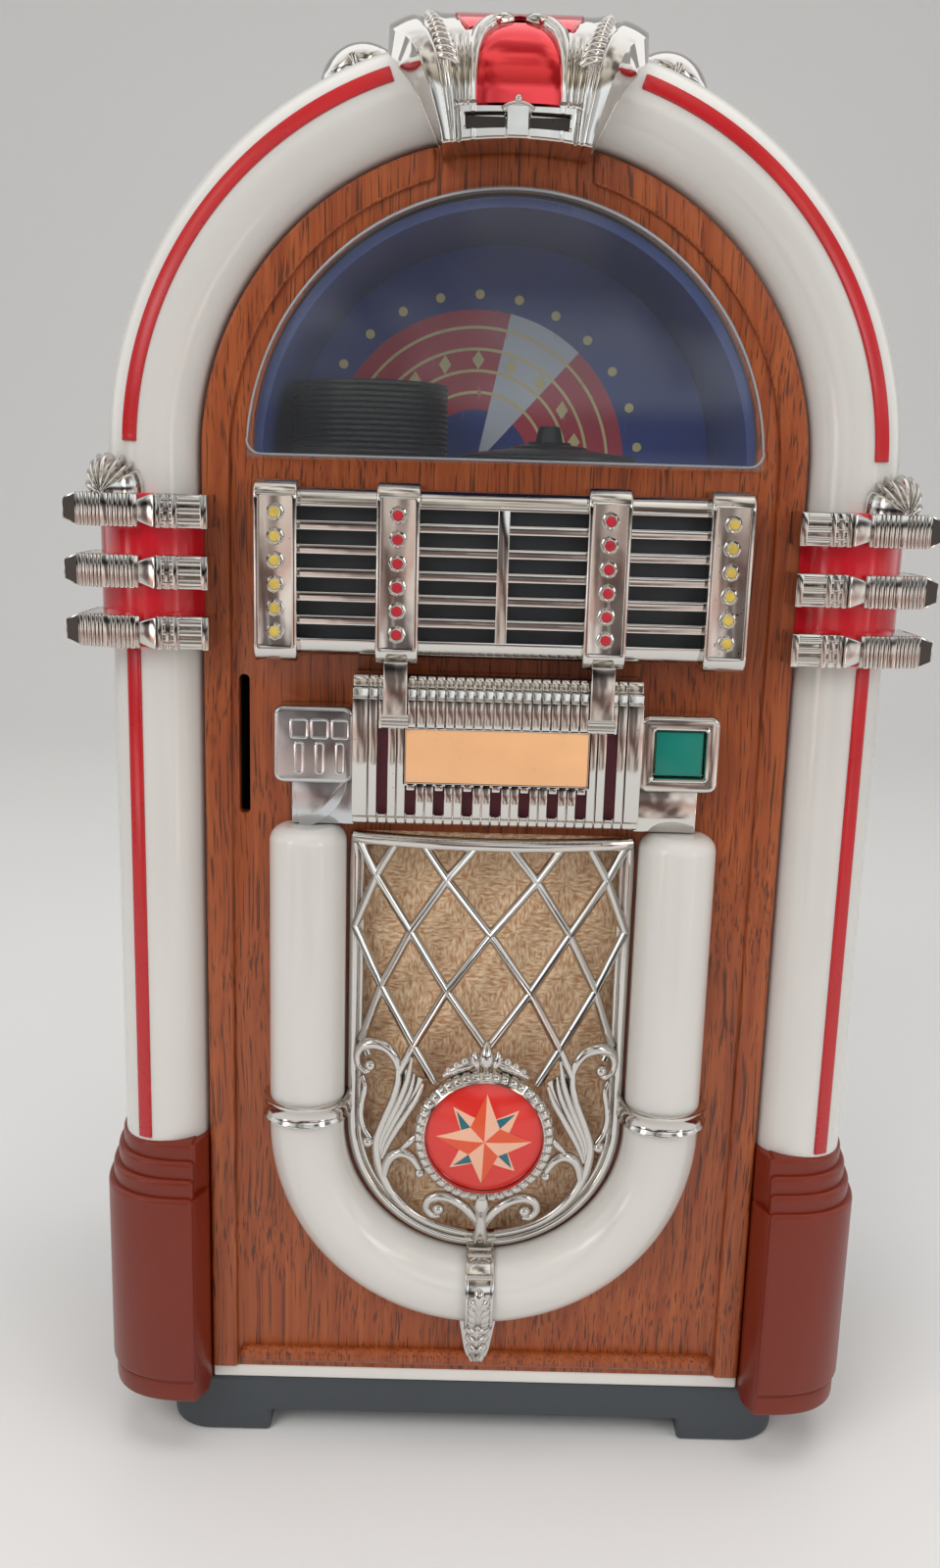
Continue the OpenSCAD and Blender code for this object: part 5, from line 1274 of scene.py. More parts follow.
@dataclass
class SidePlates:
    """Coin plate with raised marks, button plate with its framed well, and the bracket under each."""

    inner: float = 30.8
    outer: float = 47.8
    foot: float = 165.5
    top: float = 182.2
    out: float = 8.0
    corner: float = 2.0
    bracket_outer: float = 44.4
    bracket_foot: float = 155.5
    bracket_out: float = 4.0
    quarter_r: float = 12.2
    mark_xs: tuple[float, float, float] = (33.5, 37.9, 42.3)
    mark_half: float = 1.75
    mark_z: float = 177.4
    bar_half: float = 0.8
    bar_foot: float = 167.8
    bar_top: float = 174.4
    line_r: float = 0.3
    button_x: float = 39.3
    button_z: float = 173.85
    well: tuple[float, float] = (5.5, 5.2)

    def plate(self) -> Piece:
        """Builds a bare plate with its bracket, on the right-hand side.

        Returns:
            The joined plate.
        """
        plate = bevel(prism("plate", round_rect(self.inner, self.foot, self.outer, self.top, self.corner,
            6), 0.2, self.out), 0.9, 4)
        corner = (self.bracket_outer, self.foot + 1)
        shelf = bevel(prism("bracket", rect(self.inner, self.bracket_foot, *corner), 0.2,
            self.bracket_out - 0.7), 0.25, 2)
        quarter = bevel(prism("quarter", [corner] + arc(corner, self.quarter_r, 180, 262, 20), 1.0,
            self.bracket_out), 0.25, 2)
        return join("plate", [plate, shelf, quarter])

    def build(self) -> None:
        """Builds both plates, the marks and the button."""
        blank = self.plate()
        coin = mirrored(blank, "coin_plate")
        loops = [round_rect(-x - self.mark_half, self.mark_z - self.mark_half - 0.2, -x + self.mark_half,
            self.mark_z + self.mark_half + 0.2, 0.5, 3) for x in self.mark_xs]
        loops += [round_rect(-x - self.bar_half, self.bar_foot, -x + self.bar_half, self.bar_top, 0.6, 4)
            for x in self.mark_xs]
        marks = rods("coin_marks", [level(loop, self.out) for loop in loops], self.line_r, 2, True)
        dress(join("coin_plate", [coin, marks]), Stock.DIM_CHROME, "chrome", "coin_panel")
        wide, tall = self.well
        hollow = prism("well", round_rect(self.button_x - wide, self.button_z - tall, self.button_x + wide,
            self.button_z + tall, 0.5, 3), self.out - 2.4, self.out + 2)
        plate = bevel(cut(blank, hollow), 0.3, 2, 60)
        loop = round_rect(self.button_x - wide - 0.5, self.button_z - tall - 0.5,
            self.button_x + wide + 0.5, self.button_z + tall + 0.5, 0.8, 3)
        rim = rods("button_rim", [level(loop, self.out - 0.1)], 0.42, 2, True)
        dress(join("button_plate", [plate, rim]), Stock.CHROME, "chrome", "button_bezel")
        dress(softened("select_button", "green_button", 0.5), Stock.GREEN, "green_plastic", "select_button",
            body="button")


@dataclass
class Grille:
    """Bowed chrome casting: rim, lattice, scrolls with ball ends, and the stem under the medallion."""

    half: float = 31.8
    low: float = 84.5
    top: float = 153.6
    bow_r: float = 94.7
    front: float = 7.5
    rim: float = 1.25
    rod: float = 1.15
    rod_depth: float = 1.3
    ribbon: float = 1.5
    ribbon_depth: float = 0.95
    columns: tuple[float, ...] = (0.0, 10.0, 18.4, 25.9, 31.6)
    rows: tuple[float, ...] = (156.6, 144.1, 131.7, 118.2, 104.6, 91.2)
    wide_z: float = 150.0
    taper: float = 0.0022
    head_gap: float = 1.0
    medal_r: float = 16.2
    scroll_rise: float = 4.0
    scroll_slope: float = 0.45
    cloth_half: float = 29.8
    cloth_top: float = 153.2
    cloth_out: float = -2.6

    def out(self, x: float, z: float) -> float:
        """Distance of the front before the panel: a bowed barrel that ends in a dome below."""
        reach = abs(x) if z > self.low else hypot(x, z - self.low)
        return sqrt(self.bow_r ** 2 - reach ** 2) - (self.bow_r - self.front)

    def line(self, points: Sequence[tuple[float, ...]], lift: float = 0.0) -> Line:
        """Lays points of x, z and an optional share of the radius on the bow."""
        return [(spot(p[0], self.out(p[0], p[1]) + lift, p[1]), p[2] if len(p) > 2 else 1.0)
            for p in points]

    def shaped(self, piece: Piece, lift: float, share: float) -> Piece:
        """Deepens or flattens a piece about a line before the bow.

        Args:
            piece: A piece that follows the bow.
            lift: Distance of the line before the bow.
            share: What each point's distance from that line is multiplied by.

        Returns:
            The same piece.
        """
        for vertex in piece.data.vertices:
            middle = self.out(vertex.co.x / MM, vertex.co.z / MM) + lift
            away = FACE_Y - vertex.co.y / MM - middle
            vertex.co.y = (FACE_Y - middle - share * away) * MM
        return piece

    def build(self) -> None:
        """Builds the casting and the cloth behind it."""
        parts = [self.frame(), self.lattice()]
        right = self.scrolls()
        parts += [right, mirrored(right, "scrolls_left"), self.stem()]
        dress(join("grille_casting", parts), Stock.CHROME, "chrome", "speaker_grille", angle=50)
        self.cloth()

    def frame(self) -> Piece:
        """Builds the rim that follows the outline, with the wall behind it.

        Returns:
            The joined rim.
        """
        r = self.half - self.rim
        head = self.top - self.rim
        side = [(r, head - (head - self.low) * i / 12) for i in range(12)]
        outline = side + arc((0, self.low), r, 0, -180, 48) + [(-x, z) for x, z in reversed(side)]
        across = [(-r + 2 * r * i / 24, head) for i in range(1, 24)]
        hoop = rods("rim", [self.line(outline + across, -self.rim)], self.rim, 4, True)
        bead = rods("rim_bead", [self.line([(0.945 * x, self.low + 0.945 * (z - self.low) if z < self.low
            else z) for x, z in outline], -1.6)], 0.55, 2)
        bar = rods("head_bar", [self.line([(-r, head), *across, (r, head)], -0.9)], 1.6, 4)
        last = len(outline) - 1

        def wall(u: float, v: float) -> Vector:
            """Returns the wall's point at shares round the outline and through its depth."""
            x, z = outline[min(int(u * last + 0.5), last)]
            return spot(x, 0.2 + v * (self.out(x, z) - self.rim - 0.2), z)

        band = thick(surface("rim_wall", last, 2, wall), 1.4)
        return join("grille_frame", [hoop, bead, bar, band])

    def lattice(self) -> Piece:
        """Builds the crossed rods, each drawn from row to row through the columns.

        Returns:
            The joined rods.
        """
        last = len(self.columns) - 1
        starts = [(column, 0, way) for column in range(-last, last + 1, 2) for way in (1, -1)]
        starts += [(-way * last, row, way) for way in (1, -1) for row in (2, 4)]
        drawn = []
        for start, top, way in starts:
            places = ((start + way * i, z) for i, z in enumerate(self.rows[top:]))
            points = [(copysign(self.columns[abs(c)], c), z) for c, z in places if abs(c) <= last]
            points = self.trimmed([(x * (1 - self.taper * (self.wide_z - z)), z) for x, z in points])
            if len(points) > 1:
                drawn.append(self.line(points, -self.rod))
        return self.shaped(rods("lattice", drawn, self.rod, 2), -self.rod, self.rod_depth)

    def trimmed(self, points: list[Point2]) -> list[Point2]:
        """Keeps the stretch of a lattice rod under the head bar and above the medallion and the scrolls.

        Args:
            points: Knots of the rod.

        Returns:
            The points that stay, closely spaced.
        """
        fine = []
        for (x0, z0), (x1, z1) in zip(points, points[1:]):
            fine += [(x0 + (x1 - x0) * i / 8, z0 + (z1 - z0) * i / 8) for i in range(8)]
        fine.append(points[-1])
        return [(x, z) for x, z in fine if z < self.top - self.head_gap
            and hypot(x, z - self.low) > self.medal_r and z > self.low + self.scroll_rise
            + self.scroll_slope * abs(x)]

    def scrolls(self) -> Piece:
        """Builds the right-hand scrolls and their balls, placed from the medallion's middle.

        Returns:
            The joined scrolls.
        """
        top_curl = [(19.8, 13.6, .4), (20.6, 16.6, .7), (22.6, 19.1, .9), (25.5, 19.8, 1.),
            (28.2, 18.8, .9), (29.4, 16.5, .7), (29.1, 14.0, .55), (27.6, 12.7, .5), (26.3, 13.3, .4)]
        outer_rib = [(19.9, 14.3, .5), (20.0, 10.9, .6), (21.1, 6.6, .62), (23.2, 1.0, .62),
            (24.6, -3.5, .65), (24.7, -6.8, .7), (23.9, -11.2, .75), (21.8, -16.2, .75), (18.5, -20.5, .75),
            (14.5, -23.8, .7), (9.4, -26.1, .65), (3.4, -27.6, .6)]
        second_rib = [(16.8, 17.4, .2), (17.8, 11.7, .48), (19.4, 6.8, .5), (21.6, 1.5, .48),
            (23.5, -3.3, .42), (24.1, -7.3, .3)]
        third_rib = [(16.2, 13.6, .2), (16.9, 9.6, .42), (18.6, 5.3, .44), (21.0, 0.4, .42),
            (22.9, -4.0, .38), (23.7, -8.0, .25)]
        inner_rib = [(14.2, 11.4, .3), (15.4, 7.8, .52), (17.6, 3.8, .55), (20.1, -0.7, .52),
            (22.1, -4.8, .45), (23.4, -8.3, .35)]
        branch = [(28.4, 11.5, .4), (27.6, 8.8, .5), (28.3, 4.9, .55), (28.5, 1.7, .55), (27.8, -1.3, .5),
            (26.2, -3.8, .45)]
        low_curl = [(22.9, -12.8, .7), (22.1, -9.5, .78), (20.6, -7.2, .85), (18.4, -6.3, .85),
            (16.5, -7.2, .75), (15.2, -9.1, .6), (14.4, -10.6, .5)]
        leaf = [(19.0, -5.6, .3), (17.2, -3.6, .6), (15.6, -1.8, .4)]
        foot_curl = [(1.0, -25.2, .5), (1.6, -23.2, .65), (3.6, -20.2, .8), (6.4, -17.9, .85),
            (9.3, -17.0, .85), (12.0, -18.0, .8), (12.9, -20.5, .7), (11.5, -22.6, .6), (9.6, -22.6, .45)]
        garland = [(9.6, 13.6, .4), (7.6, 14.9, .75), (5.6, 15.9, .85), (3.7, 16.7, .85), (2.3, 17.8, .6),
            (1.3, 19.2, .35)]
        curves = (top_curl, outer_rib, second_rib, third_rib, inner_rib, branch, low_curl, leaf, foot_curl,
            garland)
        lines = [self.line([(x, self.low + z, s) for x, z, s in flow(curve, 6)], -0.35) for curve in curves]
        rolls = self.shaped(rods("scrolls", lines, self.ribbon, 4), -0.35, self.ribbon_depth)
        balls = ((26.4, 14.5, 1.45), (26.8, -4.6, 1.4), (14.5, -11.0, 1.2), (10.0, -20.6, 1.45),
            (2.9, 18.5, 1.0), (4.8, 17.6, 1.05), (6.7, 16.6, 0.95), (8.5, 15.3, .8))
        parts = [rolls, self.web(outer_rib[:6], inner_rib)]
        for x, z, r in balls:
            parts.append(ball("ball", spot(x, self.out(x, self.low + z) - 0.1, self.low + z), r, 10))
        return join("scrolls", parts)

    def web(self, outer: Sequence[tuple[float, ...]], inner: Sequence[tuple[float, ...]]) -> Piece:
        """Builds the thin wall behind the ribs.

        Args:
            outer: Knots of the outer rib.
            inner: Knots of the inner rib.

        Returns:
            The wall.
        """
        one, two = flow(outer, 6), flow(inner, 6)
        last = min(len(one), len(two)) - 1

        def place(u: float, v: float) -> Vector:
            """Returns the wall's point at shares across and along the ribs."""
            x, z, _ = (a + u * (b - a) for a, b in zip(one[round(v * last)], two[round(v * last)]))
            return spot(x, self.out(x, self.low + z) - 2.6, self.low + z)

        return thick(surface("web", 6, last, place), 0.8)

    def stem(self) -> Piece:
        """Builds the leaf-shaped stem from the medallion to the foot of the rim.

        Returns:
            The stem.
        """
        curve = [(0.0, -14.5, .5), (0.0, -17.0, 1.), (0.0, -19.2, 1.25), (0.0, -22.0, .9),
            (0.0, -26.0, 1.1), (0.0, -29.0, 1.3)]
        return rods("stem", [self.line([(x, self.low + z, s) for x, z, s in flow(curve, 5)], -0.3)], 1.5, 5)

    def cloth(self) -> None:
        """Stretches the brocade cloth across the opening behind the casting."""
        half, head, low, out = self.cloth_half, self.cloth_top, self.low, self.cloth_out
        foot = low - half

        def place(u: float, v: float) -> Vector:
            """Finds a point of the cloth, with the faint sag of its weave.

            Args:
                u: Share of the width.
                v: Share of the height.

            Returns:
                The point in the frame.
            """
            z = foot + 0.05 + v * (head - foot - 0.05)
            wide = half if z > low else sqrt(max(half ** 2 - (low - z) ** 2, 0.01))
            x = (2 * u - 1) * wide
            sag = 0.12 * sin(x * 0.45) * sin(z * 0.31) + 0.06 * sin(x * 1.3 + z * 0.9)
            return spot(x, out + sag, z)

        sheet = thick(surface("brocade_cloth", 48, 80, place), 0.5)
        dress(sheet, Stock.CLOTH, "cloth", "speaker_cloth", angle=60)


@dataclass
class Medallion:
    """Red lacquer dome with an inlaid compass star, in a bezel of small facets under a crown bud."""

    z: float = 84.5
    radius: float = 13.3
    top: float = 11.6
    dome: float = 2.6
    bezel_r: float = 15.9
    bezel_out: float = 10.4
    teeth: int = 44
    long_tip: float = 10.95
    short_tip: float = 10.5
    notch_r: float = 4.7
    short_notch: Point2 = (5.9, 22.5)
    lean: float = 2.0
    bud_z: float = 103.6

    def height(self, rho: float) -> float:
        """Distance of the dome before the panel at a distance from its middle."""
        ball = (self.radius ** 2 + self.dome ** 2) / (2 * self.dome)
        return self.top - ball + sqrt(ball ** 2 - rho ** 2)

    def build(self) -> None:
        """Builds the dome, the bezel, the bud and the star."""
        rim = self.radius - 0.15
        profile = [(0.0, self.height(0) - 3.4), (rim, self.height(0) - 3.4)]
        profile += [(rim * cos(radians(a)), self.height(rim * cos(radians(a))))
            for a in range(0, 90, 5)] + [(0.0, self.height(0))]
        centre = spot(0, 0, self.z)
        dress(faced("medallion_face", profile, 0, self.z, 72), Stock.MEDAL, "red_plastic", "medallion")
        r, edge, out = self.radius, self.bezel_r, self.bezel_out
        hoop = [(r, 6.3), (r, out - 0.7), (r + 0.3, out - 0.2), (r + 0.7, out - 0.5),
            (edge - 0.3, out - 1.5), (edge - 0.3, 6.3)]
        band = faced("hoop", hoop, 0, self.z, 72, True)
        wide = 0.38 * tau * (edge - 1.2) / self.teeth
        side = [(r + 0.75, out - 2.6), (edge, out - 2.6), (edge, out - 1.3), (edge - 0.5, out - 0.45),
            (r + 1.1, out), (r + 0.75, out - 0.3)]
        tooth = prism("tooth", side, -wide, wide, Plane.SIDE)
        for vertex in tooth.data.vertices:
            x, reach, rise = vertex.co.x, FACE_Y - vertex.co.y / MM, vertex.co.z / MM
            vertex.co = spot(reach, rise, self.z) + Vector((0, 0, x))
        close(bevel(tooth, 0.25, 2))
        turns = [Matrix.Translation(centre) @ Matrix.Rotation(tau * i / self.teeth, 4, "Y")
            @ Matrix.Translation(-centre) for i in range(self.teeth)]
        teeth = repeat(tooth, "teeth", turns)
        dress(join("medallion_ring", [band, teeth, self.bud()]), Stock.CHROME, "chrome", "medallion_bezel")
        self.star()

    def bud(self) -> Piece:
        """Builds the bud on top of the bezel, with a smaller one on each side.

        Returns:
            The joined buds.
        """
        middle = [(0.0, -3.4, .5), (0.0, -2.0, 1.05), (0.0, -0.4, 1.3), (0.0, 1.2, 1.0), (0.0, 2.6, .5),
            (0.0, 3.5, .12)]
        sides = [[(way * x, z, s) for x, z, s in ((1.7, -3.3, .4), (2.3, -1.7, .75), (2.7, -0.1, .6),
            (2.6, 1.3, .15))] for way in (-1, 1)]
        return rods("crown_bud", [[(spot(x, 7.9, self.bud_z + z), s) for x, z, s in flow(line, 4)]
            for line in (middle, *sides)], 1.35, 5)

    def facet(self, tip: Point2, notch: Point2, lift: float) -> Piece:
        """Builds one inlaid half of a star point, which follows the dome.

        Args:
            tip: Place of the tip from the dome's middle.
            notch: Place of the notch.
            lift: Height above the dome.

        Returns:
            The facet.
        """
        def place(u: float, v: float) -> Vector:
            """Returns the point at shares towards the tip and towards the notch."""
            x, z = (u * tip[i] + (1 - u) * v * notch[i] for i in (0, 1))
            return spot(x, self.height(hypot(x, z)) + lift, self.z + z)

        return thick(close(surface("facet", 8, 4, place), fill=False), 0.1)

    def half_point(self, angle: float, reach: float, base: float, spread: float, lift: float) -> Piece:
        """Builds half a star point.

        Args:
            angle: Angle of its tip, in radians.
            reach: Distance of the tip from the middle.
            base: Distance of the notch from the middle.
            spread: Degrees from the tip to the notch.
            lift: Height above the dome.

        Returns:
            The facet.
        """
        turn = angle + radians(spread)
        return self.facet((reach * cos(angle), reach * sin(angle)), (base * cos(turn), base * sin(turn)),
            lift)

    def star(self) -> None:
        """Lays the star: four long points in cream and coral over four short ones in cream and teal."""
        groups: dict[str, list[Piece]] = {"cream": [], "coral": [], "teal": []}
        for i in range(8):
            long = i % 2 == 0
            reach = self.long_tip if long else self.short_tip
            angle = pi / 2 - i * pi / 4 - radians(self.lean)
            base, spread = (self.notch_r, 45.0) if long else self.short_notch
            for way, tone in ((1, "coral" if long else "cream"), (-1, "cream")):
                groups[tone].append(self.half_point(angle, reach, base, way * spread,
                    0.1 if long else 0.03))
            if not long:
                groups["teal"].append(self.half_point(angle, reach - 1.1, base, 0.88 * spread, 0.07))
        for tone, finish in (("cream", Stock.CREAM), ("coral", Stock.CORAL), ("teal", Stock.TEAL)):
            dress(join("star_" + tone, groups[tone]), finish,
                "cream_plastic" if tone == "cream" else "red_plastic")


@dataclass
class BubbleTubes:
    """Opal tubes round the grille: two uprights, the bend between them, the collars and the tail clasp."""

    x: float = 40.8
    out: float = 3.0
    radius: float = 8.5
    low: float = 84.5
    joint: float = 89.5
    top: float = 155.2
    cap: float = 3.6
    collar_foot: float = 87.0
    collar_top: float = 92.0
    collar_r: float = 10.15
    strap_half: float = 3.25
    strap_t: float = 1.8
    foot_z: float = 21.4
    foot_half: float = 4.4

    def trim(self, piece: Piece) -> Piece:
        """Cuts away what lies behind the panel's face."""
        block = prism("behind", rect(-120, -20, 120, 330), -40, 0.05)
        return close(cut(piece, block))

    def build(self) -> None:
        """Builds the tubes, the collars and the clasp."""
        profile = [(0.0, self.joint + 0.2), (self.radius, self.joint + 0.2)]
        profile += arc((self.radius - self.cap, self.top - self.cap), self.cap, 0, 90,
            8) + [(0.0, self.top)]
        right = self.trim(turned("tube_right", profile, self.x, self.out, 48))
        dress(join("upright_tubes", [right, mirrored(right, "tube_left")]), Stock.OPAL, "white_plastic",
            "upper_tubes")
        curve = [(-self.x, self.joint), (-self.x, self.low + 2.5)] + arc((0, self.low), self.x, 180, 360,
            72)
        curve += [(self.x, self.low + 2.5), (self.x, self.joint)]
        bend = rods("tube_bend", [level(curve, self.out)], self.radius, 14)
        dress(self.trim(close(bend)), Stock.OPAL, "white_plastic", "u_bend")
        r, a, b = self.radius, self.collar_foot, self.collar_top
        edge = [(r - 0.2, a), (r + 1.2, a), (self.collar_r, a + 0.35), (self.collar_r, a + 0.8),
            (r + 1.3, a + 1.1)]
        edge += [(w, a + b - h) for w, h in reversed(edge)]
        collar = self.trim(turned("collar_right", edge, self.x, self.out, 48, True))
        dress(join("collars", [collar, mirrored(collar, "collar_left")]), Stock.CHROME, "chrome",
            "tube_collars", angle=50)
        dress(self.clasp(), Stock.CHROME, "chrome", "tail_clasp", angle=40)

    def clasp(self) -> Piece:
        """Builds the strap over the bend with its rims, and the pointed foot under it.

        Returns:
            The joined clasp.
        """
        hub = (self.out, self.low - self.x)
        inner, outer = self.radius + 0.05, self.radius + self.strap_t

        def band(low: float, high: float, reach: float) -> Piece:
            """Returns a band round the bend between two places across."""
            side = arc(hub, inner, -108, 100, 36) + arc(hub, reach, 100, -108, 36)
            return bevel(self.trim(prism("strap", side, low, high, Plane.SIDE)), 0.25, 2)

        half = self.strap_half
        bands = [band(-half, half, outer - 0.6), band(-half, -half + 0.7, outer - 0.1),
            band(half - 0.7, half, outer - 0.1)]
        w, z = self.foot_half, self.foot_z
        shield = [(0.0, z), (0.5 * w, z + 0.8), (0.72 * w, z + 4.0), (w, z + 11.2), (0.9 * w, z + 12.4),
            (-0.9 * w, z + 12.4), (-w, z + 11.2), (-0.72 * w, z + 4.0), (-0.5 * w, z + 0.8)]
        plate = bevel(prism("foot", shield, 0.2, 1.7), 0.35, 3)
        rolls = [[(self.on_bend(-half + 0.3, a, outer - 0.7), 1.0),
            (self.on_bend(half - 0.3, a, outer - 0.7), 1.0)] for a in (84, 72, 40)]
        rolls.append(level([(-w + 0.6, z + 12.0), (w - 0.6, z + 12.0)], 1.9))
        bud = [(self.on_bend(0.0, a, outer - 1.75), s) for a, s in ((31, .3), (25, .8), (16, 1.0), (6, 1.0),
            (-5, .7), (-16, .15))]
        leaves = []
        for way in (-1, 1):
            for a in (2, -12, -26, -40, -54):
                leaves.append([(self.on_bend(way * x, a + rise, outer - 0.95), s)
                    for x, rise, s in ((0.35, -9, .4), (1.1, -3, .9), (1.8, 4, 1.0), (2.4, 11, .5))])
            for i in range(4):
                wide = w - 0.7 - 0.62 * i
                leaves.append([(spot(way * x * wide, out, z + 9.6 - 2.55 * i + rise), s)
                    for x, out, rise, s in ((0.1, 2.0, -1.0, .5), (0.45, 2.0, -0.4, 1.15),
                    (0.8, 1.7, 0.5, .9))])
        return join("tail_strap", [*bands, plate, rods("rolls", rolls, 0.7, 4), rods("bud", [bud], 1.7, 5),
            rods("leaves", leaves, 0.95, 3)])

    def on_bend(self, x: float, angle: float, reach: float) -> Vector:
        """Returns a point round the bend's section, at an angle in degrees up from its front."""
        turn = radians(angle)
        return spot(x, self.out + reach * cos(turn), self.low - self.x + reach * sin(turn))


@dataclass
class Window:
    """Clear bulged pane with a rounded lip in opaque light grey, a painted highlight, and behind it the bay
    with a card, a stack and a record.
    """

    arch: float = 233.5
    foot: float = 234.3
    rim_r: float = 54.25
    cap_r: float = 52.9
    flange: float = 1.1
    swell: float = 6.7
    wall: float = 1.0
    card_out: float = -48.4
    card_r: float = 50.8
    stack_x: float = -30.0
    stack_out: float = RECORD_OUT
    stack_r: float = 17.4
    stack_foot: float = 233.9
    discs: int = 14
    disc_h: float = 1.2
    record_x: float = RECORD_X
    record_r: float = 20.0

    def build(self) -> None:
        """Builds the pane, the card, the stack and the record."""
        pane = self.pane()
        dress(pane, Stock.CLEAR, "clear_plastic", "window_lens", angle=25)
        pane.visible_shadow = False
        self.edge()
        dress(taken("record_bay", "bay_lining"), Stock.BAY, "pale_plastic", "record_bay")
        self.card()
        self.stack()
        self.record()

    def bulge(self, reach: float) -> float:
        """Finds how far the pane's face lies before the panel.

        Args:
            reach: Distance from the middle of its foot.

        Returns:
            The distance.
        """
        if reach > self.cap_r:
            return self.flange
        ball = (self.cap_r ** 2 + self.swell ** 2) / (2 * self.swell)
        return self.flange + sqrt(ball ** 2 - reach ** 2) - (ball - self.swell)

    def pane(self) -> Piece:
        """Builds the bulged half disc and the flat sill under it.

        Returns:
            The joined pane.
        """
        low = self.foot - 0.3

        def dome(u: float, v: float) -> Vector:
            """Returns the pane's point at shares round the arch and from its middle to its edge."""
            reach, turn = self.rim_r * max(v, 0.004), pi * u
            return spot(reach * cos(turn), self.bulge(reach), low + reach * sin(turn))

        def sill(u: float, v: float) -> Vector:
            """Returns the sill's point at shares across it and out from the panel."""
            x = self.rim_r * (2 * u - 1)
            return spot(x, 0.1 + v * (self.bulge(abs(x)) - 0.3), low)

        parts = []
        for name, rows, place in (("dome", 40, dome), ("sill", 4, sill)):
            sheet = close(surface("pane_" + name, 96, rows, place), fill=False)
            parts.append(thick(sheet, self.wall, -1.0 if name == "dome" else 0.0))
        return join("window_pane", parts)

    def edge(self) -> None:
        """Rounds the pane's edge with a lip whose opaque light grey is a painted highlight, with soft lower
        corners.
        """
        r, c = self.rim_r, 3.0
        loop = arc((0, self.arch), r, 4, 176, 80) + arc((-r + c, self.foot + c), c, 180, 270, 6)
        loop += arc((r - c, self.foot + c), c, 270, 360, 6)
        rim = rods("pane_lip_painted_highlight", [level(loop, 0.5)], 0.28, 3, True)
        # The lip's shape is real, but its opaque light grey stands in for the light that the clear edge
        # catches: a painted highlight.
        dress(rim, Stock.EDGE, "clear_plastic")
        rim.visible_shadow = False

    def ink(self, name: str, outline: Sequence[Point2], finish: Finish, layer: int) -> None:
        """Prints one flat shape on the card, a hair before the layer under it."""
        front = self.card_out + 0.08 * layer
        dress(prism(name, outline, front - 0.06, front), finish, "card")

    def card(self) -> None:
        """Builds the printed card: a navy field with plain nested arches, a pale sail and rows of dots."""
        low = self.arch + 0.6
        sheet = prism("bay_card", arc((0, low), self.card_r, 0, 180, 64), self.card_out - 0.6,
            self.card_out)
        dress(bevel(sheet, 0.1, 1), Stock.NAVY, "card", "window_card")
        hub = (-6.0, low)
        self.ink("print_arch", arc(hub, 36.0, 0, 180, 48) + arc(hub, 13.0, 180, 0, 32), Stock.BURGUNDY, 1)
        self.ink("print_sail", [hub] + arc(hub, 36.0, 48, 78, 16), Stock.PALE_INK, 2)
        for i, radius in enumerate((17.0, 22.0, 27.0, 32.0)):
            self.ink(f"print_hoop_{i}", arc(hub, radius + 0.35, 0, 180, 48)
                + arc(hub, radius - 0.35, 180, 0, 48), Stock.GOLD_INK, 3)
        for i in range(13):
            at = arc(hub, 39.5, 7.5 + 13.75 * i, 7.5 + 13.75 * i, 1)[0]
            if hypot(at[0], at[1] - low) < self.card_r - 2:
                self.ink(f"print_dot_{i}", arc(at, 1.1, 0, 345, 23), Stock.GOLD_INK, 3)
        for i in range(9):
            at = arc(hub, 24.5, 14 + 19 * i, 14 + 19 * i, 1)[0]
            self.ink(f"print_lozenge_{i}", [(at[0] - 1.5, at[1]), (at[0], at[1] - 2.2),
                (at[0] + 1.5, at[1]), (at[0], at[1] + 2.2)], Stock.GOLD_INK, 4)

    def stack(self) -> None:
        """Builds the pile of records with rounded rims."""
        r = self.stack_r
        profile = [(0.0, self.stack_foot)]
        for i in range(self.discs):
            z = self.stack_foot + i * self.disc_h
            profile += [(r - 0.6, z), (r - 0.12, z + 0.16), (r, z + 0.4), (r, z + 0.8),
                (r - 0.12, z + 1.02), (r - 0.6, z + 1.18)]
        top = self.stack_foot + self.discs * self.disc_h
        profile += [(6.0, top - 0.05), (5.6, top - 0.4), (0.0, top - 0.4)]
        pile = turned("record_pile", profile, self.stack_x, self.stack_out, 72)
        dress(pile, Stock.BLACK, "black_plastic", "record_stack", angle=50)

    def record(self) -> None:
        """Builds the low cone of the turning record and its tapered spindle."""
        x, out = self.record_x, self.stack_out
        shape = [(0.0, 235.1), (self.record_r, 235.1), (self.record_r, 235.7), (self.record_r - 0.5, 236.0),
            (9.0, 237.5), (8.4, 238.0), (5.2, 238.5), (4.8, 239.0), (0.0, 239.0)]
        dress(turned("playing_record", shape, x, out, 72), Stock.VINYL, "black_plastic", "record_disc",
            body="record", angle=25)
        post = [(0.0, 214.0), (1.4, 214.0), (1.4, 238.6), (3.2, 238.8), (3.1, 239.4), (2.5, 242.0),
            (2.2, 242.5), (0.0, 242.6)]
        dress(turned("spindle", post, x, out, 40), Stock.BLACK, "black_plastic", "turntable_shaft",
            body="record")


def ramp(knots: Sequence[Point2], at: float) -> float:
    """Reads a value between knots of place and value.

    Args:
        knots: Places and values, in order.
        at: Place to read.

    Returns:
        The value.
    """
    for (a, p), (b, q) in zip(knots, knots[1:]):
        if at <= b:
            return p + (q - p) * max(0.0, (at - a) / (b - a))
    return knots[-1][1]


def clamp(value: float) -> float:
    """Holds a value between 0 and 1."""
    return max(0.0, min(1.0, value))


def swell(at: float, middle: float, half: float) -> float:
    """Height of a rounded ridge: 1 at its middle and 0 beyond its half width."""
    share = (at - middle) / half
    return cos(share * pi / 2) ** 2 if abs(share) < 1 else 0.0


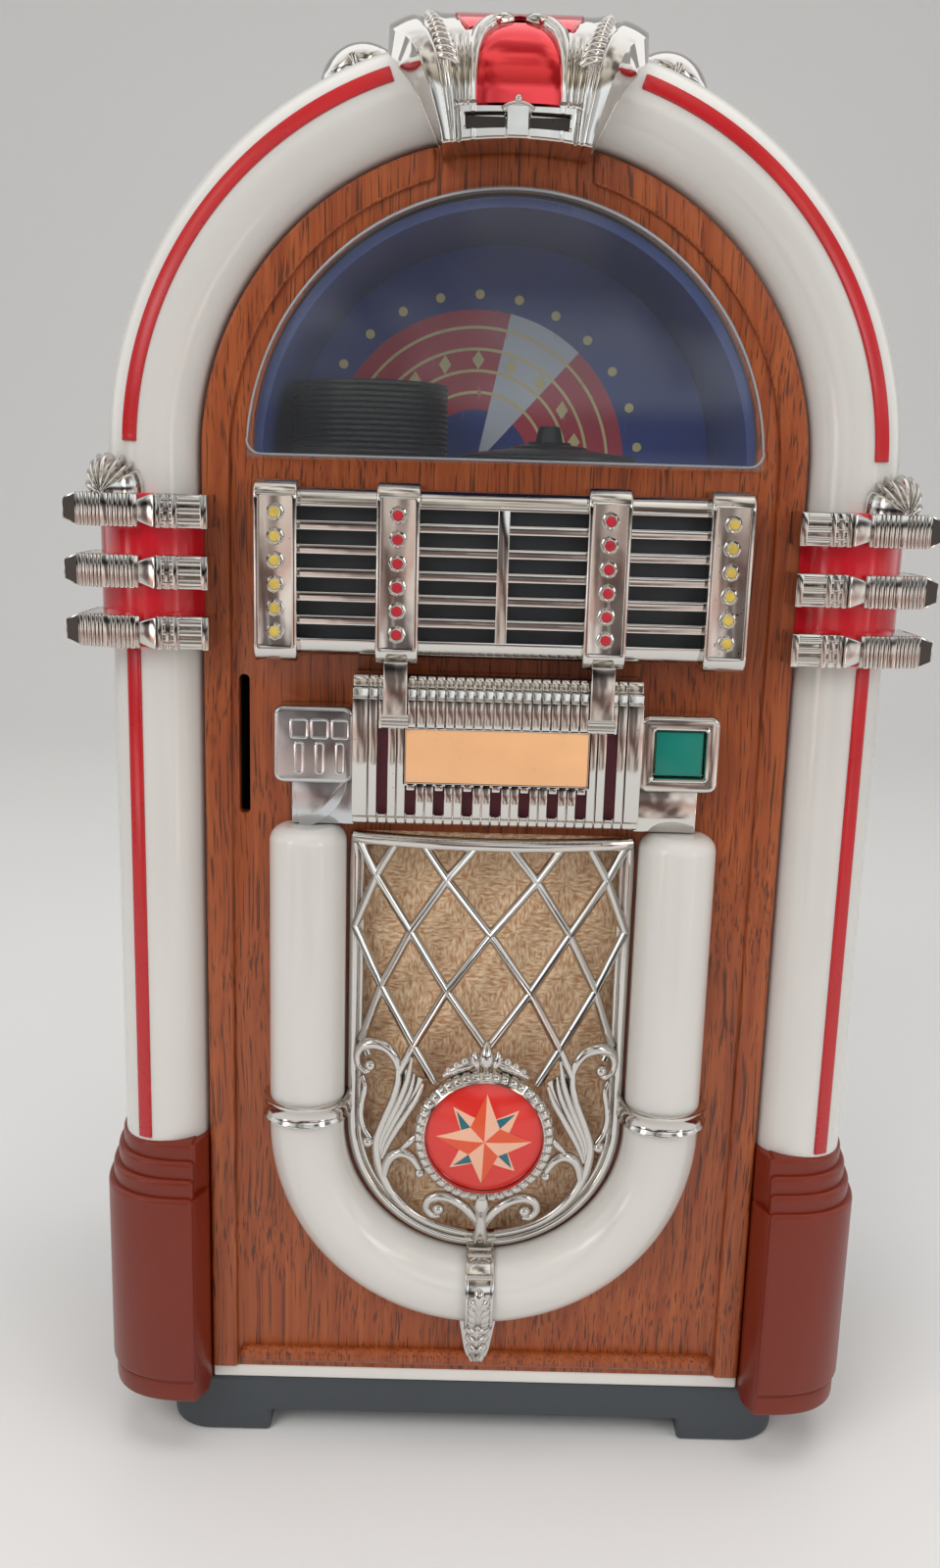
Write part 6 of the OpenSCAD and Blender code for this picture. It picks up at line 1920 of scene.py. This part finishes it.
@dataclass
class Crest:
    """Chrome crest that saddles the tubes: flared flanks, toothed ridges, ribs, petals and red inlays.

    A place on it is given by x and by the way along its side profile, which is 0 where the upright
    front turns into the barrel.
    """

    foot: float = 293.0
    turn_z: float = 302.5
    axis_out: float = -5.0
    barrel_r: float = 19.0
    back_a: float = 118.0
    skirt: float = 12.5
    tail: float = 10.0
    edge: tuple[Point2, ...] = ((-9.5, 14.3), (-7, 14.8), (1, 17.3), (8.1, 19.9), (12.6, 22.2),
        (15.3, 24.2), (20, 25.4))
    flare: tuple[Point2, ...] = ((-9.5, 14.7), (-3, 17.8), (5, 21.8), (10.1, 25.8), (14, 26.5))
    ridge: tuple[Point2, ...] = ((-9.5, 11.9), (-4, 12.4), (7, 13.7), (21.9, 17.7), (39, 18.6))
    lens: tuple[Point2, ...] = ((-2.5, 8.0), (4, 7.9), (8.1, 7.7), (11, 7.1), (13.5, 6.2), (15.4, 5.0),
        (16.6, 3.9), (17.2, 1.2))
    shares: tuple[float, float, float] = (0.24, 0.58, 0.8)
    block_way: float = -2.4
    red_side: tuple[Point2, ...] = ((13.0, 9.6), (15.0, 10.4), (22.0, 12.4), (39.0, 13.4))
    tooth: float = 1.65
    tooth_count: int = 11
    front_y: float = -59.95
    tooth_start: float = 6.4
    tooth_half: float = 1.8
    crown_x: float = 14.5
    crown_drop: float = 3.4
    slot_x: Point2 = (2.5, 10.2)
    slot_z: Point2 = (295.4, 298.3)

    @property
    def back(self) -> float:
        """Way along the profile at which the barrel ends."""
        return radians(self.back_a) * self.barrel_r

    def point(self, x: float, way: float, lift: float) -> Vector:
        """Finds a point of the crest.

        Args:
            x: Distance from the middle.
            way: Way along the profile.
            lift: Height above the barrel.

        Returns:
            The point in the frame.
        """
        low = self.foot - self.turn_z
        if way < low:
            return spot(x, self.barrel_r + self.axis_out + lift - (low - way), self.foot + self.sag(x))
        if way < 0:
            return spot(x, self.barrel_r + self.axis_out + lift,
                self.turn_z + way + self.sag(x) * way / low)
        turn = min(way, self.back) / self.barrel_r
        reach = self.barrel_r + lift - self.crown(x, way)
        return spot(x, self.axis_out + reach * cos(turn),
            self.turn_z + reach * sin(turn) - max(0.0, way - self.back))

    def sag(self, x: float) -> float:
        """Height by which the foot is hollowed towards the middle."""
        return 1.3 * max(0.0, 1 - (x / 14.3) ** 2)

    def crown(self, x: float, way: float) -> float:
        """Depth by which the flanks round off towards the sides, which grows up the barrel."""
        return self.crown_drop * max(0.0, (abs(x) - self.crown_x) / 12) ** 2 * clamp((way - 3) / 9)

    def red_start(self, x: float) -> float:
        """Way along the profile at which the red top begins behind the petals."""
        return 20.2 - 0.62 * abs(x)

    def relief(self, share: float, x: float, way: float) -> float:
        """Depth of the chrome's surface under the barrel.

        Args:
            share: Share of the way from the middle to the flank's edge, by columns.
            x: Distance from the middle.
            way: Way along the profile.

        Returns:
            The depth, as a negative height in millimetres.
        """
        x = abs(x)
        low = way < self.block_way
        inner, middle, outer = self.shares
        if share <= inner:
            depth = -0.5 if low else -1.7
        elif share <= middle:
            t = (share - inner) / (middle - inner)
            fade = clamp((13 - way) / 6)
            floor = -1.6 + 0.7 * clamp((way - 6) / 7)
            depth = floor + 1.5 * swell(t, 0.14, 0.28) + (-0.35 - floor) * swell(t, 1.0, 0.2)
            depth += 0.95 * fade * (swell(t, 0.46, 0.12) + swell(t, 0.7, 0.12))
            if low:
                depth = max(depth, -0.5) if t < 0.7 else depth
        elif share <= outer:
            t = (share - middle) / (outer - middle)
            depth = -0.35 - 0.6 * swell(t, 0.22, 0.2) + 0.15 * swell(t, 0.7, 0.5)
        else:
            depth = -0.2 - 8.0 * sin((share - outer) / (1 - outer) * pi / 2)
        if way > self.red_start(x) and x < ramp(self.red_side, way) + 0.4:
            depth = min(depth, -1.3)
        z = self.turn_z + way
        if low and self.slot_x[0] < x < self.slot_x[1] and self.slot_z[0] < z < self.slot_z[1]:
            depth = -2.2
        if low and x < self.slot_x[0] - 0.2 and z < 300.6:
            depth = -0.05
        if -2.7 < way < -1.9 and x < 12.2:
            depth = min(depth, -1.5)
        return depth

    def build(self) -> None:
        """Builds the chrome body and its inlays."""
        low = self.foot - self.turn_z - self.skirt
        high = self.back + self.tail

        def place(u: float, v: float) -> Vector:
            """Finds a point of the chrome.

            Args:
                u: Share of the width.
                v: Share of the way along.

            Returns:
                The point in the frame.
            """
            way = low + v * (high - low)
            at = max(self.foot - self.turn_z, min(way, self.back))
            share = abs(2 * u - 1)
            lines = (self.lens, self.ridge, self.edge, self.flare)
            marks = list(zip((0.0, *self.shares, 1.0), [0.0] + [ramp(line, at) for line in lines]))
            x = copysign(ramp(marks, share), u - 0.5)
            return self.point(x, way, self.relief(share, x, at))

        body = thick(surface("crest_chrome", 200, 190, place), 1.2, -1.0, 10 * WELD)
        dress(join("crest_chrome", [body, self.keystone(), self.teeth()]), Stock.CHROME, "chrome",
            "top_crest", angle=50)
        dress(self.inlay(), Stock.CANDY, "red_plastic", "crest_lens", angle=40)
        (near, far), (bottom, top) = self.slot_x, self.slot_z
        slots = [prism("slot", round_rect(start, bottom, end, top, 0.2, 2), 11.2, 12.3)
            for start, end in ((-far, -near), (near, far))]
        dress(join("crest_slots", slots), Stock.TIP, "black_plastic")

    def teeth(self) -> Piece:
        """Builds the short bars across both ridges, which shrink towards the back.

        Returns:
            The joined bars.
        """
        bars = []
        for i in range(self.tooth_count):
            way = self.tooth_start + i * self.tooth
            size = 1 - 0.035 * i
            for side in (-1, 1):
                middle = side * ramp(self.ridge, way)
                bars.append([(self.point(middle + side * d * self.tooth_half * size, way + 0.5 * d, lift),
                    size) for d, lift in ((-1.0, -1.4), (-0.5, -0.75), (0.0, -0.5), (0.5, -0.7),
                    (1.0, -1.2))])
        teeth = rods("ridge_teeth", bars, 0.46 * self.tooth, 3)
        for vertex in teeth.data.vertices:
            vertex.co.y = max(vertex.co.y, self.front_y * MM)
        return teeth

    def keystone(self) -> Piece:
        """Builds the arched cap over the block between the slots, and the small knob on it.

        Returns:
            The cap with its knob.
        """
        wide, low, rise = 3.0, -3.6, 1.3
        cap = rods("cap", [[(self.point(x, low + rise * (1 - (x / wide) ** 2), -0.55), 1.0)
            for x in (wide * (i / 8 - 1) for i in range(17))]], 0.55, 4)
        return join("keystone", [cap, ball("knob", self.point(0.0, low + rise + 1.0, -0.8), 0.8, 8)])

    def inlay(self) -> Piece:
        """Builds the red lens and the red top behind the petals.

        Returns:
            The joined inlays.
        """
        def front(u: float, v: float) -> Vector:
            """Returns the lens's point at shares across and up it."""
            side, way = 2 * u - 1, -2.2 + v * 18.8
            return self.point(side * (ramp(self.lens, way) - 0.1), way, -0.75 - 0.5 * abs(side) ** 4)

        def top(u: float, v: float) -> Vector:
            """Returns the red top's point at shares across and back."""
            x = (2 * u - 1) * (ramp(self.red_side, 13 + v * 24) + 0.2)
            return self.point(x, self.red_start(x) + v * (self.back - 1 - self.red_start(x)), -0.6)

        return join("crest_inlay", [thick(surface("red_" + name, 24, 32, place), 0.7, -1.0)
            for name, place in (("lens", front), ("top", top))])


@dataclass
class BandClasps:
    """Three chrome bars across each tube, with a scallop shell on top and red sleeves between the bars."""

    tip_x: float = 91.5
    block_x: float = 88.3
    wedge_x: float = 75.4
    plate_x: float = 71.6
    inner_x: float = 60.8
    back: float = -9.9
    bar_h: float = 6.9
    pitch: float = 12.5
    top: float = 225.7
    bars: int = 3
    face: tuple[Point2, ...] = ((60.0, 10.6), (71.6, 10.9), (75.4, 10.8), (80.0, 10.7), (85.0, 9.7),
        (88.4, 8.3), (91.5, 5.6))
    flutes: tuple[float, ...] = (1.4, 0.8, 1.0, 1.1, 0.9, 1.9, 0.8, 0.8, 0.9, 1.0, 0.7, 1.0)
    steps: tuple[tuple[float, float, float], ...] = ((70.9, 0.55, 10.9), (69.3, 0.7, 10.4),
        (67.6, 0.55, 10.8), (61.6, 0.75, 10.6))
    taper: float = 1.2
    shell_x: float = 80.6
    shell_half: float = 6.5
    shell_h: float = 8.2
    shell_out: float = 11.0
    shell_flutes: int = 9

    def build(self) -> None:
        """Builds one side, mirrors it and dresses the sleeves."""
        bar, tip = self.bar()
        lifts = [slide(z=-self.pitch * i) for i in range(self.bars)]
        right = join("clasp_right", [repeat(bar, "bars", lifts), self.shell()])
        tips = repeat(tip, "clasp_tips_right", lifts)
        left = mirrored(right, "clasp_left")
        dress(left, Stock.CHROME, "chrome", "left_band_clasp", angle=40)
        dress(right, Stock.CHROME, "chrome", "right_band_clasp", angle=40)
        dress(mirrored(tips, "clasp_tips_left"), Stock.TIP, "chrome")
        dress(tips, Stock.TIP, "chrome")
        dress(softened("band_sleeves", "red_sleeves", 0.3), Stock.SLEEVE, "red_plastic", "band_sleeves",
            angle=40)

    def bar(self) -> tuple[Piece, Piece]:
        """Builds the top right bar and the dark panel in its tip.

        Returns:
            The bar and the panel.
        """
        low, high = self.top - self.bar_h, self.top
        xs = [self.wedge_x + (self.block_x - self.wedge_x) * i / 10 for i in range(11)]
        plan = [(self.wedge_x, self.back), (self.block_x, self.back)]
        plan += [(x, ramp(self.face, x) - 1.0) for x in reversed(xs)]
        block = bevel(prism("block", plan, low + 0.1, high - 0.1, Plane.PLAN), 0.25, 2, 50)
        unit = (self.block_x - self.wedge_x - 0.5) / sum(self.flutes)
        x = self.wedge_x + 0.5
        flutes = []
        for share in self.flutes:
            edge = x + share * unit
            out = ramp(self.face, (x + edge) / 2)
            outline = rect(x + 0.1, out - 1.9, edge - 0.1, out)
            flutes.append(bevel(prism("flute", outline, low, high, Plane.PLAN), 0.3, 3))
            x = edge
        outline = [(self.block_x, low), (self.tip_x, low + self.taper), (self.tip_x, high - self.taper),
            (self.block_x, high)]
        tip = prism("tip", outline, self.back + 2, ramp(self.face, self.block_x) - 0.2)
        for vertex in tip.data.vertices:
            if vertex.co.x > (self.tip_x - 0.1) * MM and vertex.co.y < (FACE_Y - 1) * MM:
                vertex.co.y += 0.9 * MM
        tip = bevel(tip, 0.2, 2)
        mid = (low + high) / 2
        panel = [(self.block_x + 0.3, low + 0.5), (self.tip_x - 0.35, low + self.taper + 0.3),
            (self.tip_x - 0.35, high - self.taper - 0.3), (self.block_x + 0.3, high - 0.5)]
        dark = prism("tip_panel", panel, 4.0, ramp(self.face, self.block_x) - 0.12)
        for vertex in dark.data.vertices:
            vertex.co.y += max(0.0, vertex.co.x / MM - self.block_x) * 0.9 / (self.tip_x
                - self.block_x) * MM
        wedge = prism("wedge", [(self.wedge_x, mid - 2.2), (self.wedge_x, mid + 2.2), (self.plate_x, high),
            (self.plate_x, low)], 0.2, 12.3)
        for vertex in wedge.data.vertices:
            if vertex.co.x > (self.wedge_x - 0.1) * MM and vertex.co.y < (FACE_Y - 9) * MM:
                vertex.co.y += 1.7 * MM
        wedge = bevel(wedge, 0.4, 3)
        return join("bar", [block, *flutes, tip, wedge, self.plate(low, high)]), dark

    def plate(self, low: float, high: float) -> Piece:
        """Builds the inner plate with three reeds crossed by upright steps.

        Args:
            low: Height of its foot.
            high: Height of its top.

        Returns:
            The plate.
        """
        base = bevel(prism("plate", rect(self.inner_x, low, self.plate_x, high), 0.2, 9.6), 0.3, 2)
        rows = [low + self.bar_h * share for share in (0.2, 0.5, 0.8)]
        reeds = rods("reeds", [level([(self.inner_x + 0.1, z), (self.plate_x - 0.1, z)], 9.6)
            for z in rows], 0.85, 3)
        steps = [bevel(prism("step", round_rect(x - half, low, x + half, high, 0.2, 2), 8.0, out), 0.25, 2)
            for x, half, out in self.steps]
        return join("reed_plate", [base, reeds, *steps])

    def shell(self) -> Piece:
        """Builds the scallop shell: a half dome whose flutes spread from the outer foot of it.

        Returns:
            The shell.
        """
        hub, rim, full = 1.9, 3.2, 0.82

        def place(u: float, v: float) -> Vector:
            """Finds a point of the shell.

            Args:
                u: Share of the way round the hub.
                v: Share of the way from the hub to the rim.

            Returns:
                The point in the frame.
            """
            turn, tilt = pi * u, v * pi / 2
            side = copysign(abs(cos(turn)) ** full, cos(turn))
            rise = max(0.0, sin(turn)) ** full
            reach = self.shell_half - hub if side > 0 else self.shell_half + hub
            belly = clamp((0.84 - u) / 0.08)
            flute = 1 - 0.24 * belly * (1 - abs(sin(turn * self.shell_flutes))) * sin(tilt) ** 0.6
            away = sin(tilt) ** full * flute
            return spot(self.shell_x + hub + side * reach * away,
                rim + (self.shell_out - rim) * cos(tilt) * flute,
                self.top - 0.1 + rise * self.shell_h * away)

        dome = close(surface("scallop", 144, 20, place), 20 * WELD, fill=False)
        return thick(dome, 0.8, -1.0)


@dataclass
class Shoes:
    """Chestnut shoes of the arch tubes: a foot band, a rounded body, three rings and a flat cheek."""

    side: float = 89.0
    cheek: float = 64.05
    face: float = 66.2
    front: float = 11.0
    centre: Point2 = (66.2, -11.0)
    fullness: float = 2.9
    back: float = -37.0
    wall: float = 80.1
    panel: float = -3.2
    foot: float = 15.0
    band: float = 20.2
    body: float = 67.7
    ring_h: float = 4.1
    ring_in: float = 1.2
    rings: int = 3
    cheek_out: float = 9.9

    def plan(self, inset: float) -> list[Point2]:
        """Outline in plan, drawn in from the front and the side.

        Args:
            inset: Distance that it is drawn in.

        Returns:
            The outline, in x and out.
        """
        a, b = self.side - inset - self.centre[0], self.front - inset - self.centre[1]
        power = 2 / self.fullness
        curve = [(self.centre[0] + a * sin(turn) ** power, self.centre[1] + b * cos(turn) ** power)
            for turn in (pi / 2 * i / 28 for i in range(29))]
        return curve + [(self.side - inset, self.back), (self.wall, self.back), (self.wall, self.panel),
            (self.face, self.panel)]

    def build(self) -> None:
        """Builds the right shoe, mirrors it and dresses both."""
        layers = [(0.7, self.foot, self.band, 0.7), (1.0, self.band - 0.2, self.band + 0.8, 0.1),
            (0.0, self.band + 0.5, self.body, 1.1)]
        for i in range(self.rings):
            low = self.body + i * self.ring_h
            layers.append(((i + 1) * self.ring_in, low - 2.0, low + self.ring_h, 1.1))
        parts = [bevel(prism("shoe", self.plan(inset), low, high, Plane.PLAN), width, 4, 40)
            for inset, low, high, width in layers]
        top = self.body + self.rings * self.ring_h
        for low, high, out in ((self.foot, self.body - 0.6, self.cheek_out),
                (self.body - 1.6, top - 0.4, self.cheek_out - 2.9)):
            strip = [(self.cheek, self.panel), (self.face + 0.5, self.panel), (self.face + 0.5, out),
                (self.face, out), (self.cheek, out - 4.6)]
            parts.append(bevel(prism("cheek", strip, low, high, Plane.PLAN), 0.4, 3))
        right = join("right_shoe_moulding", parts)
        left = mirrored(right, "left_shoe_moulding")
        dress(left, Stock.SHOE, "shoe_plastic", "left_shoe", angle=40)
        dress(right, Stock.SHOE, "shoe_plastic", "right_shoe", angle=40)


@dataclass
class Cabinet:
    """Moulded cabinet with its base, back cover, doors, screws and the two knobs on its shoulders."""

    mouldings: tuple[tuple[str, Finish, str, float, str], ...] = (
        ("base_plinth", Stock.BASE, "base_plastic", 1.2, "cabinet"),
        ("cabinet_shell", Stock.CABINET, "brown_plastic", 0.5, "cabinet"),
        ("back_cover", Stock.CABINET, "brown_plastic", 0.6, "cabinet"),
        ("cover_screws", Stock.STEEL, "steel", 0.12, "cabinet"),
        ("coin_door", Stock.CABINET, "brown_plastic", 0.4, "coin_flap"),
        ("battery_door", Stock.CABINET, "brown_plastic", 0.4, "battery_flap"),
        ("volume_knob", Stock.CHROME, "chrome", 0.3, "volume"),
        ("tuning_knob", Stock.CHROME, "chrome", 0.3, "tuning"))

    def build(self) -> None:
        """Rounds and dresses the mouldings."""
        for node, finish, slot, width, body in self.mouldings:
            dress(softened(node, node + "_moulding", width), finish, slot, node, body=body)


@dataclass
class Studio:
    """Pale floor that sweeps up into a backdrop, soft lamps and the camera of the photograph."""

    half_width: float = 2600.0
    front: float = -420.0
    back: float = 900.0
    sweep: float = 700.0
    height: float = 2400.0
    colour: str = "#f1f0ee"
    sky: str = "#dad9d7"
    shade: str = "#787170"
    white: str = "#ffffff"
    stops: tuple[tuple[float, str], ...] = ((0.0, "#9d8c82"), (0.34, "#dccfc6"), (0.42, "#c9aaa0"),
        (0.455, "#ece3dd"), (0.505, "#d5cec9"), (0.53, "#2d2725"), (0.56, "#4a4340"), (0.59, "#e9eef0"),
        (0.67, "#f2f8fa"), (0.72, "#8f877b"), (0.84, "#c9c2b4"), (0.97, "#efece4"))
    windows: tuple[Point2, ...] = ((-52.0, 5.0), (44.0, 4.0))
    window_glow: float = 6.0
    room_glow: float = 1.3
    soft_glow: float = 0.4
    lamps: tuple[tuple[str, Point3, float, float], ...] = (("key_softbox", (-620, -900, 980), 700, 6.4),
        ("fill_softbox", (900, -700, 520), 900, 3.4), ("top_softbox", (60, -60, 1150), 800, 4.2))
    aim: Point3 = (0, -40, 160)
    stand: Point3 = (-7.5, -342.6, 229.2)
    pitch: float = 12.3
    yaw: float = 0.4
    roll: float = -1.64
    lens: float = 31.5
    sensor: float = 36.0

    def build(self) -> None:
        """Builds the backdrop, the lamps, the surroundings and the camera."""
        self.backdrop()
        self.surroundings()
        for softbox in self.lamps:
            self.lamp(*softbox)
        self.camera()

    def backdrop(self) -> None:
        """Shapes the floor, its sweep and the wall in one sheet."""
        flat = self.back - self.front
        turn = pi / 2 * self.sweep
        length = flat + turn + self.height - self.sweep

        def place(u: float, v: float) -> Vector:
            """Finds a point of the sheet.

            Args:
                u: Share of the width.
                v: Share of the way along.

            Returns:
                The point in the frame.
            """
            along = v * length
            x = (2 * u - 1) * self.half_width
            if along <= flat:
                return Vector((x, self.front + along, 0)) * MM
            if along <= flat + turn:
                a = (along - flat) / self.sweep
                return Vector((x, self.back + self.sweep * sin(a), self.sweep * (1 - cos(a)))) * MM
            return Vector((x, self.back + self.sweep, self.sweep + along - flat - turn)) * MM

        sheet = smooth(surface("studio_backdrop", 4, 96, place))
        paper = Moulded("backdrop_paper", self.colour, roughness=0.8, cloud=0.0, grain=0.0)
        sheet.data.materials.append(paper.material())

    def surroundings(self) -> None:
        """Lights the object evenly and gives metal and glass a pale room with a darker side to mirror."""
        world = bpy.data.worlds.new("studio_room")
        bpy.context.scene.world = world
        world.use_nodes = True
        tree = world.node_tree
        tree.nodes.clear()
        white = linear(self.white)
        view = add(tree, "TexCoord").outputs["Generated"]
        way = add(tree, "SeparateXYZ", {"Vector": view})
        height = add(tree, "MapRange", {"Value": way.outputs["Z"], "From Min": -1.0, "From Max": 1.0})
        room = add(tree, "ValToRGB", {"Fac": height})
        marks = room.color_ramp.elements
        while len(marks) < len(self.stops):
            marks.new(1.0)
        for mark, (at, colour) in zip(marks, self.stops):
            mark.position = at
            mark.color = linear(colour)
        patch = add(tree, "TexNoise", {"Vector": view, "Scale": 2.6, "Detail": 2.0})
        dim = add(tree, "MapRange", {"Value": patch, "From Min": 0.42, "From Max": 0.58})
        things = add(tree, "Mix", {0: dim, 6: linear(self.shade), 7: white}, data_type="RGBA")
        filled = add(tree, "Mix", {0: 1.0, 6: room, 7: things}, data_type="RGBA", blend_type="MULTIPLY")
        before = add(tree, "MapRange", {"Value": way.outputs["Y"], "From Min": -0.35, "From Max": 0.25})
        seen = add(tree, "Mix", {0: before, 6: filled, 7: white}, data_type="RGBA")
        path = add(tree, "LightPath")
        bare = add(tree, "Math", {0: path.outputs["Is Camera Ray"], 1: path.outputs["Is Transmission Ray"]},
            operation="MAXIMUM")
        soft = add(tree, "Background", {"Color": white, "Strength": self.soft_glow})
        mirror = add(tree, "Background", {"Color": seen, "Strength": self.strips(tree, way)})
        pale = add(tree, "Background", {"Color": linear(self.sky), "Strength": 1.0})
        bright = add(tree, "MixShader", {0: path.outputs["Is Glossy Ray"], 1: soft, 2: mirror})
        add(tree, "OutputWorld", {"Surface": add(tree, "MixShader", {0: bare, 1: bright, 2: pale})})

    def strips(self, tree: Tree, way: Node) -> Node:
        """Sets the strength of the mirrored room, with two tall bright windows before the object.

        Args:
            tree: Node tree of the world.
            way: Node that gives the direction's three parts.

        Returns:
            The node that gives the strength.
        """
        ahead = add(tree, "Math", {0: way.outputs["Y"], 1: -1.0}, operation="MULTIPLY")
        turn = add(tree, "Math", {0: way.outputs["X"], 1: ahead}, operation="ARCTAN2")
        glow: Node | float = 0.0
        for angle, half in self.windows:
            away = add(tree, "Math", {0: turn, 1: radians(angle)}, operation="SUBTRACT")
            size = add(tree, "Math", {0: away}, operation="ABSOLUTE")
            band = add(tree, "MapRange", {"Value": size, "From Min": radians(1.5 * half),
                "From Max": radians(half)})
            glow = add(tree, "Math", {0: glow, 1: band}, operation="MAXIMUM")
        rise = add(tree, "MapRange", {"Value": way.outputs["Z"], "From Min": 0.72, "From Max": 0.6})
        lit = add(tree, "Math", {0: glow, 1: rise}, operation="MULTIPLY")
        return add(tree, "MapRange", {"Value": lit, "To Min": self.room_glow, "To Max": self.window_glow})

    def lamp(self, name: str, place: Point3, size: float, power: float) -> None:
        """Adds one softbox that faces the object.

        Args:
            name: Name of the lamp.
            place: Its place in millimetres.
            size: Its side in millimetres.
            power: Its power in watts.
        """
        clear()
        aim = Vector(self.aim) * MM - Vector(place) * MM
        bpy.ops.object.light_add(type="AREA", location=Vector(place) * MM,
            rotation=aim.to_track_quat("-Z", "Y").to_euler())
        lamp = bpy.context.object
        lamp.name = name
        lamp.data.name = name
        lamp.data.size = size * MM
        lamp.data.energy = power
        lamp.visible_glossy = False
        lamp.visible_transmission = False

    def camera(self) -> None:
        """Sets the camera to the view of the photograph."""
        pitch, yaw, roll = (radians(angle) for angle in (self.pitch, self.yaw, self.roll))
        ahead = Vector((sin(yaw) * cos(pitch), cos(yaw) * cos(pitch), -sin(pitch)))
        level_x = Vector((cos(yaw), -sin(yaw), 0))
        down = ahead.cross(level_x)
        right = cos(roll) * level_x + sin(roll) * down
        low = cos(roll) * down - sin(roll) * level_x
        turn = Matrix((right, -low, -ahead)).transposed().to_4x4()
        clear()
        bpy.ops.object.camera_add()
        camera = bpy.context.object
        camera.name = "photograph_view"
        camera.matrix_world = Matrix.Translation(Vector(self.stand) * MM) @ turn
        camera.data.lens = self.lens
        camera.data.sensor_width = self.sensor
        camera.data.clip_start = 10 * MM
        bpy.context.scene.camera = camera
        bpy.context.scene.view_settings.view_transform = "Standard"


def main() -> None:
    """Builds the sub-assemblies and the studio."""
    logging.basicConfig(level=logging.INFO, format="%(name)s: %(message)s")
    for part in (Works(), WoodFront(), ArchTubes(), Selector(), Nameplate(), SidePlates(), Grille(),
            Medallion(), BubbleTubes(), Window(), Crest(), BandClasps(), Shoes(), Cabinet(), Studio()):
        part.build()


if __name__ == "__main__":
    main()
